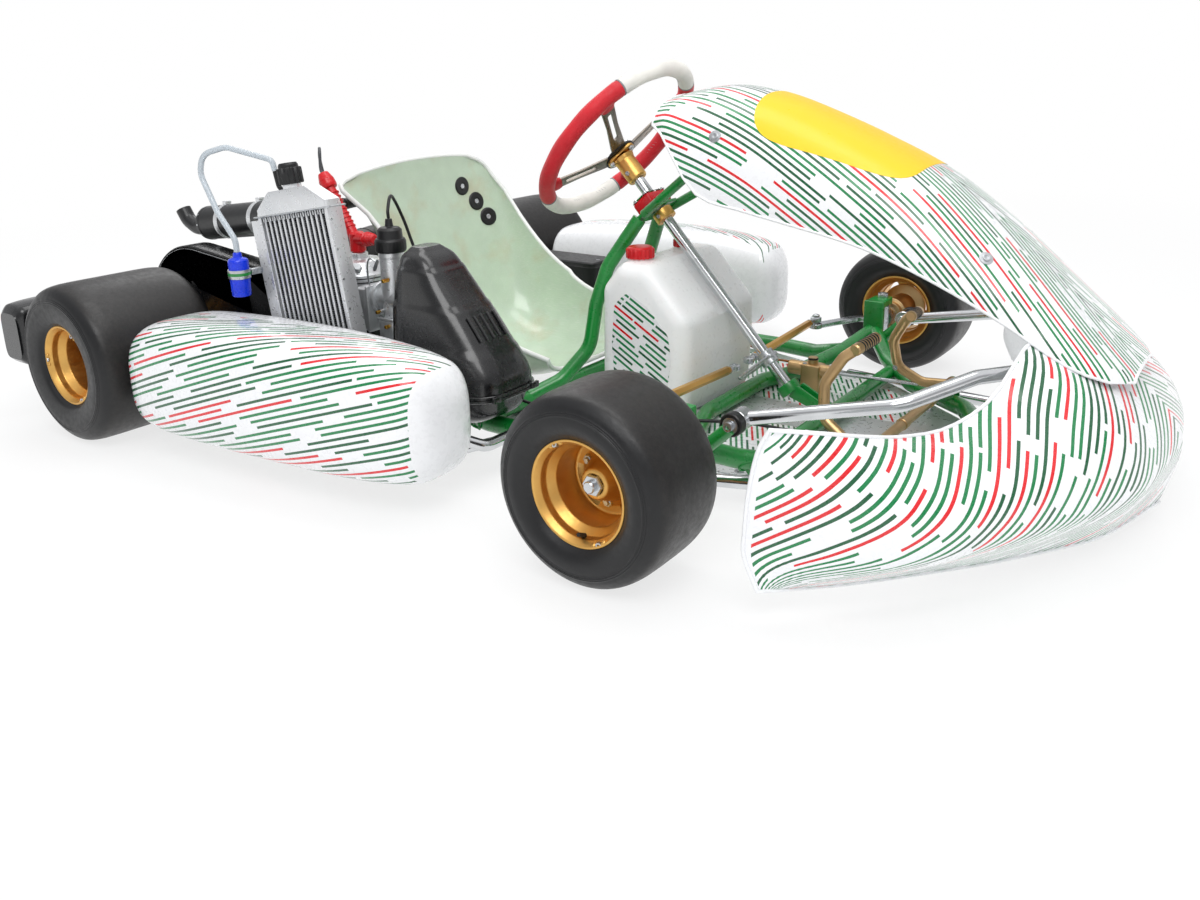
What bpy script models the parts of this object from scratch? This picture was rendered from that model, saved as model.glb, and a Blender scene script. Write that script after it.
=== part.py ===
"""Racing go-kart with a water-cooled side-mounted engine, modelled piece by piece.

Metres, +X forwards, +Y to the driver's left, +Z up. The kart stands on its four tyres on z = 0.
"""

import math

import bmesh
import bpy
from mathutils import Matrix, Vector

# Overall layout
WHEELBASE = 1.050
HALF_LENGTH = 0.9475
FRONT_AXLE_X = 0.375
REAR_AXLE_X = FRONT_AXLE_X - WHEELBASE
GAP = 0.0003
LEFT, RIGHT = 1, -1
SIDES = (("left", LEFT), ("right", RIGHT))

# Wheels, all on five-inch rims
WHEEL_SIDES = 16
SHAFT_SIDES = 10
AXLE_SIDES = 16
FRONT_TYRE_R = 0.128
REAR_TYRE_R = 0.140
LIP_R = 0.0704
BEAD_R = 0.0645
WELL_R = 0.056
RIM_WALL = 0.0032
FRONT_RIM_IN = 0.475
FRONT_RIM_WIDTH = 0.130
REAR_RIM_IN = 0.464
REAR_RIM_WIDTH = 0.212
TYRE_BULGE = 0.011

# Chassis tubes
TUBE_R = 0.015
CROSS_R = 0.014
FRAME_Z = 0.062
RAIL_Y = 0.300
RAIL_WIDE_Y = 0.335
REAR_CROSS_AHEAD = 0.115
BEND_R = 0.060
BUMPER_DEPTH = 0.078
POD_TYRE_GAP = 0.015
POD_INNER_Y = 0.4645
BUMPER_BAR_R = 0.010
LUG = (0.448, 0.153)
LUG_Y = 0.338
LUG_LENGTH = 0.016
TRAY_THICK = 0.003

# Steering
KINGPIN_Y = 0.400
KINGPIN_R = 0.0048
BARREL_R = 0.014
BARREL_HEIGHT = 0.056
YOKE_GAP = 0.062
YOKE_JAW = 0.012
YOKE_DEPTH = 0.036
STUB_R = 0.0125
STUB_END_Y = 0.592
COLUMN_RAKE = math.radians(48.0)
COLUMN_R = 0.010
COLUMN_FOOT = Vector((0.368, 0.0, 0.0935))
COLUMN_LENGTH = 0.500
HEAD_AT = 0.385
WHEEL_RIM_R = 0.159
WHEEL_GRIP_R = 0.014
WHEEL_LEAN = math.radians(40.0)
WHEEL_DISH = 0.020
WHEEL_RISE = 0.016
SPOKE_THICK = 0.0045
FLANGE_THICK = 0.005
ARM_END = Vector((0.280, 0.300, 0.122))
ROD_R = 0.0075
PITMAN_REACH = 0.046
PITMAN_AT = 0.062

# Rear axle and drive
AXLE_R = 0.025
AXLE_LENGTH = 1.060
DISC_Y = 0.215
DISC_R = 0.095
DISC_THICK = 0.012
CHAIN_PITCH = 0.0127
CHAIN_Y = -0.385
AXLE_TEETH = 25
ENGINE_TEETH = 17
OUTPUT_SHAFT = Vector((-0.360, CHAIN_Y, 0.130))
OUTPUT_SHAFT_R = 0.011

# Engine
ENGINE_PLATE_TOP = 0.095
ENGINE_PLATE_Y = -0.300
ENGINE_PLATE_WIDTH = 0.120
CRANKCASE_HEIGHT = 0.100
CYLINDER_HEIGHT = 0.1135
CARB_X = -0.205
CARB_Y = -0.340
CARB_REACH = 0.034
CARB_BORE_Z = 0.248
AIRBOX_Y = -0.352
PUMP_SPIGOT_X = -0.238
RADIATOR_HEIGHT = 0.280
NECK_X = -0.016
NECK_RISE = 0.045
SILENCER_INLET = Vector((-0.488, -0.220, 0.371))

# Controls
PEDAL_X = 0.585
PEDAL_Y = 0.165
PEDAL_Z = 0.092
PEDAL_PIN_R = 0.005

# Where the chassis holds the seat and the number panel
SEAT_POST_X = -0.195
SEAT_POST_Z = 0.150
SEAT_POST_R = 0.009
SEAT_ACROSS = 8
PANEL_BOLT_X = 0.287
PANEL_BOLT_SHARE = 0.70
PANEL_ACROSS = 8

# Tank filler neck
FILLER = (0.122, -0.078)
FILLER_TOP = 0.306

# Bodywork walls
SHELL_WALL = 0.003
SEAT_WALL = 0.005

# Seat shell along its middle line: x, z, half-width, depth of the sides and their tilt in degrees
SEAT_STATIONS = (
    (-0.030, 0.086, 0.150, 0.030, 0.0),
    (-0.080, 0.066, 0.164, 0.066, 3.0),
    (-0.150, 0.051, 0.176, 0.104, 7.0),
    (-0.230, 0.043, 0.187, 0.132, 14.0),
    (-0.305, 0.052, 0.193, 0.154, 28.0),
    (-0.368, 0.096, 0.196, 0.158, 50.0),
    (-0.410, 0.175, 0.196, 0.130, 68.0),
    (-0.435, 0.265, 0.195, 0.085, 79.0),
    (-0.452, 0.355, 0.187, 0.042, 86.0),
    (-0.456, 0.412, 0.160, 0.014, 92.0),
    (-0.455, 0.443, 0.110, 0.003, 96.0),
)

# Number panel: ridge height, edge height and half-width along its length
PANEL_RIDGE = (
    (0.170, 0.572), (0.220, 0.584), (0.268, 0.588), (0.340, 0.576), (0.404, 0.555), (0.500, 0.516),
    (0.602, 0.466), (0.690, 0.402), (0.757, 0.343), (0.829, 0.276), (0.862, 0.246), (0.890, 0.222),
)
PANEL_EDGE = (
    (0.170, 0.530), (0.200, 0.512), (0.240, 0.455), (0.274, 0.424), (0.340, 0.410), (0.404, 0.398),
    (0.534, 0.372), (0.630, 0.338), (0.731, 0.291), (0.811, 0.245), (0.862, 0.222), (0.890, 0.212),
)
PANEL_HALF = (
    (0.170, 0.112), (0.200, 0.128), (0.240, 0.138), (0.400, 0.142), (0.620, 0.146), (0.811, 0.142),
    (0.850, 0.128), (0.878, 0.100), (0.890, 0.070),
)
PANEL_ROWS = (0.170, 0.200, 0.240, 0.280, 0.404, 0.534, 0.660, 0.757, 0.820, 0.860, 0.890)


def column_axis():
    """Unit vector up the steering column."""
    return Vector((-math.cos(COLUMN_RAKE), 0.0, math.sin(COLUMN_RAKE)))


def column_front():
    """Unit vector square to the column, forwards and up."""
    return Vector((math.sin(COLUMN_RAKE), 0.0, math.cos(COLUMN_RAKE)))


def on_column(distance):
    """Point on the column's axis, this far above its foot."""
    return COLUMN_FOOT + column_axis() * distance


def bore_for(radius, sides):
    """Radius of a faceted bore that a faceted shaft of this radius turns in freely."""
    return radius / math.cos(math.pi / sides) + GAP


def mirrored(point, side):
    return (point[0], point[1] * side, point[2])


def across(points):
    """Route that runs on from the left side to the right side as its mirror image."""
    return list(points) + [mirrored(p, RIGHT) for p in reversed(points)]


def clear_scene():
    for old in list(bpy.data.objects):
        bpy.data.objects.remove(old, do_unlink=True)


def collection(name):
    made = bpy.data.collections.get(name)
    if made is None:
        made = bpy.data.collections.new(name)
        bpy.context.scene.collection.children.link(made)
    return made


def finish(name, colour, roughness, metallic=0.0):
    """Principled material, made once for each name. The colour is linear red, green, blue."""
    made = bpy.data.materials.get(name)
    if made is None:
        made = bpy.data.materials.new(name)
        made.use_nodes = True
        shader = made.node_tree.nodes["Principled BSDF"]
        shader.inputs["Base Color"].default_value = (*colour, 1.0)
        shader.inputs["Roughness"].default_value = roughness
        shader.inputs["Metallic"].default_value = metallic
        made.diffuse_color = (*colour, 1.0)
    return made


def green_paint():
    return finish("green_paint", (0.004, 0.20, 0.035), 0.25)


def white_plastic():
    return finish("white_plastic", (0.85, 0.86, 0.88), 0.25)


def black_plastic():
    return finish("black_plastic", (0.012, 0.012, 0.014), 0.45)


def black_rubber():
    return finish("black_rubber", (0.014, 0.014, 0.015), 0.65)


def gold_anodised():
    return finish("gold_anodised", (0.62, 0.32, 0.05), 0.35, 1.0)


def bronze_anodised():
    return finish("bronze_anodised", (0.42, 0.24, 0.07), 0.35, 1.0)


def chrome():
    return finish("chrome", (0.72, 0.72, 0.74), 0.12, 1.0)


def steel():
    return finish("steel", (0.45, 0.45, 0.47), 0.35, 1.0)


def aluminium():
    return finish("aluminium", (0.75, 0.76, 0.78), 0.38, 1.0)


def red_plastic():
    return finish("red_plastic", (0.75, 0.01, 0.012), 0.35)


def blue_plastic():
    return finish("blue_plastic", (0.004, 0.04, 0.75), 0.3)


def place(obj, name, material):
    """Names the object, gives it its material and puts it with the kart's pieces."""
    obj.name = name
    obj.data.name = name
    obj.data.materials.clear()
    obj.data.materials.append(material)
    for home in list(obj.users_collection):
        home.objects.unlink(obj)
    collection("racing_kart").objects.link(obj)
    return obj


def from_mesh(mesh, matrix=None):
    """Loose object for this mesh, not yet one of the kart's pieces."""
    obj = bpy.data.objects.new(mesh.name, mesh)
    collection("workshop").objects.link(obj)
    if matrix is not None:
        obj.matrix_world = matrix
    return obj


def from_bmesh(bm, name, matrix=None):
    bmesh.ops.recalc_face_normals(bm, faces=bm.faces)
    mesh = bpy.data.meshes.new(name)
    bm.to_mesh(mesh)
    bm.free()
    return from_mesh(mesh, matrix)


def bake(obj):
    """Applies the modifiers, welding loose caps, and leaves a plain mesh object in the same place."""
    bpy.context.view_layer.update()
    graph = bpy.context.evaluated_depsgraph_get()
    mesh = bpy.data.meshes.new_from_object(obj.evaluated_get(graph))
    mesh.name = obj.name
    bm = bmesh.new()
    bm.from_mesh(mesh)
    bmesh.ops.remove_doubles(bm, verts=bm.verts, dist=1e-6)
    bmesh.ops.recalc_face_normals(bm, faces=bm.faces)
    bm.to_mesh(mesh)
    bm.free()
    baked = from_mesh(mesh, obj.matrix_world.copy())
    bpy.data.objects.remove(obj, do_unlink=True)
    return baked


def boolean(target, tools, operation):
    """Unites the tools with the target, or cuts them from it. The tools are used up."""
    bpy.context.view_layer.update()
    for tool in tools:
        step = target.modifiers.new(operation.lower(), "BOOLEAN")
        step.operation = operation
        step.solver = "EXACT"
        step.object = tool
    joined = bake(target)
    for tool in tools:
        bpy.data.objects.remove(tool, do_unlink=True)
    return joined


def unite(target, tools):
    return boolean(target, tools, "UNION")


def cut(target, tools):
    return boolean(target, tools, "DIFFERENCE")


def smooth(obj, degrees=40.0):
    obj.data.shade_smooth()
    obj.data.set_sharp_from_angle(angle=math.radians(degrees))
    return obj


def axis_matrix(centre, direction, up=(0.0, 0.0, 1.0)):
    """Matrix whose local Z runs along the direction, with local Y as near up as it can be."""
    z = Vector(direction).normalized()
    reach = Vector(up)
    if abs(z.dot(reach)) > 0.99:
        reach = Vector((1.0, 0.0, 0.0))
    x = reach.cross(z).normalized()
    y = z.cross(x)
    turned = Matrix((x, y, z)).transposed().to_4x4()
    return Matrix.Translation(Vector(centre)) @ turned


def box(size, centre, turn=None, bevel=0.0):
    """Box of this size, turned by the matrix about its centre, with broken edges if asked."""
    bm = bmesh.new()
    bmesh.ops.create_cube(bm, size=1.0, matrix=Matrix.Diagonal((*size, 1.0)))
    if bevel:
        bmesh.ops.bevel(bm, geom=bm.edges, offset=bevel, segments=1, profile=0.5, affect="EDGES")
    matrix = Matrix.Translation(Vector(centre))
    if turn is not None:
        matrix = matrix @ turn
    return from_bmesh(bm, "box", matrix)


def rod(start, end, radius, sides=12, end_radius=None):
    """Straight round bar or cone between two points."""
    a, b = Vector(start), Vector(end)
    bm = bmesh.new()
    bmesh.ops.create_cone(
        bm,
        cap_ends=True,
        segments=sides,
        radius1=radius,
        radius2=radius if end_radius is None else end_radius,
        depth=(b - a).length,
    )
    spin = Matrix.Rotation(math.pi / sides - math.pi / 2, 4, "Z")
    return from_bmesh(bm, "rod", axis_matrix((a + b) / 2, b - a) @ spin)


def rounded_route(points, bend, step_angle=42.0):
    """The corners of a route turned into smooth bends of about this radius."""
    route = [Vector(p) for p in points]
    made = [route[0]]
    for before, corner, after in zip(route, route[1:], route[2:]):
        back, ahead = before - corner, after - corner
        turn = math.pi - back.angle(ahead)
        reach = min(bend * math.tan(turn / 2), 0.46 * back.length, 0.46 * ahead.length)
        a = corner + back.normalized() * reach
        b = corner + ahead.normalized() * reach
        if turn < math.radians(12.0):
            made.append(corner)
            continue
        steps = max(1, round(math.degrees(turn) / step_angle))
        for step in range(steps + 1):
            t = step / steps
            made.append(a.lerp(corner, t).lerp(corner.lerp(b, t), t))
    made.append(route[-1])
    return made


def tube(points, radius, bend=BEND_R, resolution=1, radii=None):
    """Round tube along a route, as a curve with a bevel, made a mesh with welded caps."""
    route = rounded_route(points, bend) if bend else [Vector(p) for p in points]
    curve = bpy.data.curves.new("tube", "CURVE")
    curve.dimensions = "3D"
    curve.bevel_depth = radius
    curve.bevel_resolution = resolution
    curve.use_fill_caps = True
    spline = curve.splines.new("POLY")
    spline.points.add(len(route) - 1)
    for index, (knot, point) in enumerate(zip(spline.points, route)):
        knot.co = (*point, 1.0)
        if radii:
            knot.radius = radii[index]
    obj = bpy.data.objects.new("tube", curve)
    collection("workshop").objects.link(obj)
    return bake(obj)


def plate(outline, thickness, matrix):
    """Flat plate: a closed outline in local XY, centred on local Z."""
    curve = bpy.data.curves.new("plate", "CURVE")
    curve.dimensions = "2D"
    curve.fill_mode = "BOTH"
    curve.extrude = thickness / 2
    spline = curve.splines.new("POLY")
    spline.points.add(len(outline) - 1)
    for knot, (x, y) in zip(spline.points, outline):
        knot.co = (x, y, 0.0, 1.0)
    spline.use_cyclic_u = True
    obj = bpy.data.objects.new("plate", curve)
    collection("workshop").objects.link(obj)
    obj.matrix_world = matrix
    return bake(obj)


def arc(centre, radius, start, end, steps):
    """Points of an arc in the plane, in degrees."""
    found = []
    for step in range(steps + 1):
        angle = math.radians(start + (end - start) * step / steps)
        found.append((centre[0] + radius * math.cos(angle), centre[1] + radius * math.sin(angle)))
    return found


def side_plane(y):
    """Matrix for a plate drawn in the XZ plane, at this Y."""
    return Matrix.Translation((0.0, y, 0.0)) @ Matrix.Rotation(math.pi / 2, 4, "X")


def turned(profile, sides, matrix):
    """Turned piece: a closed profile of (radius, height) pairs with a Screw about local Z."""
    area = 0.0
    for (r1, z1), (r2, z2) in zip(profile, profile[1:] + profile[:1]):
        area += r1 * z2 - r2 * z1
    ordered = list(reversed(profile)) if area > 0 else list(profile)
    touching = sum(1 for r, _ in ordered if r == 0.0) == 2
    while touching and not (ordered[0][0] == 0.0 and ordered[-1][0] == 0.0):
        ordered = ordered[1:] + ordered[:1]
    bm = bmesh.new()
    verts = [bm.verts.new((r, 0.0, z)) for r, z in ordered]
    for a, b in zip(verts, verts[1:]):
        bm.edges.new((a, b))
    if not touching:
        bm.edges.new((verts[-1], verts[0]))
    mesh = bpy.data.meshes.new("turned")
    bm.to_mesh(mesh)
    bm.free()
    spin = Matrix.Rotation(math.pi / sides, 4, "Z")
    obj = from_mesh(mesh, matrix @ spin)
    screw = obj.modifiers.new("screw", "SCREW")
    screw.steps = sides
    screw.render_steps = sides
    screw.use_merge_vertices = True
    screw.merge_threshold = 1e-6
    return bake(obj)


def wheel_matrix(x, z, side):
    """Local Z out along the axle on this side, with a vertex row half a step off the vertical."""
    return Matrix.Translation((x, 0.0, z)) @ Matrix.Rotation(-side * math.pi / 2, 4, "X")


def loft(rings, capped=True):
    """Skin over rings of equal length, closed round each ring, with flat ends."""
    bm = bmesh.new()
    rows = [[bm.verts.new(p) for p in ring] for ring in rings]
    count = len(rows[0])
    for near, far in zip(rows, rows[1:]):
        for i in range(count):
            j = (i + 1) % count
            bm.faces.new((near[i], near[j], far[j], far[i]))
    if capped:
        bm.faces.new(rows[0])
        bm.faces.new(rows[-1])
    return from_bmesh(bm, "loft")


def sheet(rows):
    """Open surface through rows of points."""
    bm = bmesh.new()
    grid = [[bm.verts.new(p) for p in row] for row in rows]
    for near, far in zip(grid, grid[1:]):
        for i in range(len(near) - 1):
            bm.faces.new((near[i], near[i + 1], far[i + 1], far[i]))
    bmesh.ops.remove_doubles(bm, verts=bm.verts, dist=1e-6)
    mesh = bpy.data.meshes.new("sheet")
    bm.to_mesh(mesh)
    bm.free()
    return from_mesh(mesh)


def thicken(obj, wall, offset):
    """Gives an open surface its wall. The offset is -1 or 1 for the side that it grows to."""
    wall_step = obj.modifiers.new("wall", "SOLIDIFY")
    wall_step.thickness = wall
    wall_step.offset = offset
    return bake(obj)


def superellipse(half_width, half_height, power, count, start=0.0):
    """Points of a rounded rectangle by the superellipse formula, with its flats at the half sizes."""
    made = []
    full = math.cos(start) ** (2 / power)
    half_width /= full
    half_height /= full
    for i in range(count):
        angle = start + 2 * math.pi * i / count
        c, s = math.cos(angle), math.sin(angle)
        made.append(
            (
                half_width * math.copysign(abs(c) ** (2 / power), c),
                half_height * math.copysign(abs(s) ** (2 / power), s),
            )
        )
    return made


def between(table, x):
    """Smooth value at x from a short table of (x, value), by straight runs between its rows."""
    if x <= table[0][0]:
        return table[0][1]
    for (x1, v1), (x2, v2) in zip(table, table[1:]):
        if x <= x2:
            return v1 + (v2 - v1) * (x - x1) / (x2 - x1)
    return table[-1][1]


# Chassis


def yoke(side):
    """C-shaped yoke that holds the kingpin: back plate and two jaws with their bore."""
    mid_z = FRONT_TYRE_R
    height = YOKE_GAP + 2 * YOKE_JAW
    back_y = KINGPIN_Y - 0.044
    body = box((YOKE_DEPTH + 0.002, 0.012, height + 0.002), (FRONT_AXLE_X, back_y * side, mid_z))
    reach = KINGPIN_Y + 0.016 - back_y
    jaws = []
    for end in (-1, 1):
        jaw_z = mid_z + end * (YOKE_GAP + YOKE_JAW) / 2
        middle_y = (back_y + reach / 2) * side
        jaws.append(box((YOKE_DEPTH, reach, YOKE_JAW), (FRONT_AXLE_X, middle_y, jaw_z)))
    body = unite(body, jaws)
    bore = bore_for(KINGPIN_R, SHAFT_SIDES)
    low, high = mid_z - height, mid_z + height
    pin = (FRONT_AXLE_X, KINGPIN_Y * side)
    return cut(body, [rod((*pin, low), (*pin, high), bore, SHAFT_SIDES)])


def crossing_tubes():
    """The chassis tubes that run from side to side."""
    z = FRAME_Z
    nose_loop = [
        (0.380, KINGPIN_Y - 0.046, 0.110),
        (0.430, 0.292, 0.080),
        (0.500, 0.225, z),
        (0.620, 0.140, z),
        (0.655, 0.080, z),
    ]
    yoke_loop = [
        (0.372, KINGPIN_Y - 0.046, 0.112),
        (0.345, 0.281, 0.086),
        (0.300, 0.190, z),
        (0.268, 0.100, z),
    ]
    made = [tube(across(nose_loop), TUBE_R, BEND_R, 2), tube(across(yoke_loop), CROSS_R, BEND_R, 1)]
    made.append(tube([(0.448, 0.285, 0.066), (0.448, -0.285, 0.066)], CROSS_R - 0.001, 0.0))
    made.append(tube([(-0.030, RAIL_WIDE_Y, z), (-0.030, -RAIL_WIDE_Y, z)], CROSS_R, 0.0))
    rear_x = REAR_AXLE_X + REAR_CROSS_AHEAD
    made.append(tube([(rear_x, RAIL_Y, z), (rear_x, -RAIL_Y, z)], CROSS_R, 0.0))
    return made


def frame_routes(side):
    """The tubes on one side of the chassis, as (corner points, radius)."""
    z = FRAME_Z
    yoke_y = KINGPIN_Y - 0.046
    rail = [
        (-HALF_LENGTH + BUMPER_DEPTH + GAP, RAIL_Y, 0.140),
        (-0.835, RAIL_Y, 0.140),
        (-0.795, RAIL_Y, z),
        (-0.130, RAIL_Y, z),
        (-0.010, RAIL_WIDE_Y, z),
        (0.190, RAIL_WIDE_Y, z),
        (0.280, 0.308, 0.067),
        (0.345, 0.283, 0.086),
    ]
    leg = [
        (0.092, 0.034, 0.364),
        (0.045, 0.066, 0.280),
        (0.034, 0.088, 0.215),
        (0.030, 0.104, 0.140),
        (0.002, 0.150, 0.088),
        (-0.030, 0.205, 0.066),
    ]
    bolt, bolt_normal = panel_bolt()
    panel_arm = [
        (0.106, 0.041, 0.374),
        (0.150, 0.062, 0.402),
        tuple(bolt - bolt_normal * 0.030),
        tuple(bolt),
    ]
    seat_post = [
        (SEAT_POST_X, RAIL_Y + 0.010, 0.066),
        (SEAT_POST_X, 0.270, 0.110),
        (SEAT_POST_X, 0.225, SEAT_POST_Z),
        (SEAT_POST_X, seat_side_y() + GAP, SEAT_POST_Z),
    ]
    bumper_lug = [(0.400, 0.352, 0.104), (LUG[0], 0.352, LUG[1] - 0.003)]
    routes = [
        (rail, TUBE_R, BEND_R),
        (leg, 0.0125, BEND_R),
        (panel_arm, 0.008, 0.03),
        (seat_post, SEAT_POST_R, 0.02),
        (bumper_lug, 0.010, 0.0),
    ]
    return [([mirrored(p, side) for p in pts], radius, bend) for pts, radius, bend in routes]


def pedal_ears(side):
    """Two ears and a pin for a pedal, on the front tube."""
    made = []
    for offset in (-0.0155, 0.0155):
        outline = [(0.014, -0.028)] + arc((0.0, 0.0), 0.010, 10, 170, 3) + [(-0.014, -0.028)]
        matrix = Matrix.Translation((PEDAL_X, PEDAL_Y * side + offset, PEDAL_Z))
        made.append(plate(outline, 0.004, matrix @ Matrix.Rotation(math.pi / 2, 4, "X")))
    pin_half = 0.020
    start = (PEDAL_X, PEDAL_Y * side - pin_half, PEDAL_Z)
    end = (PEDAL_X, PEDAL_Y * side + pin_half, PEDAL_Z)
    made.append(rod(start, end, PEDAL_PIN_R, 8))
    return made


def column_bracket():
    """Lower steering bearing on its two gusset plates, from the pedal cross tube."""
    along = column_axis()
    foot = on_column(0.0)
    ring = rod(foot - along * 0.009, foot + along * 0.009, 0.019, SHAFT_SIDES)
    gussets = []
    for y in (-0.010, 0.010):
        outline = [(0.452, FRAME_Z - 0.006), (0.446, 0.074), (foot.x + 0.020, 0.104), (foot.x + 0.004, 0.083)]
        gussets.append(plate(outline, 0.005, side_plane(y)))
    return ring, gussets


def frame():
    """Welded tube chassis with its yokes, steering support, pedal ears and bearing seats."""
    tubes = crossing_tubes()
    for _, side in SIDES:
        for points, radius, bend in frame_routes(side):
            tubes.append(tube(points, radius, bend, resolution=2 if radius == TUBE_R else 1))
        tubes.append(yoke(side))
        tubes += pedal_ears(side)
        lug_in, lug_out = LUG_Y * side, (LUG_Y + LUG_LENGTH) * side
        tubes.append(rod((LUG[0], lug_in, LUG[1]), (LUG[0], lug_out, LUG[1]), 0.017, 10))
    ring, gussets = column_bracket()
    tubes += [ring] + gussets
    head = on_column(HEAD_AT)
    lean = axis_matrix(head, column_axis(), (0.0, 1.0, 0.0))
    tubes.append(plate([(-0.034, -0.044), (0.018, -0.044), (0.018, 0.044), (-0.034, 0.044)], 0.006, lean))
    body = unite(tubes[0], tubes[1:])
    bore = bore_for(COLUMN_R, SHAFT_SIDES)
    passage = rod(on_column(-0.05), on_column(0.06), bore, SHAFT_SIDES)
    upper = rod(on_column(HEAD_AT - 0.03), on_column(HEAD_AT + 0.03), 0.0135, SHAFT_SIDES)
    bush_room = box((0.070, 0.066, 0.040), (0.0, 0.0, 0.0))
    bush_room.matrix_world = lean @ Matrix.Translation((-0.006, 0.0, 0.003 + 0.020))
    body = cut(body, [passage, upper, bush_room])
    return place(smooth(body), "frame", green_paint())


def floor_tray():
    """Flat sheet under the driver's feet, fixed below the tubes."""
    half = [(-0.045, 0.325), (0.185, 0.325), (0.320, 0.285), (0.420, 0.275), (0.520, 0.205), (0.630, 0.120)]
    outline = [(x, -y) for x, y in half] + [(x, y) for x, y in reversed(half)]
    z = FRAME_Z - TUBE_R - GAP - TRAY_THICK / 2
    return place(plate(outline, TRAY_THICK, Matrix.Translation((0.0, 0.0, z))), "floor_tray", aluminium())


def rear_bumper():
    """Moulded bar across the rear, swelling at both ends behind the tyres."""
    back = -HALF_LENGTH
    stations = [
        (0.655, 0.060, 0.110, 0.198),
        (0.640, 0.074, 0.098, 0.212),
        (0.550, BUMPER_DEPTH, 0.094, 0.216),
        (0.465, BUMPER_DEPTH, 0.098, 0.212),
        (0.400, BUMPER_DEPTH, 0.108, 0.190),
    ]
    mirrored_half = [(-y, d, low, high) for y, d, low, high in reversed(stations)]
    rings = []
    for y, depth, low, high in stations + mirrored_half:
        ring = superellipse(depth / 2, (high - low) / 2, 5.0, 12, math.pi / 12)
        inset = 0.008 if abs(y) == 0.655 else 0.0
        rings.append([(back + inset + depth / 2 + dx, y, (low + high) / 2 + dz) for dx, dz in ring])
    return place(smooth(loft(rings)), "rear_bumper", black_plastic())


def bumper_bar(radius):
    """The bumper's upper bar, also used a little thicker to cut its seat in the nose's clamps."""
    start = (LUG[0], LUG_Y - 0.016, LUG[1])
    upper = [start, (0.655, 0.285, 0.200), (0.725, 0.205, 0.228), (0.800, 0.120, 0.232)]
    return tube(across(upper), radius, 0.05)


def front_bumper():
    """Polished upper and lower bars joined by two uprights."""
    lower = [(0.352, 0.300, 0.0358), (0.560, 0.250, 0.045), (0.720, 0.170, 0.070), (0.775, 0.120, 0.078)]
    pieces = [bumper_bar(BUMPER_BAR_R), tube(across(lower), BUMPER_BAR_R, 0.05)]
    for _, side in SIDES:
        pieces.append(rod((0.800, 0.085 * side, 0.232), (0.773, 0.085 * side, 0.078), 0.008, 6))
        eye_in, eye_out = LUG_Y - 0.026, LUG_Y - GAP
        pieces.append(rod((LUG[0], eye_in * side, LUG[1]), (LUG[0], eye_out * side, LUG[1]), 0.016, 10))
    return place(smooth(unite(pieces[0], pieces[1:])), "front_bumper", chrome())


def pod_rear_x():
    """Rear end of the side pods, just ahead of the rear tyres."""
    return REAR_AXLE_X + REAR_TYRE_R + POD_TYRE_GAP


def side_bar(name, side):
    """Two rails that carry a side pod, on two arms from the chassis."""
    y = 0.4535
    rail_out = RAIL_WIDE_Y + TUBE_R + GAP
    rear_out = RAIL_Y + TUBE_R + GAP
    front_x, rear_x = 0.060, pod_rear_x() + 0.080
    upper = [
        (front_x, rail_out, FRAME_Z),
        (front_x, 0.420, FRAME_Z),
        (front_x - 0.030, y, 0.082),
        (rear_x + 0.040, y, 0.082),
        (rear_x, 0.420, FRAME_Z),
        (rear_x, rear_out, FRAME_Z),
    ]
    lower = [
        (front_x - 0.001, 0.385, FRAME_Z - 0.001),
        (front_x - 0.050, y, 0.052),
        (rear_x + 0.060, y, 0.052),
        (rear_x + 0.001, 0.385, FRAME_Z - 0.001),
    ]
    pieces = [tube([mirrored(p, side) for p in upper], 0.0095, 0.03)]
    pieces.append(tube([mirrored(p, side) for p in lower], 0.0080, 0.03))
    clamp_out = POD_INNER_Y - GAP
    for x in (rear_x + 0.055, -0.015):
        size = (0.020, clamp_out - y, 0.042)
        pieces.append(box(size, (x, (clamp_out + y) / 2 * side, 0.105)))
    return place(smooth(unite(pieces[0], pieces[1:])), name, chrome())


# Wheels


def rim_profile(width, web_at, web_thick, centre):
    """Closed section of a rim as (radius, distance out from its inner face)."""
    lip, bead, well, wall = LIP_R, BEAD_R, WELL_R, RIM_WALL
    outer = [
        (lip, 0.0),
        (bead, 0.0060),
        (bead, 0.0200),
        (well, 0.0280),
        (well, width - 0.0280),
        (bead, width - 0.0200),
        (bead, width - 0.0060),
        (lip, width),
    ]
    bowl = [
        (lip - wall, width),
        (bead - wall, width - 0.0085),
        (well - wall, width - 0.0295),
        (well - wall, web_at + web_thick),
    ]
    inside = [
        (well - wall, web_at),
        (well - wall, 0.0295),
        (bead - wall, 0.0080),
    ]
    return outer + bowl + centre + inside


def front_rim(name, side):
    """Spun rim with a cone-shaped centre and three windows in its web."""
    web_at, web = 0.0555, 0.0035
    bore = bore_for(STUB_R, SHAFT_SIDES)
    cone = [(0.036, web_at + web), (0.020, 0.092), (bore, 0.094), (bore, web_at)]
    matrix = wheel_matrix(FRONT_AXLE_X, FRONT_TYRE_R, side)
    matrix = matrix @ Matrix.Translation((0.0, 0.0, FRONT_RIM_IN))
    rim = turned(rim_profile(FRONT_RIM_WIDTH, web_at, web, cone), WHEEL_SIDES, matrix)
    windows = []
    for third in range(3):
        angle = math.radians(90 + 120 * third)
        spot = Vector((0.0445 * math.cos(angle), 0.0445 * math.sin(angle), 0.0))
        start = matrix @ (spot + Vector((0.0, 0.0, web_at - 0.006)))
        end = matrix @ (spot + Vector((0.0, 0.0, web_at + web + 0.006)))
        windows.append(rod(start, end, 0.0062, 6))
    return place(smooth(cut(rim, windows)), name, gold_anodised())


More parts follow.
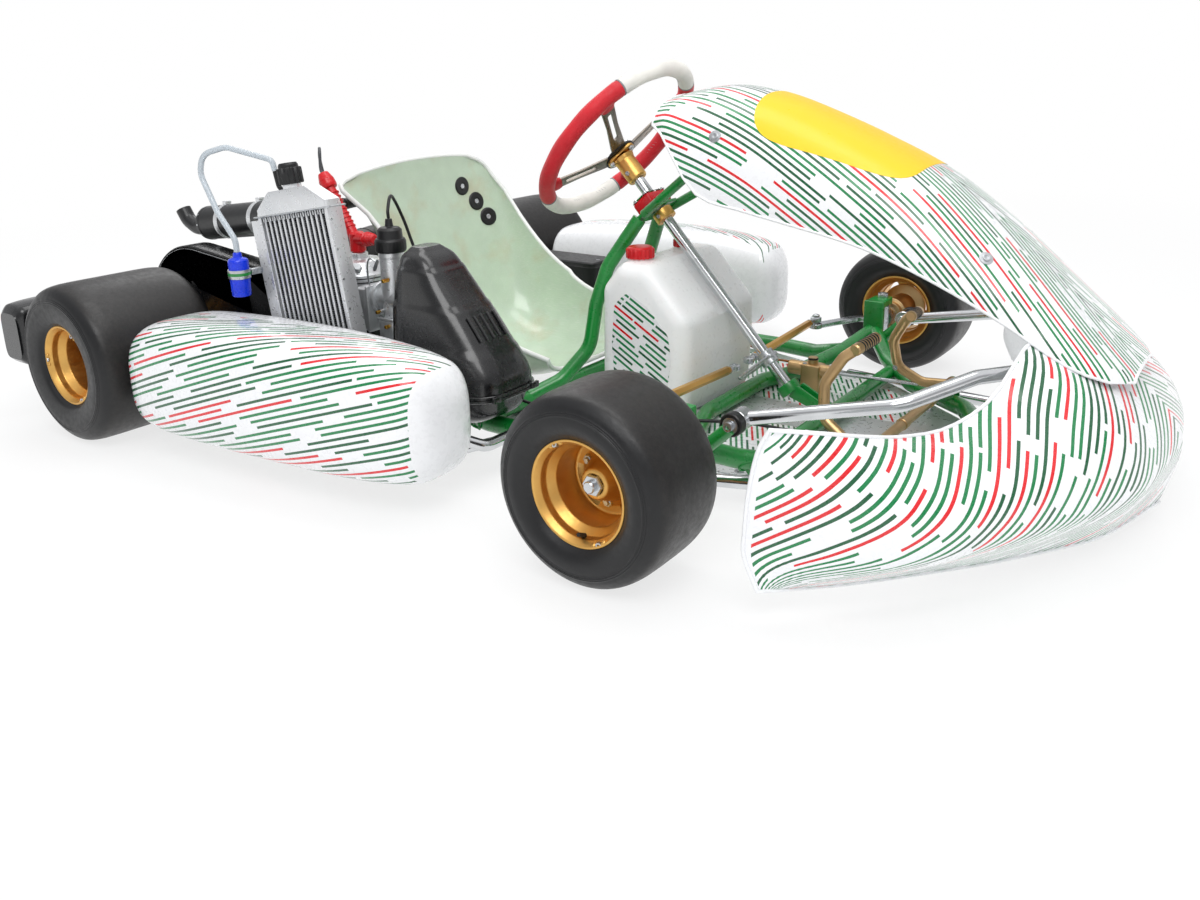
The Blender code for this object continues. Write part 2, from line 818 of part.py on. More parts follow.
def rear_rim(name, side):
    """Wide rim with a deep bowl outside its web."""
    web_at, web = 0.0590, 0.0040
    bore = AXLE_R + 0.0015
    ring = [(bore, web_at + web), (bore, web_at)]
    matrix = wheel_matrix(REAR_AXLE_X, REAR_TYRE_R, side)
    matrix = matrix @ Matrix.Translation((0.0, 0.0, REAR_RIM_IN))
    rim = turned(rim_profile(REAR_RIM_WIDTH, web_at, web, ring), WHEEL_SIDES, matrix)
    return place(smooth(rim), name, gold_anodised())


def tyre(name, side, x, radius, rim_in, width):
    """Slick tyre, hollow, seated on the rim's beads. Its flats lie at the nominal radius."""
    crown = radius / math.cos(math.pi / WHEEL_SIDES)
    mid = width / 2
    half = mid + TYRE_BULGE
    seat = BEAD_R + GAP + 0.0002
    outside = [
        (seat, mid - 0.0067),
        (LIP_R + 0.0012, mid - 0.0001),
        (crown - 0.036, half),
        (crown - 0.012, half - 0.008),
        (crown, half - 0.034),
    ]
    inside = [(crown - 0.012, half - 0.018), (seat, mid - 0.0185)]
    ring = [(r, mid + t) for r, t in outside] + [(r, mid - t) for r, t in reversed(outside)]
    ring += [(r, mid - t) for r, t in reversed(inside)] + [(r, mid + t) for r, t in inside]
    matrix = wheel_matrix(x, radius, side) @ Matrix.Translation((0.0, 0.0, rim_in))
    return place(smooth(turned(ring, WHEEL_SIDES, matrix)), name, black_rubber())


def front_hub(name, side):
    """Turned hub that carries the front rim on the stub axle."""
    bore = bore_for(STUB_R, SHAFT_SIDES)
    face = FRONT_RIM_IN + 0.0555 - GAP
    ring = [
        (bore, 0.434),
        (0.026, 0.434),
        (0.026, 0.446),
        (0.031, 0.448),
        (0.031, 0.468),
        (0.026, face - 0.012),
        (0.044, face - 0.007),
        (0.044, face),
        (bore, face),
    ]
    matrix = wheel_matrix(FRONT_AXLE_X, FRONT_TYRE_R, side)
    return place(smooth(turned(ring, SHAFT_SIDES, matrix)), name, bronze_anodised())


def rear_hub(name, side):
    """Clamped hub that carries the rear rim on the axle."""
    face = REAR_RIM_IN + 0.0590 - GAP
    bore = AXLE_R + GAP
    ring = [
        (bore, 0.432),
        (0.036, 0.432),
        (0.036, face - 0.012),
        (0.046, face - 0.007),
        (0.046, face),
        (bore, face),
    ]
    matrix = wheel_matrix(REAR_AXLE_X, REAR_TYRE_R, side)
    return place(smooth(turned(ring, AXLE_SIDES, matrix)), name, bronze_anodised())


def wheels():
    for label, side in SIDES:
        front_hub(f"front_hub_{label}", side)
        front_rim(f"front_rim_{label}", side)
        tyre(f"front_tyre_{label}", side, FRONT_AXLE_X, FRONT_TYRE_R, FRONT_RIM_IN, FRONT_RIM_WIDTH)
        rear_hub(f"rear_hub_{label}", side)
        rear_rim(f"rear_rim_{label}", side)
        tyre(f"rear_tyre_{label}", side, REAR_AXLE_X, REAR_TYRE_R, REAR_RIM_IN, REAR_RIM_WIDTH)


# Steering


def flat_bar(route, width, thickness):
    """Bent flat bar along a level route."""
    one_side, other_side = [], []
    for index, point in enumerate(route):
        way = route[min(index + 1, len(route) - 1)] - route[max(index - 1, 0)]
        across_way = Vector((-way.y, way.x, 0.0)).normalized() * width / 2
        one_side.append((point + across_way).xy)
        other_side.append((point - across_way).xy)
    outline = one_side + list(reversed(other_side))
    return plate(outline, thickness, Matrix.Translation((0.0, 0.0, route[0].z)))


def spindle(name, side):
    """Kingpin barrel with its pin, the stub axle and the steering arm."""
    x, y, z = FRONT_AXLE_X, KINGPIN_Y * side, FRONT_TYRE_R
    half = BARREL_HEIGHT / 2
    body = rod((x, y, z - half), (x, y, z + half), BARREL_R, SHAFT_SIDES)
    reach = (YOKE_GAP + 2 * YOKE_JAW) / 2
    pin = rod((x, y, z - reach - 0.004), (x, y, z + reach + 0.004), KINGPIN_R, SHAFT_SIDES)
    head_low = z + reach + GAP
    head = rod((x, y, head_low), (x, y, head_low + 0.008), 0.0105, 8)
    nut = rod((x, y, z - reach - GAP - 0.007), (x, y, z - reach - GAP), 0.009, 6)
    stub = rod((x, y, z), (x, STUB_END_Y * side, z), STUB_R, SHAFT_SIDES)
    shoulder = rod((x, y, z), (x, 0.4335 * side, z), 0.019, SHAFT_SIDES)
    end = Vector(mirrored(ARM_END, side))
    root = Vector((x, (KINGPIN_Y + 0.010) * side, ARM_END.z))
    knee = Vector((x - 0.050, (KINGPIN_Y - 0.006) * side, ARM_END.z))
    arm = flat_bar([root, knee, end], 0.018, 0.009)
    eye = rod(end - Vector((0, 0, 0.0045)), end + Vector((0, 0, 0.0045)), 0.012, 8)
    post = rod(end, end + Vector((0, 0, 0.0235)), 0.0040, 8)
    body = unite(body, [pin, head, nut, stub, shoulder, arm, eye, post])
    return place(smooth(body), name, steel())


def rod_inner_end(side):
    """Where a tie rod's inner ball joint lies, over the column's arm."""
    centre = on_column(PITMAN_AT) - column_front() * PITMAN_REACH
    return Vector((centre.x, 0.026 * side, centre.z))


def tie_rod(name, side):
    """Gold hexagon rod with a ball joint at each end."""
    outer = Vector(mirrored(ARM_END, side)) + Vector((0.0, 0.0, 0.0130))
    inner = rod_inner_end(side) + Vector((-0.0145, 0.0, 0.0130))
    way = (inner - outer).normalized()
    body = rod(outer + way * 0.030, inner - way * 0.022, ROD_R, 6)
    shanks = [
        rod(outer + way * 0.008, outer + way * 0.034, 0.0045, 6),
        rod(inner - way * 0.026, inner - way * 0.006, 0.0045, 6),
    ]
    half = Vector((0.0, 0.0, 0.0055))
    eyes = [rod(outer - half, outer + half, 0.0105, 10), rod(inner - half, inner + half, 0.0095, 10)]
    body = unite(body, shanks + eyes)
    hole = rod(outer - half * 3, outer + half * 3, bore_for(0.0040, 8), 8)
    return place(smooth(cut(body, [hole])), name, gold_anodised())


def steering_column():
    """Polished shaft with the arm that works the tie rods."""
    along = column_axis()
    shaft = rod(on_column(-0.014), on_column(COLUMN_LENGTH - 0.010), COLUMN_R, SHAFT_SIDES)
    matrix = axis_matrix(on_column(PITMAN_AT), along, (0.0, 1.0, 0.0))
    tip = PITMAN_REACH + 0.012
    half = [(0.016, 0.012), (0.008 - tip, 0.030), (-tip, 0.022)]
    outline = half + [(x, -y) for x, y in reversed(half)]
    arm = plate(outline, 0.006, matrix)
    collar = rod(on_column(PITMAN_AT - 0.012), on_column(PITMAN_AT + 0.012), 0.0155, SHAFT_SIDES)
    return place(smooth(unite(shaft, [arm, collar])), "steering_column", chrome())


def wheel_axis():
    """Unit vector out of the steering wheel's face, a little steeper than the column."""
    return Vector((-math.cos(WHEEL_LEAN), 0.0, math.sin(WHEEL_LEAN)))


def flange_matrix():
    """Middle of the boss's flange, with local X up the wheel and local Z out of its face."""
    return axis_matrix(on_column(COLUMN_LENGTH), wheel_axis(), (0.0, 1.0, 0.0))


def steering_boss():
    """Gold boss clamped on the column, with the leaning flange that the wheel bolts to."""
    top = COLUMN_LENGTH
    ring = [
        (COLUMN_R + GAP, top - 0.052),
        (0.018, top - 0.052),
        (0.018, top - 0.001),
        (COLUMN_R + GAP, top - 0.001),
    ]
    barrel = turned(ring, SHAFT_SIDES, axis_matrix(COLUMN_FOOT, column_axis()))
    flange = plate(arc((0.0, 0.0), 0.031, 15, 345, 11), FLANGE_THICK, flange_matrix())
    return place(smooth(unite(barrel, [flange])), "steering_boss", gold_anodised())


def steering_wheel():
    """Grip ring with four slotted spokes on a centre plate."""
    low = FLANGE_THICK / 2 + GAP + SPOKE_THICK / 2
    matrix = flange_matrix() @ Matrix.Translation((0.0, 0.0, low))
    rim_middle = Vector((WHEEL_RISE, 0.0, WHEEL_DISH))
    steps = 22
    curve = bpy.data.curves.new("grip", "CURVE")
    curve.dimensions = "3D"
    curve.bevel_depth = WHEEL_GRIP_R
    curve.bevel_resolution = 1
    spline = curve.splines.new("POLY")
    spline.points.add(steps - 1)
    for step, knot in enumerate(spline.points):
        angle = 2 * math.pi * step / steps
        spot = rim_middle + Vector((math.cos(angle), math.sin(angle), 0.0)) * WHEEL_RIM_R
        knot.co = (*spot, 1.0)
    spline.use_cyclic_u = True
    ring = bpy.data.objects.new("grip", curve)
    collection("workshop").objects.link(ring)
    ring.matrix_world = matrix
    ring = bake(ring)
    hub = plate(arc((0.0, 0.0), 0.031, 15, 345, 11), SPOKE_THICK, matrix)
    spokes = []
    for degrees in (52.0, 128.0, 232.0, 308.0):
        angle = math.radians(degrees)
        way = Vector((math.cos(angle), math.sin(angle), 0.0))
        side_share = WHEEL_RISE * way.x
        reach = side_share + math.sqrt(WHEEL_RIM_R**2 - WHEEL_RISE**2 + side_share**2) - 0.022
        length = math.hypot(reach, WHEEL_DISH)
        tilt = math.atan2(WHEEL_DISH, reach)
        turn = Matrix.Rotation(angle, 4, "Z") @ Matrix.Rotation(-tilt, 4, "Y")
        turn = Matrix.Translation(way * 0.022) @ turn
        outline = [(0.0, -0.015), (length * 0.5, -0.012), (length, -0.014)]
        outline += [(length, 0.014), (length * 0.5, 0.012), (0.0, 0.015)]
        spoke = plate(outline, SPOKE_THICK, matrix @ turn)
        slot = box((length * 0.50, 0.009, 0.02), (0.0, 0.0, 0.0))
        slot.matrix_world = matrix @ turn @ Matrix.Translation((length * 0.48, 0.0, 0.0))
        spokes.append(cut(spoke, [slot]))
    return place(smooth(unite(ring, [hub] + spokes)), "steering_wheel", red_plastic())


def column_bush():
    """Red block round the column, bolted to the head plate of the steering support."""
    along = column_axis()
    matrix = axis_matrix(on_column(HEAD_AT) + along * (0.003 + GAP + 0.012), along, (0.0, 1.0, 0.0))
    block = box((0.040, 0.062, 0.024), (0.0, 0.0, 0.0), bevel=0.004)
    block.matrix_world = matrix @ Matrix.Translation((-0.004, 0.0, 0.0))
    bore = bore_for(COLUMN_R, SHAFT_SIDES)
    hole = rod(on_column(HEAD_AT - 0.02), on_column(HEAD_AT + 0.06), bore, SHAFT_SIDES)
    return place(smooth(cut(block, [hole])), "column_bush", red_plastic())


# Rear axle, brake and drive


def rear_axle():
    """Hollow rear axle."""
    half = AXLE_LENGTH / 2
    ring = [(AXLE_R, -half), (AXLE_R, half), (AXLE_R - 0.0035, half), (AXLE_R - 0.0035, -half)]
    matrix = wheel_matrix(REAR_AXLE_X, REAR_TYRE_R, LEFT)
    return place(smooth(turned(ring, AXLE_SIDES, matrix)), "rear_axle", chrome())


def bearing_carrier(name, side):
    """Aluminium housing that hangs the axle's bearing on a side rail."""
    x, z = REAR_AXLE_X, REAR_TYRE_R
    foot = FRAME_Z + TUBE_R + GAP
    outline = [(x - 0.046, foot), (x + 0.046, foot), (x + 0.046, foot + 0.012)]
    outline += arc((x, z), 0.045, -10, 190, 10) + [(x - 0.046, foot + 0.012)]
    body = plate(outline, 0.026, side_plane(RAIL_Y * side))
    low, high = (RAIL_Y - 0.03) * side, (RAIL_Y + 0.03) * side
    bore = rod((x, low, z), (x, high, z), bore_for(AXLE_R, AXLE_SIDES), AXLE_SIDES)
    return place(smooth(cut(body, [bore])), name, aluminium())


def brake_disc():
    """Steel disc on a carrier clamped to the axle."""
    half = DISC_THICK / 2
    bore = AXLE_R + GAP
    ring = [
        (bore, DISC_Y - 0.022),
        (0.034, DISC_Y - 0.022),
        (0.034, DISC_Y - half),
        (DISC_R, DISC_Y - half),
        (DISC_R, DISC_Y + half),
        (bore, DISC_Y + half),
    ]
    matrix = wheel_matrix(REAR_AXLE_X, REAR_TYRE_R, LEFT)
    disc = turned(ring, WHEEL_SIDES, matrix)
    holes = []
    for step in range(6):
        angle = math.radians(60 * step + 15)
        x = REAR_AXLE_X + 0.060 * math.cos(angle)
        z = REAR_TYRE_R + 0.060 * math.sin(angle)
        holes.append(rod((x, DISC_Y - 0.02, z), (x, DISC_Y + 0.02, z), 0.010, 6))
    return place(smooth(cut(disc, holes)), "brake_disc", steel())


def brake_caliper():
    """Caliper over the rear of the disc, on a bracket from the left bearing carrier."""
    x, z = REAR_AXLE_X - 0.068, REAR_TYRE_R + 0.062
    turn = Matrix.Rotation(math.radians(-42), 4, "Y")
    body = box((0.060, 0.062, 0.078), (x, DISC_Y, z), turn, 0.006)
    slot = rod(
        (REAR_AXLE_X, DISC_Y - DISC_THICK / 2 - 0.0012, REAR_TYRE_R),
        (REAR_AXLE_X, DISC_Y + DISC_THICK / 2 + 0.0012, REAR_TYRE_R),
        DISC_R + 0.003,
        WHEEL_SIDES,
    )
    clear = rod((REAR_AXLE_X, 0.10, REAR_TYRE_R), (REAR_AXLE_X, 0.35, REAR_TYRE_R), 0.050, AXLE_SIDES)
    body = cut(body, [slot, clear])
    start_y = DISC_Y + 0.028
    end_y = RAIL_Y - 0.013 - GAP
    arm = box((0.034, end_y - start_y, 0.020), (x + 0.034, (start_y + end_y) / 2, z + 0.006 - 0.035), turn)
    return place(smooth(unite(body, [arm])), "brake_caliper", bronze_anodised())


def pitch_radius(teeth):
    return CHAIN_PITCH / (2 * math.sin(math.pi / teeth))


def sprocket_outline(teeth):
    """Outline of a chain sprocket: a root and a tooth for each pitch."""
    pitch_r = pitch_radius(teeth)
    made = []
    for tooth in range(teeth):
        middle = 2 * math.pi * tooth / teeth
        step = 2 * math.pi / teeth
        for share, rise in ((-0.26, -0.0042), (0.26, 0.0036)):
            angle = middle + share * step
            radius = pitch_r + rise
            made.append((radius * math.cos(angle), radius * math.sin(angle)))
    return made


def axle_sprocket():
    """Sprocket and its split carrier on the rear axle."""
    centre = Vector((REAR_AXLE_X, CHAIN_Y, REAR_TYRE_R))
    inwards = Vector((0.0, 0.024, 0.0))
    matrix = Matrix.Translation(centre) @ Matrix.Rotation(math.pi / 2, 4, "X")
    wheel = plate(sprocket_outline(AXLE_TEETH), 0.006, matrix)
    body = unite(wheel, [rod(centre, centre + inwards, 0.036, AXLE_SIDES)])
    bore = rod(centre - inwards, centre + inwards * 2, AXLE_R + GAP, AXLE_SIDES)
    return place(cut(body, [bore]), "axle_sprocket", steel())


def engine_sprocket():
    """Small sprocket on the gearbox output shaft."""
    matrix = Matrix.Translation(OUTPUT_SHAFT) @ Matrix.Rotation(math.pi / 2, 4, "X")
    wheel = plate(sprocket_outline(ENGINE_TEETH), 0.006, matrix)
    outer, inner = OUTPUT_SHAFT + Vector((0, -0.007, 0)), OUTPUT_SHAFT + Vector((0, 0.045, 0))
    shaft = rod(outer, inner, OUTPUT_SHAFT_R, 8)
    return place(unite(wheel, [shaft]), "engine_sprocket", steel())


def chain_outline(offset):
    """Closed run round both sprockets, this far outside the pitch line."""
    axle = Vector((REAR_AXLE_X, REAR_TYRE_R))
    engine = Vector((OUTPUT_SHAFT.x, OUTPUT_SHAFT.z))
    big = pitch_radius(AXLE_TEETH) + offset
    small = pitch_radius(ENGINE_TEETH) + offset
    way = engine - axle
    lean = math.degrees(math.atan2(way.y, way.x))
    spread = math.degrees(math.acos((big - small) / way.length))
    front = arc(engine, small, lean - spread, lean + spread, 7)
    back = arc(axle, big, lean + spread, lean + 360 - spread, 9)
    return front + back


def drive_chain():
    """Roller chain round both sprockets, drawn as one band with its links' side plates."""
    outer = plate(chain_outline(0.0090), 0.0135, side_plane(CHAIN_Y))
    inner = plate(chain_outline(0.0052), 0.03, side_plane(CHAIN_Y))
    return place(cut(outer, [inner]), "drive_chain", steel())


def chain_guard():
    """Moulded guard over the chain and its sprocket, open towards the driver and below."""
    rear = (REAR_AXLE_X - 0.005, REAR_TYRE_R + 0.010)
    low = 0.082
    big, small = 0.157, 0.134
    front = (OUTPUT_SHAFT.x - 0.070, 0.148)

    def outline(grow):
        angle = math.degrees(math.asin((big - small) / (front[0] - rear[0])))
        rear_end = 180 - math.degrees(math.asin((low - rear[1]) / (big + grow)))
        front_start = math.degrees(math.asin((low - front[1]) / (small + grow)))
        made = arc(front, small + grow, front_start, 90 - angle, 7)
        made += arc(rear, big + grow, 90 - angle, rear_end, 9)
        return made

    cover = plate(outline(0.0), 0.046, side_plane(CHAIN_Y - 0.003))
    hollow_outline = [(x, z - 0.001) for x, z in outline(-0.003)]
    hollow_outline = [(x, z if z > low + 0.004 else low - 0.01) for x, z in hollow_outline]
    hollow = plate(hollow_outline, 0.046, side_plane(CHAIN_Y))
    axle = (REAR_AXLE_X, REAR_TYRE_R)
    notch_outline = arc(axle, 0.034, 0, 180, 8) + [(axle[0] - 0.034, 0.05), (axle[0] + 0.034, 0.05)]
    notch = plate(notch_outline, 0.2, side_plane(CHAIN_Y))
    cover = cut(cover, [hollow, notch])
    plate_edge = ENGINE_PLATE_Y - ENGINE_PLATE_WIDTH / 2 - GAP
    lug_out = CHAIN_Y + 0.014
    lug = box((0.022, plate_edge - lug_out, 0.011), (-0.3105, (plate_edge + lug_out) / 2, 0.0885))
    return place(smooth(unite(cover, [lug]), 30), "chain_guard", black_plastic())


# Engine


def engine_mount():
    """Plate with two saddles that clamps the engine to the right rail."""
    y = -RAIL_Y
    top = ENGINE_PLATE_TOP
    low = FRAME_Z + TUBE_R + 0.002
    plate_box = box((0.205, ENGINE_PLATE_WIDTH, top - low), (-0.3125, ENGINE_PLATE_Y, (top + low) / 2))
    saddles = []
    for x in (-0.372, -0.270):
        saddles.append(box((0.026, 0.050, 0.030), (x, y, FRAME_Z + 0.009)))
    body = unite(plate_box, saddles)
    rail = rod((-0.5, y, FRAME_Z), (-0.16, y, FRAME_Z), bore_for(TUBE_R, 8), 8)
    return place(smooth(cut(body, [rail])), "engine_mount", aluminium())


def crankcase():
    """Crankcase with its round flywheel and clutch covers."""
    low = ENGINE_PLATE_TOP + GAP
    body = box((0.150, 0.110, CRANKCASE_HEIGHT), (-0.335, -0.295, low + CRANKCASE_HEIGHT / 2), bevel=0.008)
    covers = []
    for x, z, radius, outer in ((-0.304, 0.1455, 0.047, -0.352), (-0.372, 0.140, 0.042, -0.354)):
        covers.append(rod((x, outer, z), (x, -0.232, z), radius, 10))
    reed_face = CARB_X - CARB_REACH - GAP
    reed = box((0.040, 0.060, 0.080), (reed_face - 0.020, CARB_Y, 0.230))
    spigot = rod((-0.280, -0.328, 0.130), (PUMP_SPIGOT_X, -0.328, 0.130), 0.0085, 10)
    body = unite(body, covers + [reed, spigot])
    shaft_bore = rod(OUTPUT_SHAFT + Vector((0, 0.02, 0)), OUTPUT_SHAFT + Vector((0, 0.052, 0)), 0.016, 8)
    return place(smooth(cut(body, [shaft_bore])), "crankcase", black_plastic())


def exhaust_port():
    """Outer end of the cylinder's exhaust stub and the way that it points."""
    end = Vector((-0.395, -0.290, 0.2380))
    return end, (end - Vector((-0.335, -0.298, 0.2320))).normalized()


def cylinder():
    """Water-cooled cylinder and head, with the exhaust stub."""
    low = ENGINE_PLATE_TOP + CRANKCASE_HEIGHT + 2 * GAP
    ring = [
        (0.0, low),
        (0.040, low),
        (0.046, low + 0.012),
        (0.046, low + 0.060),
        (0.052, low + 0.062),
        (0.052, low + 0.080),
        (0.038, low + 0.102),
        (0.0, low + CYLINDER_HEIGHT),
    ]
    matrix = Matrix.Translation((-0.335, -0.298, 0.0))
    body = turned(ring, 14, matrix)
    port = rod((-0.335, -0.298, low + 0.036), exhaust_port()[0], 0.021, 12)
    return place(smooth(unite(body, [port])), "cylinder", aluminium())


def spark_plug_cap():
    """Red boot on the plug with its long coil stem."""
    top = ENGINE_PLATE_TOP + CRANKCASE_HEIGHT + CYLINDER_HEIGHT + 3 * GAP
    base = Vector((-0.335, -0.298, top))
    elbow = rod(base, base + Vector((0.0, 0.0, 0.036)), 0.0140, 10)
    foot = rod(base + Vector((-0.004, 0, 0.024)), base + Vector((0.054, -0.008, 0.028)), 0.013, 10, 0.009)
    stem_low = base + Vector((-0.006, 0.0, 0.024))
    stem_top = base + Vector((-0.066, 0.0, 0.118))
    stem = rod(stem_low, stem_top, 0.0115, 10, 0.0105)
    way = (stem_top - stem_low).normalized()
    crown = rod(stem_top - way * 0.010, stem_top + way * 0.020, 0.0145, 10, 0.0095)
    return place(smooth(unite(elbow, [foot, stem, crown])), "spark_plug_cap", red_plastic())


def carburettor():
    """Slide carburettor: body, float bowl, throat and its screwed top."""
    x, y = CARB_X, CARB_Y
    ring = [
        (0.0, 0.205),
        (0.0200, 0.208),
        (0.0215, 0.330),
        (0.0260, 0.331),
        (0.0260, 0.350),
        (0.0215, 0.352),
        (0.0200, 0.368),
        (0.0070, 0.372),
        (0.0, 0.384),
    ]
    body = turned(ring, 10, Matrix.Translation((x, y, 0.0)))
    z = CARB_BORE_Z
    throat = rod((x - 0.030, y, z), (x + CARB_REACH, y, z), 0.0205, 10)
    flange = rod((x - CARB_REACH, y, z), (x - 0.026, y, z), 0.027, 10)
    bowl = box((0.036, 0.050, 0.046), (x, y, 0.198))
    jet = rod((x, y, 0.180), (x, y, 0.166), 0.009, 6)
    return place(smooth(unite(body, [throat, flange, bowl, jet])), "carburettor", aluminium())


def rounded_ring(x1, x2, y1, y2, z, corner=3.4, count=12):
    """Rounded rectangle at this height."""
    ring = superellipse((x2 - x1) / 2, (y2 - y1) / 2, corner, count, math.pi / count)
    return [((x1 + x2) / 2 + dx, (y1 + y2) / 2 + dy, z) for dx, dy in ring]


def airbox():
    """Sloping wedge cover of the intake silencer."""
    mid = AIRBOX_Y
    levels = [
        (0.1385, -0.164, 0.066, 0.076),
        (0.1600, -0.162, 0.064, 0.074),
        (0.2000, -0.160, 0.038, 0.068),
        (0.2500, -0.158, 0.000, 0.062),
        (0.3000, -0.152, -0.042, 0.054),
        (0.3350, -0.142, -0.070, 0.044),
        (0.3500, -0.128, -0.092, 0.026),
    ]
    rings = [rounded_ring(x1, x2, mid - hy, mid + hy, z) for z, x1, x2, hy in levels]
    mouth_x = CARB_X + CARB_REACH + GAP
    inlet = rod((mouth_x, CARB_Y, CARB_BORE_Z), (-0.140, CARB_Y, CARB_BORE_Z), 0.026, 10)
    return place(smooth(unite(loft(rings), [inlet])), "airbox", black_plastic())


def airbox_tray():
    """Lower half of the intake silencer, with its flange and clip ears."""
    mid = AIRBOX_Y
    levels = [
        (0.0830, -0.110, 0.024, 0.052),
        (0.0950, -0.138, 0.046, 0.064),
        (0.1240, -0.156, 0.060, 0.072),
        (0.1270, -0.165, 0.070, 0.080),
        (0.1380, -0.165, 0.070, 0.080),
    ]
    rings = [rounded_ring(x1, x2, mid - hy, mid + hy, z) for z, x1, x2, hy in levels]
    return place(smooth(loft(rings)), "airbox_tray", black_plastic())


def radiator_matrix():
    """Radiator's frame: local Z up its core, leaning back, local Y across the core."""
    lean = Matrix.Rotation(math.radians(-9.5), 4, "Y")
    return Matrix.Translation((-0.2524, -0.437, 0.128)) @ lean


def nipple_elbow():
    """Bend of the filler neck's nipple, clear of the cap."""
    return radiator_matrix() @ Vector((NECK_X - 0.0300, -0.003, RADIATOR_HEIGHT + 0.040))


def nipple_end():
    """Where the overflow hose starts, at the tip of the filler neck's nipple."""
    return radiator_matrix() @ Vector((NECK_X - 0.0310, -0.004, RADIATOR_HEIGHT + 0.070))


def radiator():
    """Core with its upright tubes, side plates, top tank, filler neck and bottom tank."""
    place_at = radiator_matrix()
    width, depth, height = 0.190, 0.030, RADIATOR_HEIGHT

    def local_box(size, centre):
        made = box(size, (0.0, 0.0, 0.0))
        made.matrix_world = place_at @ Matrix.Translation(centre)
        return made

    core = local_box((width - 0.012, depth - 0.006, height + 0.02), (0.0, 0.0, height / 2))
    pieces = [
        local_box((0.008, depth + 0.008, height + 0.010), (-width / 2, 0.0, height / 2)),
        local_box((0.008, depth + 0.008, height + 0.010), (width / 2, 0.0, height / 2)),
        local_box((width + 0.004, depth + 0.006, 0.026), (0.0, 0.0, -0.003)),
    ]
    tubes_count = 10
    for index in range(tubes_count):
        x = (index - (tubes_count - 1) / 2) * (width - 0.024) / (tubes_count - 1)
        pieces.append(local_box((0.0040, depth + 0.002, height + 0.004), (x, 0.0, height / 2)))
    rings = []
    levels = ((0.0, -0.099, 0.099, 0.019), (0.012, -0.099, 0.099, 0.019), (0.038, -0.062, 0.048, 0.015))
    for z, x1, x2, half in [(height + level[0], *level[1:]) for level in levels]:
        rings.append([(x1, -half, z), (x2, -half, z), (x2, half, z), (x1, half, z)])
    tank = loft(rings)
    tank.matrix_world = place_at
    base = place_at @ Vector((NECK_X, 0.0, height + 0.028))
    top = place_at @ Vector((NECK_X, 0.0, height + NECK_RISE))
    neck = rod(base, top, 0.0150, 10)
    nipple_route = [place_at @ Vector((NECK_X, 0.0, height + 0.036)), nipple_elbow(), nipple_end()]
    nipple = tube(nipple_route, 0.0040, 0.008)
    port = rod(place_at @ Vector((0.045, 0.0, 0.0)), place_at @ Vector((0.045, 0.038, 0.0)), 0.0085, 8)
    foot_top = ENGINE_PLATE_TOP + GAP
    foot = box((0.028, 0.090, 0.006), (-0.230, -0.388, foot_top + 0.003))
    strut = box((0.028, 0.020, 0.040), (-0.230, -0.4330, foot_top + 0.020))
    pieces += [tank, neck, nipple, port, foot, strut]
    return place(unite(core, pieces), "radiator", aluminium())


def radiator_cap():
    """Ribbed screw cap on the filler neck."""
    place_at = radiator_matrix() @ Matrix.Translation((NECK_X, 0.0, RADIATOR_HEIGHT + NECK_RISE + GAP))
    outline = []
    ribs = 10
    for rib in range(ribs * 2):
        radius = 0.0205 if rib % 2 else 0.0190
        angle = math.pi * rib / ribs
        outline.append((radius * math.cos(angle), radius * math.sin(angle)))
    body = plate(outline, 0.026, place_at @ Matrix.Translation((0.0, 0.0, 0.013)))
    top = rod(place_at @ Vector((0, 0, 0.020)), place_at @ Vector((0, 0, 0.034)), 0.0165, 10, 0.0140)
    return place(smooth(unite(body, [top])), "radiator_cap", black_plastic())


def overflow_hose():
    """Clear hose from the filler neck over to the catch bottle."""
    way = (nipple_end() - nipple_elbow()).normalized()
    start = nipple_end() + way * GAP
    route = [
        tuple(start),
        tuple(start + way * 0.018),
        (-0.430, -0.478, 0.505),
        (-0.464, -0.500, 0.494),
        (-0.474, -0.502, 0.462),
        (-0.440, -0.501, 0.400),
        (-0.401, -0.500, 0.356),
        (-0.401, -0.500, 0.3355 + GAP),
    ]
    return place(smooth(tube(route, 0.0048, 0.03)), "overflow_hose", white_plastic())


def overflow_bottle():
    """Catch bottle with the clamp that holds it to the radiator's side plate."""
    ring = [
        (0.0, 0.262),
        (0.0155, 0.262),
        (0.0165, 0.292),
        (0.0185, 0.294),
        (0.0185, 0.306),
        (0.0165, 0.308),
        (0.0165, 0.322),
        (0.0060, 0.3355),
        (0.0, 0.3355),
    ]
    body = turned(ring, 10, Matrix.Translation((-0.401, -0.500, 0.0)))
    arm = box((0.010, 0.030, 0.010), (-0.396, -0.4750, 0.300))
    return place(smooth(unite(body, [arm])), "overflow_bottle", blue_plastic())


def coolant_hose():
    """Rubber hose from the bottom tank to the water pump on the crankcase."""
    start = radiator_matrix() @ Vector((0.045, 0.038 + GAP, 0.0))
    route = [
        tuple(start),
        (start.x, start.y + 0.022, start.z),
        (start.x - 0.004, -0.345, start.z + 0.002),
        (start.x - 0.012, -0.328, 0.130),
        (PUMP_SPIGOT_X + GAP, -0.328, 0.130),
    ]
    return place(smooth(tube(route, 0.0080, 0.012)), "coolant_hose", black_rubber())


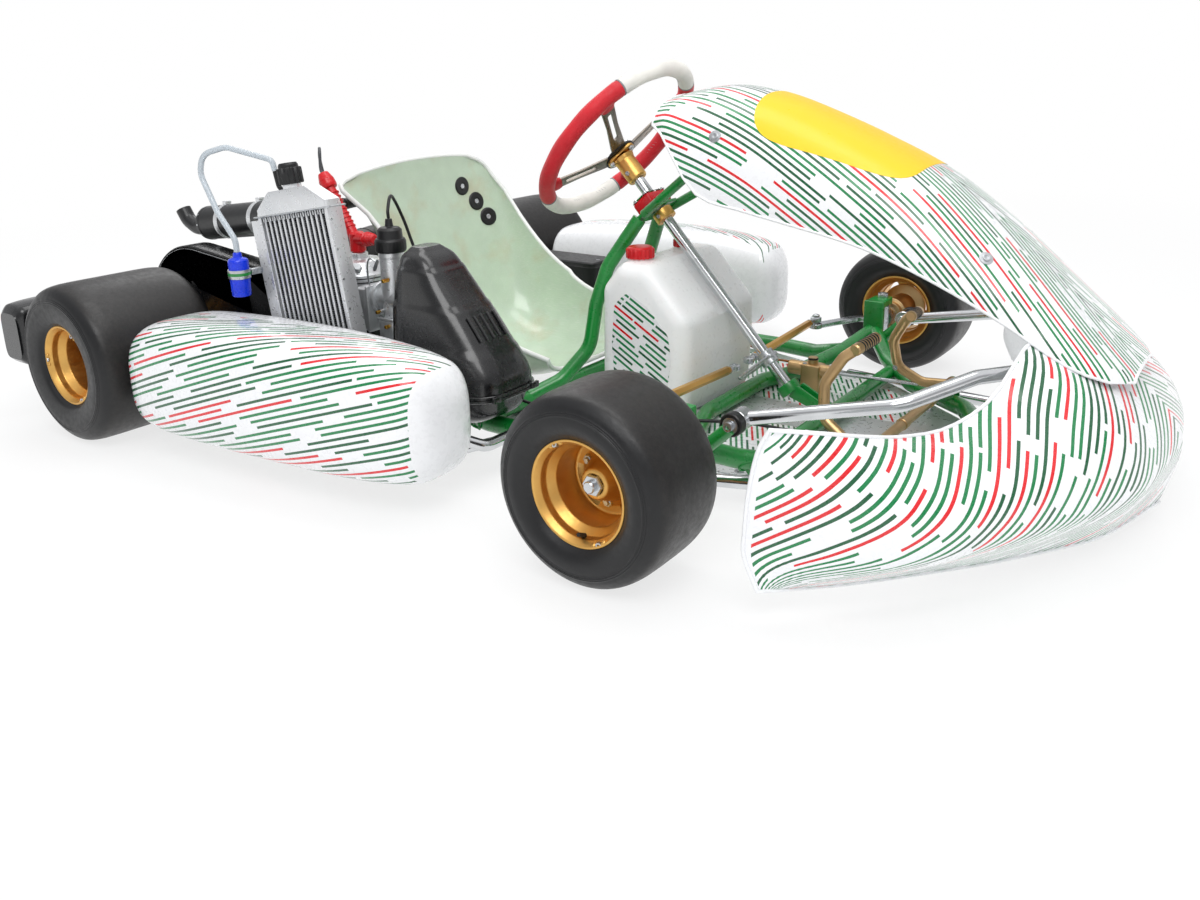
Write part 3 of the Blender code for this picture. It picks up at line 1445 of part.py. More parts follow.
def exhaust_chamber():
    """Expansion chamber that loops behind the seat and comes back to the silencer."""
    end, way = exhaust_port()
    route = [
        tuple(end + way * 0.010),
        tuple(end + way * 0.040),
        (-0.520, -0.205, 0.255),
        (-0.585, -0.110, 0.250),
        (-0.612, -0.010, 0.250),
        (-0.606, 0.080, 0.262),
        (-0.578, 0.128, 0.295),
        (-0.545, 0.110, 0.335),
        (-0.520, 0.020, 0.362),
        (-0.500, -0.110, 0.372),
        tuple(SILENCER_INLET + Vector((0.0, 0.020, 0.0))),
    ]
    widths = [0.019, 0.022, 0.034, 0.044, 0.045, 0.036, 0.022, 0.012, 0.011, 0.011, 0.011]
    steps = 2
    points, radii = [], []
    vectors = [Vector(p) for p in route]
    for i in range(len(vectors) - 1):
        before = vectors[max(i - 1, 0)]
        after = vectors[min(i + 2, len(vectors) - 1)]
        for step in range(steps):
            t = step / steps
            a, b = vectors[i], vectors[i + 1]
            tangent_a, tangent_b = (b - before) / 2, (after - a) / 2
            h1, h2 = 2 * t**3 - 3 * t**2 + 1, t**3 - 2 * t**2 + t
            h3, h4 = -2 * t**3 + 3 * t**2, t**3 - t**2
            points.append(a * h1 + tangent_a * h2 + b * h3 + tangent_b * h4)
            radii.append((widths[i] + (widths[i + 1] - widths[i]) * t) / widths[0])
    points = [end + way * GAP] + points + [vectors[-1], SILENCER_INLET]
    radii = [1.0] + radii + [widths[-1] / widths[0]] * 2
    body = tube(points, widths[0], 0.0, 2, radii)
    return place(smooth(body), "exhaust_chamber", steel())


def silencer():
    """Black silencer can with its inlet bend and turned-up outlet."""
    front = Vector((-0.520, -0.300, 0.360))
    rear = Vector((-0.775, -0.300, 0.328))
    can = rod(front, rear, 0.034, 12)
    start = SILENCER_INLET - Vector((0.0, GAP, 0.0))
    bend = [tuple(start), (start.x, -0.290, start.z - 0.001), (-0.530, -0.300, 0.359)]
    inlet = tube(bend, 0.0108, 0.03)
    elbow = [
        (-0.765, -0.300, 0.322),
        (-0.812, -0.302, 0.316),
        (-0.838, -0.304, 0.330),
        (-0.850, -0.306, 0.352),
    ]
    outlet = tube(elbow, 0.0150, 0.03)
    return place(smooth(unite(can, [inlet, outlet])), "silencer", black_plastic())


def battery_box():
    """Ignition battery box on the left rail."""
    low = FRAME_Z + TUBE_R + GAP
    body = box((0.190, 0.080, 0.118), (-0.325, 0.305, low + 0.059), bevel=0.006)
    lid = box((0.196, 0.086, 0.012), (-0.325, 0.305, low + 0.118), bevel=0.003)
    return place(smooth(unite(body, [lid])), "battery_box", black_plastic())


# Controls


def pedal(name, side):
    """Bent bar pedal with its pivot sleeve and foot peg."""
    pivot = Vector((PEDAL_X, PEDAL_Y * side, PEDAL_Z))
    inward = -side
    arm = [
        (-0.002, 0.0, 0.0),
        (-0.048, 0.0, -0.004),
        (-0.088, 0.010 * inward, 0.020),
        (-0.094, 0.022 * inward, 0.070),
        (-0.070, 0.032 * inward, 0.112),
        (-0.050, 0.040 * inward, 0.128),
    ]
    bar = tube([pivot + Vector(p) for p in arm], 0.0085, 0.03)
    peg_in = pivot + Vector((-0.052, 0.028 * inward, 0.126))
    peg = rod(peg_in, pivot + Vector((-0.044, 0.092 * inward, 0.132)), 0.009, 8)
    half = 0.0135 - GAP
    sleeve = rod(pivot - Vector((0, half, 0)), pivot + Vector((0, half, 0)), 0.0105, 8)
    body = unite(bar, [peg, sleeve])
    bore = rod(pivot - Vector((0, 0.03, 0)), pivot + Vector((0, 0.03, 0)), bore_for(PEDAL_PIN_R, 8), 8)
    return place(smooth(cut(body, [bore])), name, bronze_anodised())


def pump_block(name, x, y):
    """Machined block with its barrel, on the floor tray."""
    low = FRAME_Z - TUBE_R
    block = box((0.036, 0.030, 0.052), (x, y, low + 0.026))
    barrel = rod((x - 0.045, y, low + 0.040), (x + 0.040, y, low + 0.040), 0.013, 12)
    neck = rod((x, y, low + 0.050), (x, y, low + 0.064), 0.009, 10)
    return place(smooth(unite(block, [barrel, neck])), name, bronze_anodised())


# Driver and bodywork


def seat_row(station):
    """Points across the seat's shell at one station, drawn up at both sides."""
    x, z, half_width, depth, tilt = station
    up = Vector((math.sin(math.radians(tilt)), 0.0, math.cos(math.radians(tilt))))
    full = math.sin(0.48 * math.pi)
    row = []
    for i in range(SEAT_ACROSS + 1):
        v = -1 + 2 * i / SEAT_ACROSS
        spread = math.sin(v * 0.48 * math.pi) / full
        row.append(Vector((x, half_width * spread, z)) + up * depth * abs(v) ** 3.2)
    return row


def seat_side_y():
    """How far out the seat's side reaches at the highest touching point of the chassis's post."""
    edge = SEAT_POST_R * math.sqrt(0.5)
    height = SEAT_POST_Z + edge
    crossings = []
    for station in SEAT_STATIONS:
        inner, outer = seat_row(station)[-2:]
        if inner.z < height < outer.z:
            spot = inner.lerp(outer, (height - inner.z) / (outer.z - inner.z))
            crossings.append((spot.x, spot.y))
    return between(sorted(crossings), SEAT_POST_X - edge)


def seat():
    """Moulded bucket seat with drawn-up sides and a rolled-out top edge."""
    rows = [seat_row(station) for station in SEAT_STATIONS]
    body = thicken(sheet(rows), SEAT_WALL, 1.0)
    return place(smooth(body), "seat", finish("seat_fibreglass", (0.55, 0.68, 0.53), 0.25))


def fuel_tank():
    """Blow-moulded tank between the driver's legs, with a channel for the column."""
    low = FRAME_Z - TUBE_R
    outline = [
        (0.062, low), (0.236, low), (0.246, 0.060), (0.250, 0.130), (0.298, 0.158), (0.308, 0.205),
        (0.285, 0.258), (0.240, 0.293), (0.180, 0.304), (0.100, 0.300), (0.068, 0.268),
    ]
    body = plate(outline, 0.250, side_plane(0.0))
    round_edges = body.modifiers.new("rounding", "BEVEL")
    round_edges.width = 0.012
    round_edges.segments = 1
    round_edges.limit_method = "ANGLE"
    round_edges.angle_limit = math.radians(50)
    body = bake(body)
    channel = box((0.300, 0.048, 0.900), (0.0, 0.0, 0.0))
    clear_of_column = on_column(0.2) + column_front() * (0.150 - COLUMN_R - 0.008)
    channel.matrix_world = axis_matrix(clear_of_column, column_axis(), (0.0, 1.0, 0.0))
    necks = [
        rod((*FILLER, 0.285), (*FILLER, FILLER_TOP), 0.019, 12),
        rod((0.128, 0.046, 0.285), (0.128, 0.046, 0.322), 0.0150, 10),
    ]
    body = cut(body, [channel])
    return place(smooth(unite(body, necks)), "fuel_tank", white_plastic())


def fuel_cap():
    """Ribbed red filler cap."""
    centre = FILLER
    low = FILLER_TOP + GAP
    outline = []
    ribs = 10
    for rib in range(ribs * 2):
        radius = 0.0245 if rib % 2 else 0.0232
        angle = math.pi * rib / ribs
        outline.append((radius * math.cos(angle), radius * math.sin(angle)))
    body = plate(outline, 0.016, Matrix.Translation((*centre, low + 0.008)))
    top = rod((*centre, low + 0.010), (*centre, low + 0.019), 0.0215, 10, 0.0195)
    return place(smooth(unite(body, [top])), "fuel_cap", red_plastic())


def panel_point(x, v):
    """Point of the panel's outer face, v running from -1 at its right edge to 1 at its left."""
    ridge, edge, half = between(PANEL_RIDGE, x), between(PANEL_EDGE, x), between(PANEL_HALF, x)
    spread = math.sin(v * 0.45 * math.pi) / math.sin(0.45 * math.pi)
    return Vector((x, half * spread, ridge + (edge - ridge) * abs(v) ** 2.4))


def panel_bolt():
    """Where the chassis arm meets the panel's inner face on the left, and the outward normal."""
    rows = [x for x in PANEL_ROWS if x <= PANEL_BOLT_X][-1:] + [x for x in PANEL_ROWS if x > PANEL_BOLT_X][:1]
    in_v, out_v = 1 - 2 / PANEL_ACROSS, 1.0
    a, b = panel_point(rows[0], in_v), panel_point(rows[0], out_v)
    c, d = panel_point(rows[1], in_v), panel_point(rows[1], out_v)
    along = (PANEL_BOLT_X - rows[0]) / (rows[1] - rows[0])
    spot = a.lerp(b, PANEL_BOLT_SHARE).lerp(c.lerp(d, PANEL_BOLT_SHARE), along)
    normal = (d - a).cross(b - c).normalized()
    if normal.y < 0:
        normal = -normal
    return spot - normal * (SHELL_WALL + 2 * GAP), normal


def front_panel():
    """Number panel: a long shield that falls from the steering wheel to the nose."""
    shares = [-1 + 2 * i / PANEL_ACROSS for i in range(PANEL_ACROSS + 1)]
    rows = [[panel_point(x, v) for v in shares] for x in PANEL_ROWS]
    body = thicken(sheet(rows), SHELL_WALL, 1.0)
    return place(smooth(body), "front_panel", white_plastic())


NOSE_Y = (0.0, 0.16, 0.24, 0.32, 0.40, 0.47, 0.52, 0.550)
# Nose sections from its upper edge to its lower lip: at each distance of NOSE_Y, x and z
NOSE_SECTIONS = (
    (
        (0.772, 0.262), (0.770, 0.262), (0.755, 0.215), (0.728, 0.196), (0.700, 0.204),
        (0.676, 0.222), (0.648, 0.236), (0.602, 0.240),
    ),
    (
        (0.845, 0.228), (0.835, 0.226), (0.812, 0.200), (0.785, 0.184), (0.752, 0.184),
        (0.722, 0.190), (0.672, 0.202), (0.588, 0.210),
    ),
    (
        (0.902, 0.186), (0.890, 0.180), (0.866, 0.168), (0.836, 0.156), (0.802, 0.150),
        (0.762, 0.150), (0.700, 0.156), (0.578, 0.160),
    ),
    (
        (0.9405, 0.140), (0.9210, 0.136), (0.892, 0.128), (0.856, 0.120), (0.815, 0.116),
        (0.768, 0.114), (0.700, 0.112), (0.574, 0.112),
    ),
    (
        (0.9475, 0.100), (0.9260, 0.096), (0.892, 0.090), (0.850, 0.086), (0.800, 0.084),
        (0.748, 0.082), (0.682, 0.080), (0.574, 0.080),
    ),
    (
        (0.9300, 0.026), (0.8840, 0.026), (0.838, 0.028), (0.784, 0.030), (0.722, 0.032),
        (0.664, 0.034), (0.616, 0.036), (0.592, 0.040),
    ),
)


def nose_cone():
    """Wrap-round nose fairing: sloping top, crease, belly and tucked-in lower lip."""
    half_rows = [[(x, y, z) for x, z in cut_at] for y, cut_at in zip(NOSE_Y, zip(*NOSE_SECTIONS))]
    left = [[(x, y, z) for x, y, z in row] for row in reversed(half_rows)]
    right = [[(x, -y, z) for x, y, z in row] for row in half_rows[1:]]
    body = thicken(sheet(left + right), SHELL_WALL, 1.0)
    clamps = [box((0.026, 0.030, 0.030), (0.802, y, 0.234)) for y in (-0.055, 0.055)]
    body = cut(unite(body, clamps), [bumper_bar(BUMPER_BAR_R + GAP)])
    return place(smooth(body), "nose_cone", white_plastic())


def side_pod(name, side):
    """Blow-moulded side pod, hollow, with the mounting recess in its inner wall."""
    inner = POD_INNER_Y
    rear_x = pod_rear_x()
    stations = [
        (rear_x, 0.640, 0.060, 0.205, 0.022),
        (rear_x + 0.020, 0.660, 0.044, 0.226, 0.004),
        (rear_x + 0.120, 0.664, 0.038, 0.240, 0.0),
        (-0.200, 0.648, 0.038, 0.247, 0.0),
        (-0.040, 0.626, 0.040, 0.243, 0.0),
        (0.060, 0.602, 0.050, 0.228, 0.0),
        (0.115, 0.572, 0.072, 0.200, 0.006),
        (0.140, 0.540, 0.100, 0.168, 0.022),
    ]
    rings = []
    for x, outer, low, high, inset in stations:
        y1, y2 = inner + inset, outer
        ring = superellipse((y2 - y1) / 2, (high - low) / 2, 3.2, 12, math.pi / 12)
        rings.append([(x, ((y1 + y2) / 2 + dy) * side, (low + high) / 2 + dz) for dy, dz in ring])
    body = loft(rings)
    wall = body.modifiers.new("wall", "SOLIDIFY")
    wall.thickness = SHELL_WALL
    wall.offset = -1.0
    body = bake_hollow(body)
    recess = plate(
        arc((-0.020, 0.150), 0.034, -90, 90, 4) + arc((-0.110, 0.150), 0.034, 90, 270, 4),
        0.030,
        side_plane(inner * side),
    )
    return place(smooth(cut(body, [recess])), name, white_plastic())


def bake_hollow(obj):
    """Applies a wall to a closed skin, keeping the inner skin's faces turned to the hollow."""
    bpy.context.view_layer.update()
    graph = bpy.context.evaluated_depsgraph_get()
    mesh = bpy.data.meshes.new_from_object(obj.evaluated_get(graph))
    baked = from_mesh(mesh, obj.matrix_world.copy())
    bpy.data.objects.remove(obj, do_unlink=True)
    return baked


def axis_empty(name, location):
    """Empty on a joint's axis, for the moving pieces to hang from."""
    empty = bpy.data.objects.new(name, None)
    empty.empty_display_size = 0.05
    empty.location = location
    collection("racing_kart").objects.link(empty)
    return empty


def hang(empty, names):
    """Parents the named pieces to the empty, each with its origin there, without moving them."""
    bpy.context.view_layer.update()
    for name in names:
        piece = bpy.data.objects[name]
        shift = empty.matrix_world.inverted() @ piece.matrix_world
        piece.data.transform(shift)
        piece.matrix_world = Matrix.Identity(4)
        piece.parent = empty


def hang_moving_pieces():
    for label, side in SIDES:
        stub = axis_empty(f"front_wheel_{label}_axis", (FRONT_AXLE_X, KINGPIN_Y * side, FRONT_TYRE_R))
        hang(stub, [f"spindle_{label}", f"front_hub_{label}", f"front_rim_{label}", f"front_tyre_{label}"])
        end = axis_empty(f"tie_rod_{label}_axis", mirrored(ARM_END, side))
        hang(end, [f"tie_rod_{label}"])
    axle = axis_empty("rear_axle_axis", (REAR_AXLE_X, 0.0, REAR_TYRE_R))
    turning = ["rear_axle", "brake_disc", "axle_sprocket"]
    turning += [f"rear_{piece}_{label}" for piece in ("hub", "rim", "tyre") for label, _ in SIDES]
    hang(axle, turning)
    hang(axis_empty("engine_sprocket_axis", OUTPUT_SHAFT), ["engine_sprocket"])
    hang(axis_empty("steering_axis", COLUMN_FOOT), ["steering_column", "steering_boss", "steering_wheel"])
    hang(axis_empty("throttle_axis", (PEDAL_X, -PEDAL_Y, PEDAL_Z)), ["throttle_pedal"])
    hang(axis_empty("brake_axis", (PEDAL_X, PEDAL_Y, PEDAL_Z)), ["brake_pedal"])


def main():
    clear_scene()
    frame()
    floor_tray()
    rear_bumper()
    front_bumper()
    wheels()
    for label, side in SIDES:
        side_bar(f"side_bar_{label}", side)
        spindle(f"spindle_{label}", side)
        tie_rod(f"tie_rod_{label}", side)
        bearing_carrier(f"bearing_carrier_{label}", side)
        side_pod(f"side_pod_{label}", side)
    steering_column()
    steering_boss()
    steering_wheel()
    column_bush()
    rear_axle()
    brake_disc()
    brake_caliper()
    axle_sprocket()
    engine_sprocket()
    drive_chain()
    chain_guard()
    engine_mount()
    crankcase()
    cylinder()
    spark_plug_cap()
    carburettor()
    airbox()
    airbox_tray()
    radiator()
    radiator_cap()
    overflow_hose()
    overflow_bottle()
    coolant_hose()
    exhaust_chamber()
    silencer()
    battery_box()
    pedal("throttle_pedal", RIGHT)
    pedal("brake_pedal", LEFT)
    pump_block("brake_pump", 0.350, 0.135)
    seat()
    fuel_tank()
    fuel_cap()
    front_panel()
    nose_cone()
    hang_moving_pieces()


main()
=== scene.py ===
"""Visual model of a racing go-kart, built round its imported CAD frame.

Metres, +X forwards, +Y to the driver's left, +Z up. The four tyres stand on z = 0.
"""

import math

import bmesh
import bpy
from mathutils import Matrix, Vector


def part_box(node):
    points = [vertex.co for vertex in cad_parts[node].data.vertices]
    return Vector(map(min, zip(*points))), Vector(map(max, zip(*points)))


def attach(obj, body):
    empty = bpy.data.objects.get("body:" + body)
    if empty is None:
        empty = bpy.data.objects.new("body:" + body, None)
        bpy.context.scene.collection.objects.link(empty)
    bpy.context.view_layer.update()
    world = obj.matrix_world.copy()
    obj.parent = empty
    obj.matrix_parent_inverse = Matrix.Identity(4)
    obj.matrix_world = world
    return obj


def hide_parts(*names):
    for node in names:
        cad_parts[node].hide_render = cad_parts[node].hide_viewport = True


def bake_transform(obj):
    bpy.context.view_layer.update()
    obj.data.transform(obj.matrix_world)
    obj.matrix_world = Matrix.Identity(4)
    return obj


bl_info = {
    "name": "Racing go-kart",
    "version": (1, 0, 0),
    "blender": (4, 5, 0),
    "location": "3D view, sidebar, Kart tab",
    "description": "Builds the finished surfaces of a racing go-kart round its CAD frame",
    "category": "Add Mesh",
}

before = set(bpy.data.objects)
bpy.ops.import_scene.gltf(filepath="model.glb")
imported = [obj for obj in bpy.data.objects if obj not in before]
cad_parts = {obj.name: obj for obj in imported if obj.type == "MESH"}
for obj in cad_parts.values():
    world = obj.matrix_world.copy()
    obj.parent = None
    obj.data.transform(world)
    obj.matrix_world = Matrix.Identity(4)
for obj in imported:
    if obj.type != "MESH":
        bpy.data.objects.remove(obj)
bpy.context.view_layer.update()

# Layout, as in the CAD
LEFT, RIGHT = 1, -1
SIDES = (("left", LEFT), ("right", RIGHT))
GAP = 0.0003
FRONT_AXLE_X, REAR_AXLE_X = 0.375, -0.675
HALF_LENGTH = 0.9475
FRONT_TYRE_R, REAR_TYRE_R = 0.128, 0.140
LIP_R, BEAD_R, WELL_R, RIM_WALL = 0.0704, 0.0645, 0.056, 0.0032
FRONT_RIM_IN, FRONT_RIM_WIDTH = 0.475, 0.130
REAR_RIM_IN, REAR_RIM_WIDTH = 0.464, 0.212
TYRE_BULGE = 0.011
TUBE_R, CROSS_R, FRAME_Z = 0.015, 0.014, 0.062
RAIL_Y, RAIL_WIDE_Y, BEND_R = 0.300, 0.335, 0.060
BUMPER_DEPTH, BUMPER_BAR_R = 0.078, 0.010
LUG, LUG_Y, LUG_LENGTH = (0.448, 0.153), 0.338, 0.016
TRAY_THICK = 0.003
KINGPIN_Y, KINGPIN_R, BARREL_R, BARREL_HEIGHT = 0.400, 0.0048, 0.014, 0.056
YOKE_GAP, YOKE_JAW, YOKE_Z = 0.062, 0.012, 0.128
KINGPIN_FOOT, KINGPIN_TOP = 0.0790, 0.1790
STUB_R, STUB_END_Y = 0.0125, 0.592
COLUMN_RAKE, COLUMN_R, COLUMN_LENGTH = math.radians(48.0), 0.010, 0.500
COLUMN_FOOT = Vector((0.368, 0.0, 0.0935))
HEAD_AT = 0.385
WHEEL_RIM_R, WHEEL_GRIP_R, WHEEL_LEAN = 0.159, 0.014, math.radians(40.0)
WHEEL_DISH, WHEEL_RISE, SPOKE_THICK, FLANGE_THICK = 0.020, 0.016, 0.0045, 0.005
BOLT_CIRCLE_R = 0.0245
ARM_END = Vector((0.280, 0.300, 0.122))
ROD_R, ROD_LIFT, ROD_INSET = 0.0075, 0.013, 0.0145
PITMAN_REACH, PITMAN_AT, PITMAN_HALF = 0.046, 0.062, 0.026
AXLE_R, AXLE_LENGTH = 0.025, 1.060
DISC_Y, DISC_R, DISC_THICK = 0.215, 0.095, 0.012
CHAIN_PITCH, CHAIN_Y, AXLE_TEETH, ENGINE_TEETH = 0.0127, -0.385, 25, 17
SPROCKET_THICK = 0.0042
OUTPUT_SHAFT = Vector((-0.360, CHAIN_Y, 0.130))
ENGINE_PLATE_TOP, ENGINE_PLATE_Y, ENGINE_PLATE_WIDTH = 0.095, -0.300, 0.120
CRANKCASE_HEIGHT, CYLINDER_HEIGHT = 0.100, 0.1135
CYLINDER_AT = Vector((-0.335, -0.298, 0.0))
COVER_FOOT_Y = -0.290
CARB_X, CARB_Y, CARB_REACH, CARB_BORE_Z = -0.205, -0.340, 0.034, 0.248
AIRBOX_Y, PUMP_SPIGOT_X = -0.352, -0.238
RADIATOR_HEIGHT, RADIATOR_WIDTH, RADIATOR_DEPTH = 0.280, 0.190, 0.030
NECK_X, NECK_RISE = -0.016, 0.045
SILENCER_INLET = Vector((-0.488, -0.220, 0.371))
PEDAL_X, PEDAL_Y, PEDAL_Z, PEDAL_PIN_R = 0.585, 0.165, 0.092, 0.005
EAR_OFFSET, EAR_THICK = 0.0155, 0.004
PUMP_X, PUMP_Y = 0.350, 0.135
SEAT_POST_X, SEAT_POST_Z, SEAT_POST_R = -0.195, 0.150, 0.009
FILLER, VENT, FILLER_TOP = (0.122, -0.078), (0.128, 0.046), 0.306
SHELL_WALL, SHELL_EDGE, SEAT_WALL, SEAT_EDGE = 0.003, 0.0008, 0.005, 0.0009
POD_INNER_Y = 0.4645

# Seat shell along its middle line: x, z, half-width, depth of the sides and their tilt in degrees
SEAT_STATIONS = (
    (-0.030, 0.086, 0.150, 0.030, 0.0),
    (-0.080, 0.066, 0.164, 0.066, 3.0),
    (-0.150, 0.051, 0.176, 0.104, 7.0),
    (-0.230, 0.043, 0.187, 0.132, 14.0),
    (-0.305, 0.052, 0.193, 0.154, 28.0),
    (-0.368, 0.096, 0.196, 0.158, 50.0),
    (-0.410, 0.175, 0.196, 0.130, 68.0),
    (-0.435, 0.265, 0.195, 0.085, 79.0),
    (-0.452, 0.355, 0.187, 0.042, 86.0),
    (-0.456, 0.412, 0.160, 0.014, 92.0),
    (-0.455, 0.443, 0.110, 0.003, 96.0),
)

# Number panel: ridge height, edge height and half-width along its length
PANEL_RIDGE = (
    (0.170, 0.572), (0.220, 0.584), (0.268, 0.588), (0.340, 0.576), (0.404, 0.555), (0.500, 0.516),
    (0.602, 0.466), (0.690, 0.402), (0.757, 0.343), (0.829, 0.276), (0.862, 0.246), (0.890, 0.222),
)
PANEL_EDGE = (
    (0.170, 0.530), (0.200, 0.512), (0.240, 0.455), (0.274, 0.424), (0.340, 0.410), (0.404, 0.398),
    (0.534, 0.372), (0.630, 0.338), (0.731, 0.291), (0.811, 0.245), (0.862, 0.222), (0.890, 0.212),
)
PANEL_HALF = (
    (0.170, 0.112), (0.200, 0.128), (0.240, 0.138), (0.400, 0.142), (0.620, 0.146), (0.811, 0.142),
    (0.850, 0.128), (0.878, 0.100), (0.890, 0.070),
)

NOSE_Y = (0.0, 0.16, 0.24, 0.32, 0.40, 0.47, 0.52, 0.550)
# Nose sections from its upper edge to its lower lip: at each distance of NOSE_Y, x and z
NOSE_SECTIONS = (
    (
        (0.772, 0.262), (0.770, 0.262), (0.755, 0.215), (0.728, 0.196), (0.700, 0.204),
        (0.676, 0.222), (0.648, 0.236), (0.602, 0.240),
    ),
    (
        (0.845, 0.228), (0.835, 0.226), (0.812, 0.200), (0.785, 0.184), (0.752, 0.184),
        (0.722, 0.190), (0.672, 0.202), (0.588, 0.210),
    ),
    (
        (0.902, 0.186), (0.890, 0.180), (0.866, 0.168), (0.836, 0.156), (0.802, 0.150),
        (0.762, 0.150), (0.700, 0.156), (0.578, 0.160),
    ),
    (
        (0.9405, 0.140), (0.9210, 0.136), (0.892, 0.128), (0.856, 0.120), (0.815, 0.116),
        (0.768, 0.114), (0.700, 0.112), (0.574, 0.112),
    ),
    (
        (0.9475, 0.100), (0.9260, 0.096), (0.892, 0.090), (0.850, 0.086), (0.800, 0.084),
        (0.748, 0.082), (0.682, 0.080), (0.574, 0.080),
    ),
    (
        (0.9300, 0.026), (0.8840, 0.026), (0.838, 0.028), (0.784, 0.030), (0.722, 0.032),
        (0.664, 0.034), (0.616, 0.036), (0.592, 0.040),
    ),
)

# Side pod along its length: x, outer edge, underside, top and how far the inner wall stands off
POD_STATIONS = (
    (-0.520, 0.640, 0.060, 0.205, 0.022),
    (-0.500, 0.660, 0.044, 0.226, 0.004),
    (-0.400, 0.664, 0.038, 0.240, 0.0),
    (-0.200, 0.648, 0.038, 0.247, 0.0),
    (-0.040, 0.626, 0.040, 0.243, 0.0),
    (0.060, 0.602, 0.050, 0.228, 0.0),
    (0.115, 0.572, 0.072, 0.200, 0.006),
    (0.140, 0.540, 0.100, 0.168, 0.022),
)

# How far the back of a printed sheet is moved along the print map
OFF_PRINT = 9.0

# Sockets of a colour mix
COLOUR_A, COLOUR_B, MIXED_COLOUR = 6, 7, 2


def colour(code):
    """Linear colour of an sRGB hex code."""
    parts = [int(code[start:start + 2], 16) / 255 for start in (1, 3, 5)]
    return (*[c / 12.92 if c <= 0.04045 else ((c + 0.055) / 1.055) ** 2.4 for c in parts], 1.0)


def paint(label, words, code):
    """Colour property with this default."""
    settings = {"subtype": "COLOR", "size": 4, "min": 0.0, "max": 1.0}
    return bpy.props.FloatVectorProperty(name=label, description=words, default=colour(code), **settings)


def length(label, words, metres):
    """Length property with this default."""
    return bpy.props.FloatProperty(name=label, description=words, default=metres, min=0.0, unit="LENGTH")


class KartColours(bpy.types.PropertyGroup):
    """Colours of the kart's finishes."""

    frame_green: paint("Frame green", "Powder coat on the welded tubes", "#058A33")
    body_white: paint("Body white", "Moulded bodywork", "#F5F6F8")
    bar_green: paint("Bar green", "Main colour of the bodywork's bars", "#007F45")
    bar_dark: paint("Dark green", "Second colour of the bodywork's bars", "#0A5A34")
    bar_red: paint("Bar red", "Accent colour of the bodywork's bars", "#E0131F")
    number_yellow: paint("Number yellow", "Bare field on the front panel", "#FFCA0F")
    wheel_gold: paint("Wheel gold", "Anodised rims, boss and tie rods", "#E2B264")
    bronze: paint("Bronze", "Anodised hubs, pedals and brake parts", "#D2B080")
    grip_red: paint("Grip red", "Side quarters of the steering wheel", "#D20F22")
    grip_white: paint("Grip white", "Upper and lower quarters of the steering wheel", "#EFEDE6")
    moulding_red: paint("Moulding red", "Plug cap, tank caps and column block", "#D5101B")
    bottle_blue: paint("Bottle blue", "Coolant catch bottle", "#0B39E6")
    seat_tint: paint("Seat tint", "Clear laminate of the seat", "#CFE2CB")


class KartSizes(bpy.types.PropertyGroup):
    """Sizes of the details that the CAD leaves to the finished surfaces."""

    weld_bead: length("Weld bead", "Radius of a weld bead on the frame", 0.0022)
    bar_pitch: length("Bar pitch", "Distance from one printed bar to the next", 0.0098)
    bar_width: length("Bar width", "Width of one printed bar", 0.0041)
    fin_pitch: length("Fin pitch", "Height of one fold of the radiator's fins", 0.0034)
    bead_screw: length("Bead screw", "Radius of the screws that hold the tyre's bead", 0.0042)
    floor_reach: length("Floor reach", "Half the width of the studio floor", 14.0)


# Points and curves


def column_axis():
    """Unit vector up the steering column."""
    return Vector((-math.cos(COLUMN_RAKE), 0.0, math.sin(COLUMN_RAKE)))


def column_front():
    """Unit vector square to the column, forwards and up."""
    return Vector((math.sin(COLUMN_RAKE), 0.0, math.cos(COLUMN_RAKE)))


def on_column(distance):
    """Point on the column's axis, this far above its foot."""
    return COLUMN_FOOT + column_axis() * distance


def mirrored(point, side):
    return (point[0], point[1] * side, point[2])


def across(points):
    """Route that runs on from the left side to the right side as its mirror image."""
    return list(points) + [mirrored(p, RIGHT) for p in reversed(points)]


def axis_matrix(centre, direction, up=(0.0, 0.0, 1.0)):
    """Matrix whose local Z runs along the direction, with local Y as near up as it can be."""
    z = Vector(direction).normalized()
    reach = Vector(up)
    if abs(z.dot(reach)) > 0.99:
        reach = Vector((1.0, 0.0, 0.0))
    x = reach.cross(z).normalized()
    turned_axes = Matrix((x, z.cross(x), z)).transposed().to_4x4()
    return Matrix.Translation(Vector(centre)) @ turned_axes


def shift(x, y, z):
    return Matrix.Translation((x, y, z))


def side_plane(y):
    """Matrix for a plate drawn in the XZ plane, at this Y."""
    return shift(0.0, y, 0.0) @ Matrix.Rotation(math.pi / 2, 4, "X")


def wheel_matrix(x, z, side):
    """Local Z out along the axle on this side."""
    return shift(x, 0.0, z) @ Matrix.Rotation(-side * math.pi / 2, 4, "X")


def on_circle(matrix, radius, angle, height):
    """Point on a circle round a matrix's local Z, at this height along it."""
    return matrix @ Vector((radius * math.cos(angle), radius * math.sin(angle), height))


def turned_way(matrix, way):
    """Direction in a matrix's own axes, as a direction of the kart."""
    return matrix.to_3x3() @ Vector(way)


def arc(centre, radius, start, end, steps):
    """Points of an arc in the plane, in degrees."""
    angles = [math.radians(start + (end - start) * step / steps) for step in range(steps + 1)]
    return [(centre[0] + radius * math.cos(a), centre[1] + radius * math.sin(a)) for a in angles]


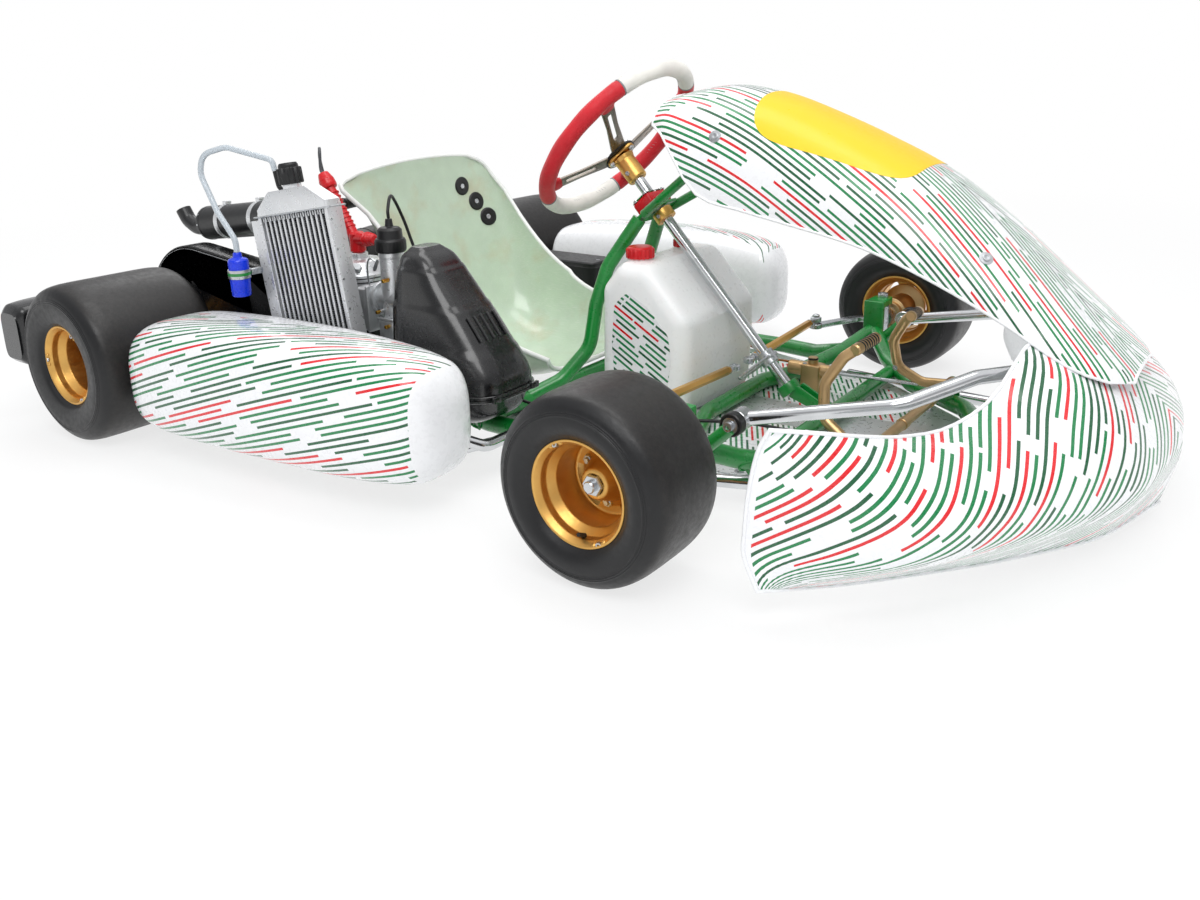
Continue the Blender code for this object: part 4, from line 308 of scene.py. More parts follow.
def rounded(points, bend, steps=5, closed=False):
    """Corners of a route or an outline turned into bends of about this radius."""
    route = [Vector(p) for p in points]
    made = []
    for i, corner in enumerate(route):
        if not closed and i in (0, len(route) - 1):
            made.append(corner)
            continue
        back, ahead = route[i - 1] - corner, route[(i + 1) % len(route)] - corner
        turn = math.pi - back.angle(ahead)
        if turn < 0.04:
            made.append(corner)
            continue
        reach = min(bend * math.tan(min(turn, 2.9) / 2), 0.48 * back.length, 0.48 * ahead.length)
        a, b = corner + back.normalized() * reach, corner + ahead.normalized() * reach
        for step in range(steps + 1):
            t = step / steps
            made.append(a.lerp(corner, t).lerp(corner.lerp(b, t), t))
    return made


def blend_at(before, a, b, after, t):
    """Point of a smooth curve between a and b, given their neighbours. Each starts with its own key."""
    span = b[0] - a[0]
    slope_a = (b - before) / (b[0] - before[0])
    slope_b = (after - a) / (after[0] - a[0])
    near = a * (2 * t**3 - 3 * t**2 + 1) + slope_a * span * (t**3 - 2 * t**2 + t)
    return near + b * (3 * t**2 - 2 * t**3) + slope_b * span * (t**3 - t**2)


def read_off(table, key):
    """Values of a table of (key, value, ...) rows at a key, on a smooth curve through its rows."""
    rows = [Vector(row) for row in table]
    if key <= rows[0][0]:
        return list(rows[0])[1:]
    for i, (a, b) in enumerate(zip(rows, rows[1:])):
        if key <= b[0]:
            before, after = rows[max(i - 1, 0)], rows[min(i + 2, len(rows) - 1)]
            return list(blend_at(before, a, b, after, (key - a[0]) / (b[0] - a[0])))[1:]
    return list(rows[-1])[1:]


def through(points, steps, closed=False):
    """Smooth curve through the points, with this many steps from each to the next."""
    keyed = [(float(i), *p) for i, p in enumerate(points)]
    if closed:
        keyed = [(-1.0, *points[-1])] + keyed + [(float(len(points)), *points[0])]
        keyed.append((len(points) + 1.0, *points[1]))
    count = (len(points) if closed else len(points) - 1) * steps
    made = [Vector(read_off(keyed, step / steps)) for step in range(count)]
    return made if closed else made + [Vector(points[-1])]


def superellipse(half_width, half_height, power, count):
    """Points of a rounded rectangle by the superellipse formula."""
    made = []
    for i in range(count):
        c, s = math.cos(2 * math.pi * i / count), math.sin(2 * math.pi * i / count)
        x = half_width * math.copysign(abs(c) ** (2 / power), c)
        made.append((x, half_height * math.copysign(abs(s) ** (2 / power), s)))
    return made


# Meshes, all in the kart's own frame


def mesh_from(bm, matrix=None, turn_out=True):
    """Mesh of a bmesh, with doubled points welded and faces turned outwards."""
    bmesh.ops.remove_doubles(bm, verts=bm.verts, dist=1e-7)
    if matrix is not None:
        bmesh.ops.transform(bm, matrix=matrix, verts=bm.verts)
    if turn_out:
        bmesh.ops.recalc_face_normals(bm, faces=bm.faces)
    mesh = bpy.data.meshes.new("shape")
    bm.to_mesh(mesh)
    bm.free()
    return mesh


def moved(mesh, matrix):
    """Copy of a mesh, placed by the matrix."""
    bm = bmesh.new()
    bm.from_mesh(mesh)
    return mesh_from(bm, matrix)


def joined(meshes):
    """One mesh of several."""
    bm = bmesh.new()
    for mesh in meshes:
        bm.from_mesh(mesh)
    made = bpy.data.meshes.new("shape")
    bm.to_mesh(made)
    bm.free()
    return made


def skin(rings, round_trip=False, matrix=None):
    """Closed skin over rings of equal length, capped at both ends or running round."""
    bm = bmesh.new()
    rows = [[bm.verts.new(p) for p in ring] for ring in rings]
    pairs = list(zip(rows, rows[1:]))
    if round_trip:
        pairs.append((rows[-1], rows[0]))
    else:
        bm.faces.new(rows[0])
        bm.faces.new(rows[-1])
    for near, far in pairs:
        for i in range(len(near)):
            j = (i + 1) % len(near)
            bm.faces.new((near[i], near[j], far[j], far[i]))
    return mesh_from(bm, matrix)


def sheet(rows):
    """Open surface through rows of points."""
    bm = bmesh.new()
    grid = [[bm.verts.new(p) for p in row] for row in rows]
    for near, far in zip(grid, grid[1:]):
        for i in range(len(near) - 1):
            bm.faces.new((near[i], near[i + 1], far[i + 1], far[i]))
    return mesh_from(bm, turn_out=False)


def travelled(points):
    """Distance of each point along the line through them, counted from the middle one."""
    made = [0.0]
    for a, b in zip(points, points[1:]):
        made.append(made[-1] + (Vector(b) - Vector(a)).length)
    return [value - made[len(made) // 2] for value in made]


def printed(rows, closed=False):
    """Surface through rows of points with a print map in metres, closed into a skin if asked."""
    bm = bmesh.new()
    layer = bm.loops.layers.uv.new("print")
    grid = [[bm.verts.new(p) for p in row] for row in rows]
    sideways = [travelled(row) for row in rows]
    lengthways = travelled([row[len(row) // 2] for row in rows])
    for i in range(len(rows) - 1):
        for j in range(len(rows[0]) - 1):
            corners = ((i, j), (i, j + 1), (i + 1, j + 1), (i + 1, j))
            face = bm.faces.new([grid[a][b] for a, b in corners])
            for loop, (a, b) in zip(face.loops, corners):
                loop[layer].uv = (lengthways[a], sideways[a][b])
    if closed:
        bmesh.ops.remove_doubles(bm, verts=bm.verts, dist=1e-6)
        bmesh.ops.holes_fill(bm, edges=bm.edges)
    return mesh_from(bm, turn_out=closed)


def box(size, centre=(0.0, 0.0, 0.0), edge=0.001):
    """Block with broken edges."""
    bm = bmesh.new()
    bmesh.ops.create_cube(bm, size=1.0, matrix=Matrix.Diagonal((*size, 1.0)))
    bmesh.ops.bevel(bm, geom=bm.edges[:], offset=edge, segments=3, profile=0.5, affect="EDGES")
    return mesh_from(bm, Matrix.Translation(Vector(centre)))


def turned(profile, matrix, sides=72, edge=0.0, steps=4):
    """Turned piece: a closed profile of (radius, height) pairs round local Z, its corners eased."""
    if edge:
        on_axis = profile[0][0] == 0.0 and profile[-1][0] == 0.0
        profile = rounded(profile, edge, steps, closed=not on_axis)
    rings = []
    for i in range(sides):
        c, s = math.cos(2 * math.pi * i / sides), math.sin(2 * math.pi * i / sides)
        rings.append([(r * c, r * s, z) for r, z in profile])
    return skin(rings, True, matrix)


def rod(start, end, radius, end_radius=None, sides=32, edge=0.0007):
    """Straight round bar or cone between two points, with broken ends."""
    a, b = Vector(start), Vector(end)
    far = radius if end_radius is None else end_radius
    tall = (b - a).length
    edge = min(edge, tall * 0.3, far * 0.5)
    profile = [(0.0, 0.0), (radius - edge, 0.0), (radius, edge), (far, tall - edge), (far - edge, tall)]
    return turned(profile + [(0.0, tall)], axis_matrix(a, b - a), sides)


def tube(route, radius, sides=20, widths=None, closed=False):
    """Round bar or tube swept along a route of points, with slightly broken ends."""
    points = [Vector(p) for p in route]
    shares = list(widths) if widths else [1.0] * len(points)
    if not closed:
        edge = min(0.0007, radius * 0.3)
        first, last = (points[1] - points[0]).normalized(), (points[-2] - points[-1]).normalized()
        points = [points[0], points[0] + first * edge, *points[1:-1], points[-1] + last * edge, points[-1]]
        start, end = shares[0] - edge / radius, shares[-1] - edge / radius
        shares = [start, shares[0], *shares[1:-1], shares[-1], end]
    rings, reach = [], None
    for i, (point, share) in enumerate(zip(points, shares)):
        before = points[i - 1] if closed or i else point
        after = points[(i + 1) % len(points)] if closed or i < len(points) - 1 else point
        way = (after - before).normalized()
        reach = way.orthogonal() if reach is None else reach - way * reach.dot(way)
        reach.normalize()
        beside = way.cross(reach)
        spins = [2 * math.pi * k / sides for k in range(sides)]
        arms = [reach * math.cos(a) + beside * math.sin(a) for a in spins]
        rings.append([point + arm * radius * share for arm in arms])
    return skin(rings, closed)


def plate(outline, thickness, matrix, edge=0.0005):
    """Flat plate: a closed outline in local XY, centred on local Z, with broken edges."""
    bm = bmesh.new()
    face = bm.faces.new([bm.verts.new((x, y, -thickness / 2)) for x, y in outline])
    raised = bmesh.ops.extrude_face_region(bm, geom=[face])["geom"]
    tops = [v for v in raised if isinstance(v, bmesh.types.BMVert)]
    bmesh.ops.translate(bm, vec=(0.0, 0.0, thickness), verts=tops)
    rims = [e for e in bm.edges if abs(e.verts[0].co.z - e.verts[1].co.z) < 1e-9]
    if edge:
        bmesh.ops.bevel(bm, geom=rims, offset=edge, segments=2, profile=0.5, affect="EDGES")
    return mesh_from(bm, matrix)


def modified(mesh, *steps):
    """The mesh with modifiers applied, each given as its type and settings."""
    obj = bpy.data.objects.new("step", mesh)
    bpy.context.scene.collection.objects.link(obj)
    for kind, settings in steps:
        step = obj.modifiers.new(kind.lower(), kind)
        for name, value in settings.items():
            setattr(step, name, value)
    bpy.context.view_layer.update()
    graph = bpy.context.evaluated_depsgraph_get()
    made = bpy.data.meshes.new_from_object(obj.evaluated_get(graph))
    bpy.data.objects.remove(obj, do_unlink=True)
    return made


def cut(mesh, *tools):
    """Cuts closed meshes out of a mesh."""
    cutters = [bpy.data.objects.new("cutter", tool) for tool in tools]
    for cutter in cutters:
        bpy.context.scene.collection.objects.link(cutter)
    settings = [{"operation": "DIFFERENCE", "solver": "EXACT", "object": cutter} for cutter in cutters]
    made = modified(mesh, *[("BOOLEAN", each) for each in settings])
    for cutter in cutters:
        bpy.data.objects.remove(cutter, do_unlink=True)
    return made


def grown_wall(thickness):
    """Step that gives an open surface its wall, grown along its normals."""
    settings = {"thickness": thickness, "offset": 1.0, "use_even_offset": True, "use_quality_normals": True}
    return "SOLIDIFY", settings


def rounded_rims(edge):
    """Step that rounds the rims of a wall."""
    return "BEVEL", {"width": edge, "segments": 3, "limit_method": "ANGLE", "angle_limit": math.radians(60)}


def printed_wall(rows):
    """Printed sheet with its wall, whose back and rims lie off the print map and so stay plain."""
    sheet_face = printed(rows)
    count = len(sheet_face.polygons)
    shell = modified(sheet_face, grown_wall(SHELL_WALL))
    halves = [shell.polygons[:count], shell.polygons[count:2 * count]]
    front = max(halves, key=lambda half: sum(face.center.x + face.center.z for face in half))
    shown = {face.index for face in front}
    layer = shell.uv_layers["print"].uv
    for face in shell.polygons:
        if face.index not in shown:
            for corner in face.loop_indices:
                layer[corner].vector.x += OFF_PRINT
    return modified(shell, rounded_rims(SHELL_EDGE))


def flat_bar(route, width, thickness, edge=0.0008):
    """Bent flat bar along a level route."""
    one_side, other_side = [], []
    points = [Vector(p) for p in route]
    for index, point in enumerate(points):
        way = points[min(index + 1, len(points) - 1)] - points[max(index - 1, 0)]
        beside = Vector((-way.y, way.x, 0.0)).normalized() * width / 2
        one_side.append((point + beside).xy)
        other_side.append((point - beside).xy)
    outline = rounded(one_side + other_side[::-1], width * 0.3, 4, closed=True)
    return plate(outline, thickness, shift(0.0, 0.0, points[0].z), edge)


def screw(at, way, radius, height=None, washer=0.0):
    """Socket-head screw that stands on a surface, with its recess and a washer if asked."""
    tall = height or radius * 1.1
    low = 0.0
    pieces = []
    if washer:
        ring = [(radius * 0.5, -0.0004), (washer, -0.0004), (washer, 0.0012), (radius * 0.5, 0.0012)]
        pieces.append(turned(ring, axis_matrix(at, way), 32, 0.0004, 2))
        low = 0.0012
    head = [(0.0, low - 0.0006), (radius, low - 0.0006), (radius, low + tall), (radius * 0.52, low + tall)]
    head += [(radius * 0.46, low + tall * 0.45), (0.0, low + tall * 0.40)]
    pieces.append(turned(head, axis_matrix(at, way), 28, radius * 0.10, 2))
    return joined(pieces)


def nut(at, way, radius, height, bore=0.0):
    """Hexagon nut with chamfered corners and the end of its bolt."""
    body = [(0.0, 0.0), (radius, 0.0), (radius, height * 0.85), (radius * 0.90, height), (0.0, height)]
    matrix = axis_matrix(at, way)
    tip = bore or radius * 0.55
    end = [(0.0, 0.0), (tip, 0.0), (tip, height * 1.25), (tip * 0.8, height * 1.4), (0.0, height * 1.4)]
    return joined([turned(body, matrix, 6), turned(end, matrix, 20)])


def weld(point, way, radius, main_point, main_way, main_radius, bead):
    """Rippled bead where a round branch meets a round tube, along the line where they cross."""
    way, main_way = Vector(way).normalized(), Vector(main_way).normalized()
    side = way.orthogonal().normalized()
    over = way.cross(side)
    route, widths = [], []
    count = 44
    for step in range(count):
        angle = 2 * math.pi * step / count
        start = Vector(point) + (side * math.cos(angle) + over * math.sin(angle)) * radius
        gap = start - Vector(main_point)
        flat_gap, flat_way = gap - main_way * gap.dot(main_way), way - main_way * way.dot(main_way)
        a, b = flat_way.length_squared, 2 * flat_gap.dot(flat_way)
        inside = b * b - 4 * a * (flat_gap.length_squared - main_radius**2)
        route.append(start + way * ((-b + math.sqrt(max(inside, 0.0))) / (2 * a)))
        widths.append(1.0 if step % 2 else 0.82)
    return tube(route, bead, 8, widths, closed=True)


def coil(start, end, radius, wire, turns):
    """Helical spring between two points."""
    matrix = axis_matrix(start, Vector(end) - Vector(start))
    tall = (Vector(end) - Vector(start)).length
    count = int(turns * 14)
    angles = [2 * math.pi * turns * step / count for step in range(count + 1)]
    route = [(radius * math.cos(a), radius * math.sin(a), tall * i / count) for i, a in enumerate(angles)]
    return tube([matrix @ Vector(p) for p in route], wire, 8)


def band(centre, way, radius, width, thick=0.0012):
    """Worm-drive hose clip: a band with its screw housing."""
    matrix = axis_matrix(centre, way)
    ring = [(radius, -width / 2), (radius + thick, -width / 2), (radius + thick, width / 2),
            (radius, width / 2)]
    housing = box((0.012, 0.007, width * 0.9), (0.0, radius + 0.0035, 0.0), edge=0.001)
    head = rod((-0.0095, radius + 0.004, 0.0), (-0.005, radius + 0.004, 0.0), 0.0034, sides=6)
    return joined([turned(ring, matrix, 40, 0.0003, 2), moved(housing, matrix), moved(head, matrix)])


def gather(name, body, parts, stands_for=(), origin=(0.0, 0.0, 0.0)):
    """Joins meshes and their materials into one piece of the kart that rides on a body.

    A body given as both bodies with the points where the piece leaves them is not used: such a piece rides
    on no body and does not bend.
    """
    bm = bmesh.new()
    materials = []
    for mesh, material in parts:
        if material not in materials:
            materials.append(material)
        known = len(bm.faces)
        bm.from_mesh(mesh)
        bm.faces.ensure_lookup_table()
        for face in bm.faces[known:]:
            face.material_index = materials.index(material)
    bmesh.ops.translate(bm, vec=-Vector(origin), verts=bm.verts)
    made = bpy.data.meshes.new(name)
    bm.to_mesh(made)
    bm.free()
    for material in materials:
        made.materials.append(material)
    made.shade_smooth()
    made.set_sharp_from_angle(angle=math.radians(34))
    piece = bpy.data.objects.new(name, made)
    piece.location = origin
    bpy.context.scene.collection.objects.link(piece)
    if isinstance(body, str):
        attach(piece, body)
    else:
        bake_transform(piece)
    if stands_for:
        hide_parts(*stands_for)
    return piece


# Materials


def add(tree, kind, inputs=None, **settings):
    """Adds a shader node with its settings. An input given as a socket is linked, a value is set."""
    node = tree.nodes.new("ShaderNode" + kind)
    for name, value in settings.items():
        setattr(node, name, value)
    for key, value in (inputs or {}).items():
        if isinstance(value, bpy.types.NodeSocket):
            tree.links.new(value, node.inputs[key])
        else:
            node.inputs[key].default_value = value
    return node


def tint(name):
    """Colour of the kart's colour settings."""
    return tuple(getattr(bpy.context.scene.kart_colours, name))


def size(name):
    """Length of the kart's size settings."""
    return getattr(bpy.context.scene.kart_sizes, name)


def per_metre(millimetres):
    """Scale of a texture whose features are this big."""
    return 1000.0 / millimetres


def finish(name, base, rough, grain, depth, sockets=None, stretch=None, blotch=0.10, pattern=None,
           relief=None):
    """Material whose colour, gloss and relief all vary from place to place.

    The grain is the size of its relief and the depth its height, both in millimetres. A pattern
    function turns the tree and the place into a base colour, a relief function into a height.
    """
    known = bpy.data.materials.get(name)
    if known:
        return known
    material = bpy.data.materials.new(name)
    material.use_nodes = True
    tree = material.node_tree
    shader = tree.nodes["Principled BSDF"]
    place = add(tree, "TexCoord").outputs["Object"]
    if pattern:
        base = pattern(tree, place)
    cloud = add(tree, "TexNoise", {"Vector": place, "Scale": per_metre(38.0), "Detail": 4.0}).outputs["Fac"]
    cloud = add(tree, "MapRange", {0: cloud, 1: 0.35, 2: 0.70}).outputs[0]
    smear_scale = {"Vector": place, "Scale": per_metre(9.0), "Detail": 5.0, "Roughness": 0.62}
    smear = add(tree, "TexNoise", smear_scale).outputs["Fac"]
    dull = add(tree, "Mix", {0: blotch, COLOUR_A: base, COLOUR_B: (0.0, 0.0, 0.0, 1.0)}, data_type="RGBA")
    shaded = {0: cloud, COLOUR_A: base, COLOUR_B: dull.outputs[MIXED_COLOUR]}
    shown = add(tree, "Mix", shaded, data_type="RGBA").outputs[MIXED_COLOUR]
    tree.links.new(shown, shader.inputs["Base Color"])
    gloss = add(tree, "MapRange", {0: smear, 1: 0.30, 2: 0.70, 3: rough * 0.80, 4: rough * 1.25})
    tree.links.new(gloss.outputs[0], shader.inputs["Roughness"])
    scaled = add(tree, "VectorMath", {0: place, 1: stretch or (1.0, 1.0, 1.0)}, operation="MULTIPLY")
    fine = {"Vector": scaled.outputs[0], "Scale": per_metre(grain), "Detail": 3.0, "Roughness": 0.55}
    height = add(tree, "TexNoise", fine).outputs["Fac"]
    if relief:
        height = add(tree, "Math", {0: height, 1: relief(tree, place)}, operation="ADD").outputs[0]
    bump = add(tree, "Bump", {"Height": height, "Distance": depth / 1000.0, "Strength": 1.0})
    tree.links.new(bump.outputs[0], shader.inputs["Normal"])
    for socket, value in (sockets or {}).items():
        shader.inputs[socket].default_value = value
    return material


# Thick glossy coat with a soft orange peel: long highlights that waver a little along each tube
def powder_coat():
    coat = {"Coat Weight": 0.55, "Coat Roughness": 0.10}
    return finish("Powder-coated steel", tint("frame_green"), 0.30, 3.2, 0.028, coat, blotch=0.22)


# The same coat where a torch has run: ripples and a duller, darker skin
def coated_weld():
    return finish("Powder-coated weld bead", tint("frame_green"), 0.42, 1.1, 0.10, blotch=0.35)


# Polished tube: mirror bright, with faint polishing marks that blur it in places
def polished_steel():
    bright = {"Metallic": 1.0}
    return finish("Polished steel tube", colour("#D9DBDD"), 0.13, 2.2, 0.004, bright, (0.15, 1.0, 1.0),
                  0.12)


# Zinc-plated fasteners and stub axles: grey, satin, slightly mottled
def plated_steel():
    bright = {"Metallic": 1.0}
    return finish("Zinc-plated steel", colour("#CFD2D5"), 0.28, 0.7, 0.005, bright, blotch=0.14)


# Chain, sprocket teeth and springs: dark oiled steel with bright rubbed spots
def oiled_steel():
    bright = {"Metallic": 0.95}
    return finish("Oiled steel", colour("#5C5E61"), 0.34, 1.3, 0.020, bright, blotch=0.55)


# Brake disc and other ground faces: fine scratches that catch the light across them
def ground_steel():
    bright = {"Metallic": 1.0}
    return finish("Ground steel", colour("#A7AAAE"), 0.26, 0.5, 0.003, bright, (1.0, 3.0, 0.25), 0.12)


# Machined aluminium: soft grey sheen with tool marks
def machined_aluminium():
    bright = {"Metallic": 0.66}
    return finish("Machined aluminium", colour("#E1E3E5"), 0.30, 0.6, 0.003, bright, (0.2, 1.0, 1.0), 0.04)


# Sand-cast aluminium: pale grey, grainy and dull
def cast_aluminium():
    bright = {"Metallic": 0.75}
    return finish("Sand-cast aluminium", colour("#D6D9DB"), 0.40, 1.0, 0.04, bright, blotch=0.12)


# Black-painted casting: the same grain under a satin paint
def black_casting():
    return finish("Black-painted casting", colour("#1B1C1E"), 0.42, 1.0, 0.07, blotch=0.35)


def lathe_marks(tree, place):
    """Height that depends only on the distance from the wheel's axle and along it."""
    parts = add(tree, "SeparateXYZ", {0: place}).outputs
    flat = add(tree, "CombineXYZ", {0: parts[0], 2: parts[2]}).outputs[0]
    reach = add(tree, "VectorMath", {0: flat}, operation="LENGTH").outputs["Value"]
    ring = add(tree, "CombineXYZ", {0: reach, 1: parts[1]}).outputs[0]
    marks = {"Vector": ring, "Scale": per_metre(0.55), "Detail": 2.0}
    return add(tree, "TexNoise", marks, noise_dimensions="2D").outputs["Fac"]


# Anodised rim: warm metal whose turned rings stretch each highlight round the bowl
def gold_rim():
    bright = {"Metallic": 1.0, "Coat Weight": 0.10, "Coat Roughness": 0.3}
    gold = tint("wheel_gold")
    return finish("Gold-anodised rim", gold, 0.43, 2.5, 0.007, bright, blotch=0.12, relief=lathe_marks)


# Anodised bars and blocks: the same gold, straight-grained
def gold_anodised():
    bright = {"Metallic": 1.0}
    return finish("Gold-anodised aluminium", tint("wheel_gold"), 0.34, 0.8, 0.006, bright, (0.2, 1, 1),
                  0.05)


# Darker anodised castings of the hubs, pedals and pump
def bronze_anodised():
    bright = {"Metallic": 1.0}
    return finish("Bronze-anodised aluminium", tint("bronze"), 0.34, 0.9, 0.012, bright, blotch=0.14)


# Fuel jets and fittings: yellow metal, slightly tarnished
def brass():
    return finish("Tarnished brass", colour("#B98E3A"), 0.30, 0.9, 0.012, {"Metallic": 1.0}, blotch=0.40)


# Copper-coloured brake line
def brake_line():
    return finish("Bronze-coloured tube", colour("#A4602F"), 0.30, 1.0, 0.010, {"Metallic": 0.9},
                  blotch=0.25)


# Exhaust steel with high-temperature black paint, burnt brown in patches
def burnt_paint():
    def pattern(tree, place):
        patches = {"Vector": place, "Scale": per_metre(60.0), "Detail": 6.0, "Roughness": 0.6}
        burnt = add(tree, "TexNoise", patches).outputs["Fac"]
        share = add(tree, "MapRange", {0: burnt, 1: 0.48, 2: 0.66}).outputs[0]
        tones = {0: share, COLOUR_A: colour("#1A1A1C"), COLOUR_B: colour("#3B2C25")}
        return add(tree, "Mix", tones, data_type="RGBA").outputs[MIXED_COLOUR]

    return finish("Burnt exhaust paint", None, 0.40, 1.2, 0.03, {"Metallic": 0.35}, blotch=0.2,
                  pattern=pattern)


# Silencer wrap: satin black sheet
def black_sheet():
    return finish("Black-coated sheet", colour("#161719"), 0.36, 2.0, 0.02, {"Coat Weight": 0.2},
                  blotch=0.30)


# Moulded parts with a spark-eroded texture: grey sheen over black
def satin_plastic():
    return finish("Textured black plastic", colour("#111214"), 0.40, 0.55, 0.035, blotch=0.30)


# Airbox: smooth blow-moulded black whose faces catch soft highlights
def airbox_plastic():
    coat = {"Coat Weight": 0.45, "Coat Roughness": 0.12}
    return finish("Moulded polypropylene", colour("#0C0D0F"), 0.26, 6.0, 0.012, coat, blotch=0.10)


# Chain guard and bumper skin: smooth black that mirrors the studio softly
def glossy_plastic():
    coat = {"Coat Weight": 0.4, "Coat Roughness": 0.08}
    return finish("Glossy black plastic", colour("#101113"), 0.24, 9.0, 0.010, coat, blotch=0.12)


# Coloured mouldings, lightly translucent at their edges
def red_plastic():
    soft = {"Subsurface Weight": 0.12, "Subsurface Radius": (0.004, 0.001, 0.001), "Subsurface Scale": 1.0}
    return finish("Red moulded plastic", tint("moulding_red"), 0.30, 1.6, 0.012, soft, blotch=0.16)


def blue_plastic():
    soft = {"Subsurface Weight": 0.10, "Subsurface Radius": (0.001, 0.001, 0.004), "Subsurface Scale": 1.0}
    return finish("Blue moulded plastic", tint("bottle_blue"), 0.26, 1.6, 0.012, soft, blotch=0.20)


# Radiator fins: dark zigzag foil between the tubes
def fin_foil():
    return finish("Dark radiator foil", colour("#6E7276"), 0.45, 0.8, 0.02, {"Metallic": 0.7}, blotch=0.35)


# Rubber: hoses, pads and pedal sleeves
def hose_rubber():
    return finish("Black hose rubber", colour("#18191B"), 0.52, 0.9, 0.03, blotch=0.35)


# High-tension lead and cable sleeves: grey, slightly shiny
def cable_sleeve():
    return finish("Grey cable sleeve", colour("#4B4E52"), 0.36, 1.2, 0.012, blotch=0.25)


# Soft clear hose: silver highlights over a faint grey tube
def clear_hose():
    glassy = {"Transmission Weight": 0.30, "IOR": 1.42, "Coat Weight": 0.6, "Coat Roughness": 0.05}
    return finish("Clear PVC hose", colour("#CFD8DF"), 0.16, 4.0, 0.008, glassy, blotch=0.04)


# Blow-moulded tank: milky plastic that lets a little light through
def tank_plastic():
    milky = {"Subsurface Weight": 0.15, "Subsurface Radius": (0.010, 0.012, 0.013), "Subsurface Scale": 1.0}
    return finish("Natural polyethylene", colour("#FDFEFE"), 0.30, 6.0, 0.02, milky, blotch=0.02)


# Glass laminate: pale green resin, amber where it is thick, with matted fibres near the surface
def laminate():
    def pattern(tree, place):
        patches = {"Vector": place, "Scale": per_metre(95.0), "Detail": 3.0, "Roughness": 0.55}
        amber = add(tree, "TexNoise", patches).outputs["Fac"]
        share = add(tree, "MapRange", {0: amber, 1: 0.54, 2: 0.78, 4: 0.60}).outputs[0]
        tones = {0: share, COLOUR_A: tint("seat_tint"), COLOUR_B: colour("#C9B483")}
        shown = add(tree, "Mix", tones, data_type="RGBA").outputs[MIXED_COLOUR]
        for turn in (0.3, 1.4, 2.5):
            angle = {"Vector": place, "Rotation": (turn, turn * 0.7, turn * 1.9)}
            lie = add(tree, "Mapping", {**angle, "Scale": (1.0, 14.0, 14.0)}).outputs[0]
            strands = {"Vector": lie, "Scale": per_metre(22.0), "Detail": 1.0}
            fibre = add(tree, "TexNoise", strands).outputs["Fac"]
            thread = add(tree, "MapRange", {0: fibre, 1: 0.58, 2: 0.70, 4: 0.20}).outputs[0]
            bright = {0: thread, COLOUR_A: shown, COLOUR_B: colour("#F1F4EC")}
            shown = add(tree, "Mix", bright, data_type="RGBA").outputs[MIXED_COLOUR]
        return shown

    resin = {"Transmission Weight": 0.10, "Coat Weight": 0.45, "Coat Roughness": 0.10}
    resin["Subsurface Weight"] = 0.20
    resin["Subsurface Radius"] = (0.005, 0.006, 0.004)
    resin["Subsurface Scale"] = 1.0
    return finish("Glass-fibre laminate", None, 0.20, 5.0, 0.03, resin, blotch=0.07, pattern=pattern)


# Gel-coat bead along the seat's rim and the faces of the washers
def gel_coat():
    return finish("White gel coat", colour("#F3F5F2"), 0.22, 3.0, 0.02, {"Coat Weight": 0.5}, blotch=0.05)


# Slick tyre: scuffed brown-black tread, smooth blue-black side walls
def slick_tyre(radius):
    def split(tree, place):
        parts = add(tree, "SeparateXYZ", {0: place}).outputs
        flat = add(tree, "CombineXYZ", {0: parts[0], 2: parts[2]}).outputs[0]
        reach = add(tree, "VectorMath", {0: flat}, operation="LENGTH").outputs["Value"]
        return add(tree, "MapRange", {0: reach, 1: radius - 0.0085, 2: radius - 0.0035}).outputs[0]

    def pattern(tree, place):
        worn = {"Vector": place, "Scale": per_metre(6.0), "Detail": 7.0, "Roughness": 0.72}
        scuff = add(tree, "TexNoise", worn).outputs["Fac"]
        share = add(tree, "MapRange", {0: scuff, 1: 0.38, 2: 0.66}).outputs[0]
        tread = {0: share, COLOUR_A: colour("#0E0D0D"), COLOUR_B: colour("#201D1B")}
        tread = add(tree, "Mix", tread, data_type="RGBA").outputs[MIXED_COLOUR]
        both = {0: split(tree, place), COLOUR_A: colour("#0B0C0F"), COLOUR_B: tread}
        return add(tree, "Mix", both, data_type="RGBA").outputs[MIXED_COLOUR]

    def relief(tree, place):
        rubbed = {"Vector": place, "Scale": per_metre(2.2), "Detail": 6.0, "Roughness": 0.75}
        crumbs = add(tree, "TexNoise", rubbed).outputs["Fac"]
        return add(tree, "Math", {0: crumbs, 1: split(tree, place)}, operation="MULTIPLY").outputs[0]

    name = f"Slick tyre rubber, {radius * 1000:.0f} mm"
    return finish(name, None, 0.40, 3.5, 0.14, blotch=0.18, pattern=pattern, relief=relief)


# Suede and leather of the grip: matt, with a fine nap
def leather(name, base):
    nap = {"Sheen Weight": 0.18, "Sheen Roughness": 0.5}
    return finish(name, base, 0.58, 0.7, 0.06, nap, blotch=0.16)


def red_leather():
    return leather("Red grip leather", tint("grip_red"))


def white_leather():
    return leather("White grip leather", tint("grip_white"))


# Stitching thread
def grey_thread():
    return finish("Grey thread", colour("#8C8F92"), 0.65, 0.4, 0.03, blotch=0.2)


# Moulded and painted bodywork: bright white under a clear, slightly wavy gloss
GLOSS_SKIN = {"Coat Weight": 0.6, "Coat Roughness": 0.05}


def white_body():
    return finish("White bodywork", tint("body_white"), 0.28, 24.0, 0.018, GLOSS_SKIN, blotch=0.02)


# Printed film on the bodywork: bare yellow number field
def yellow_film():
    return finish("Yellow film", tint("number_yellow"), 0.34, 16.0, 0.04, blotch=0.02)


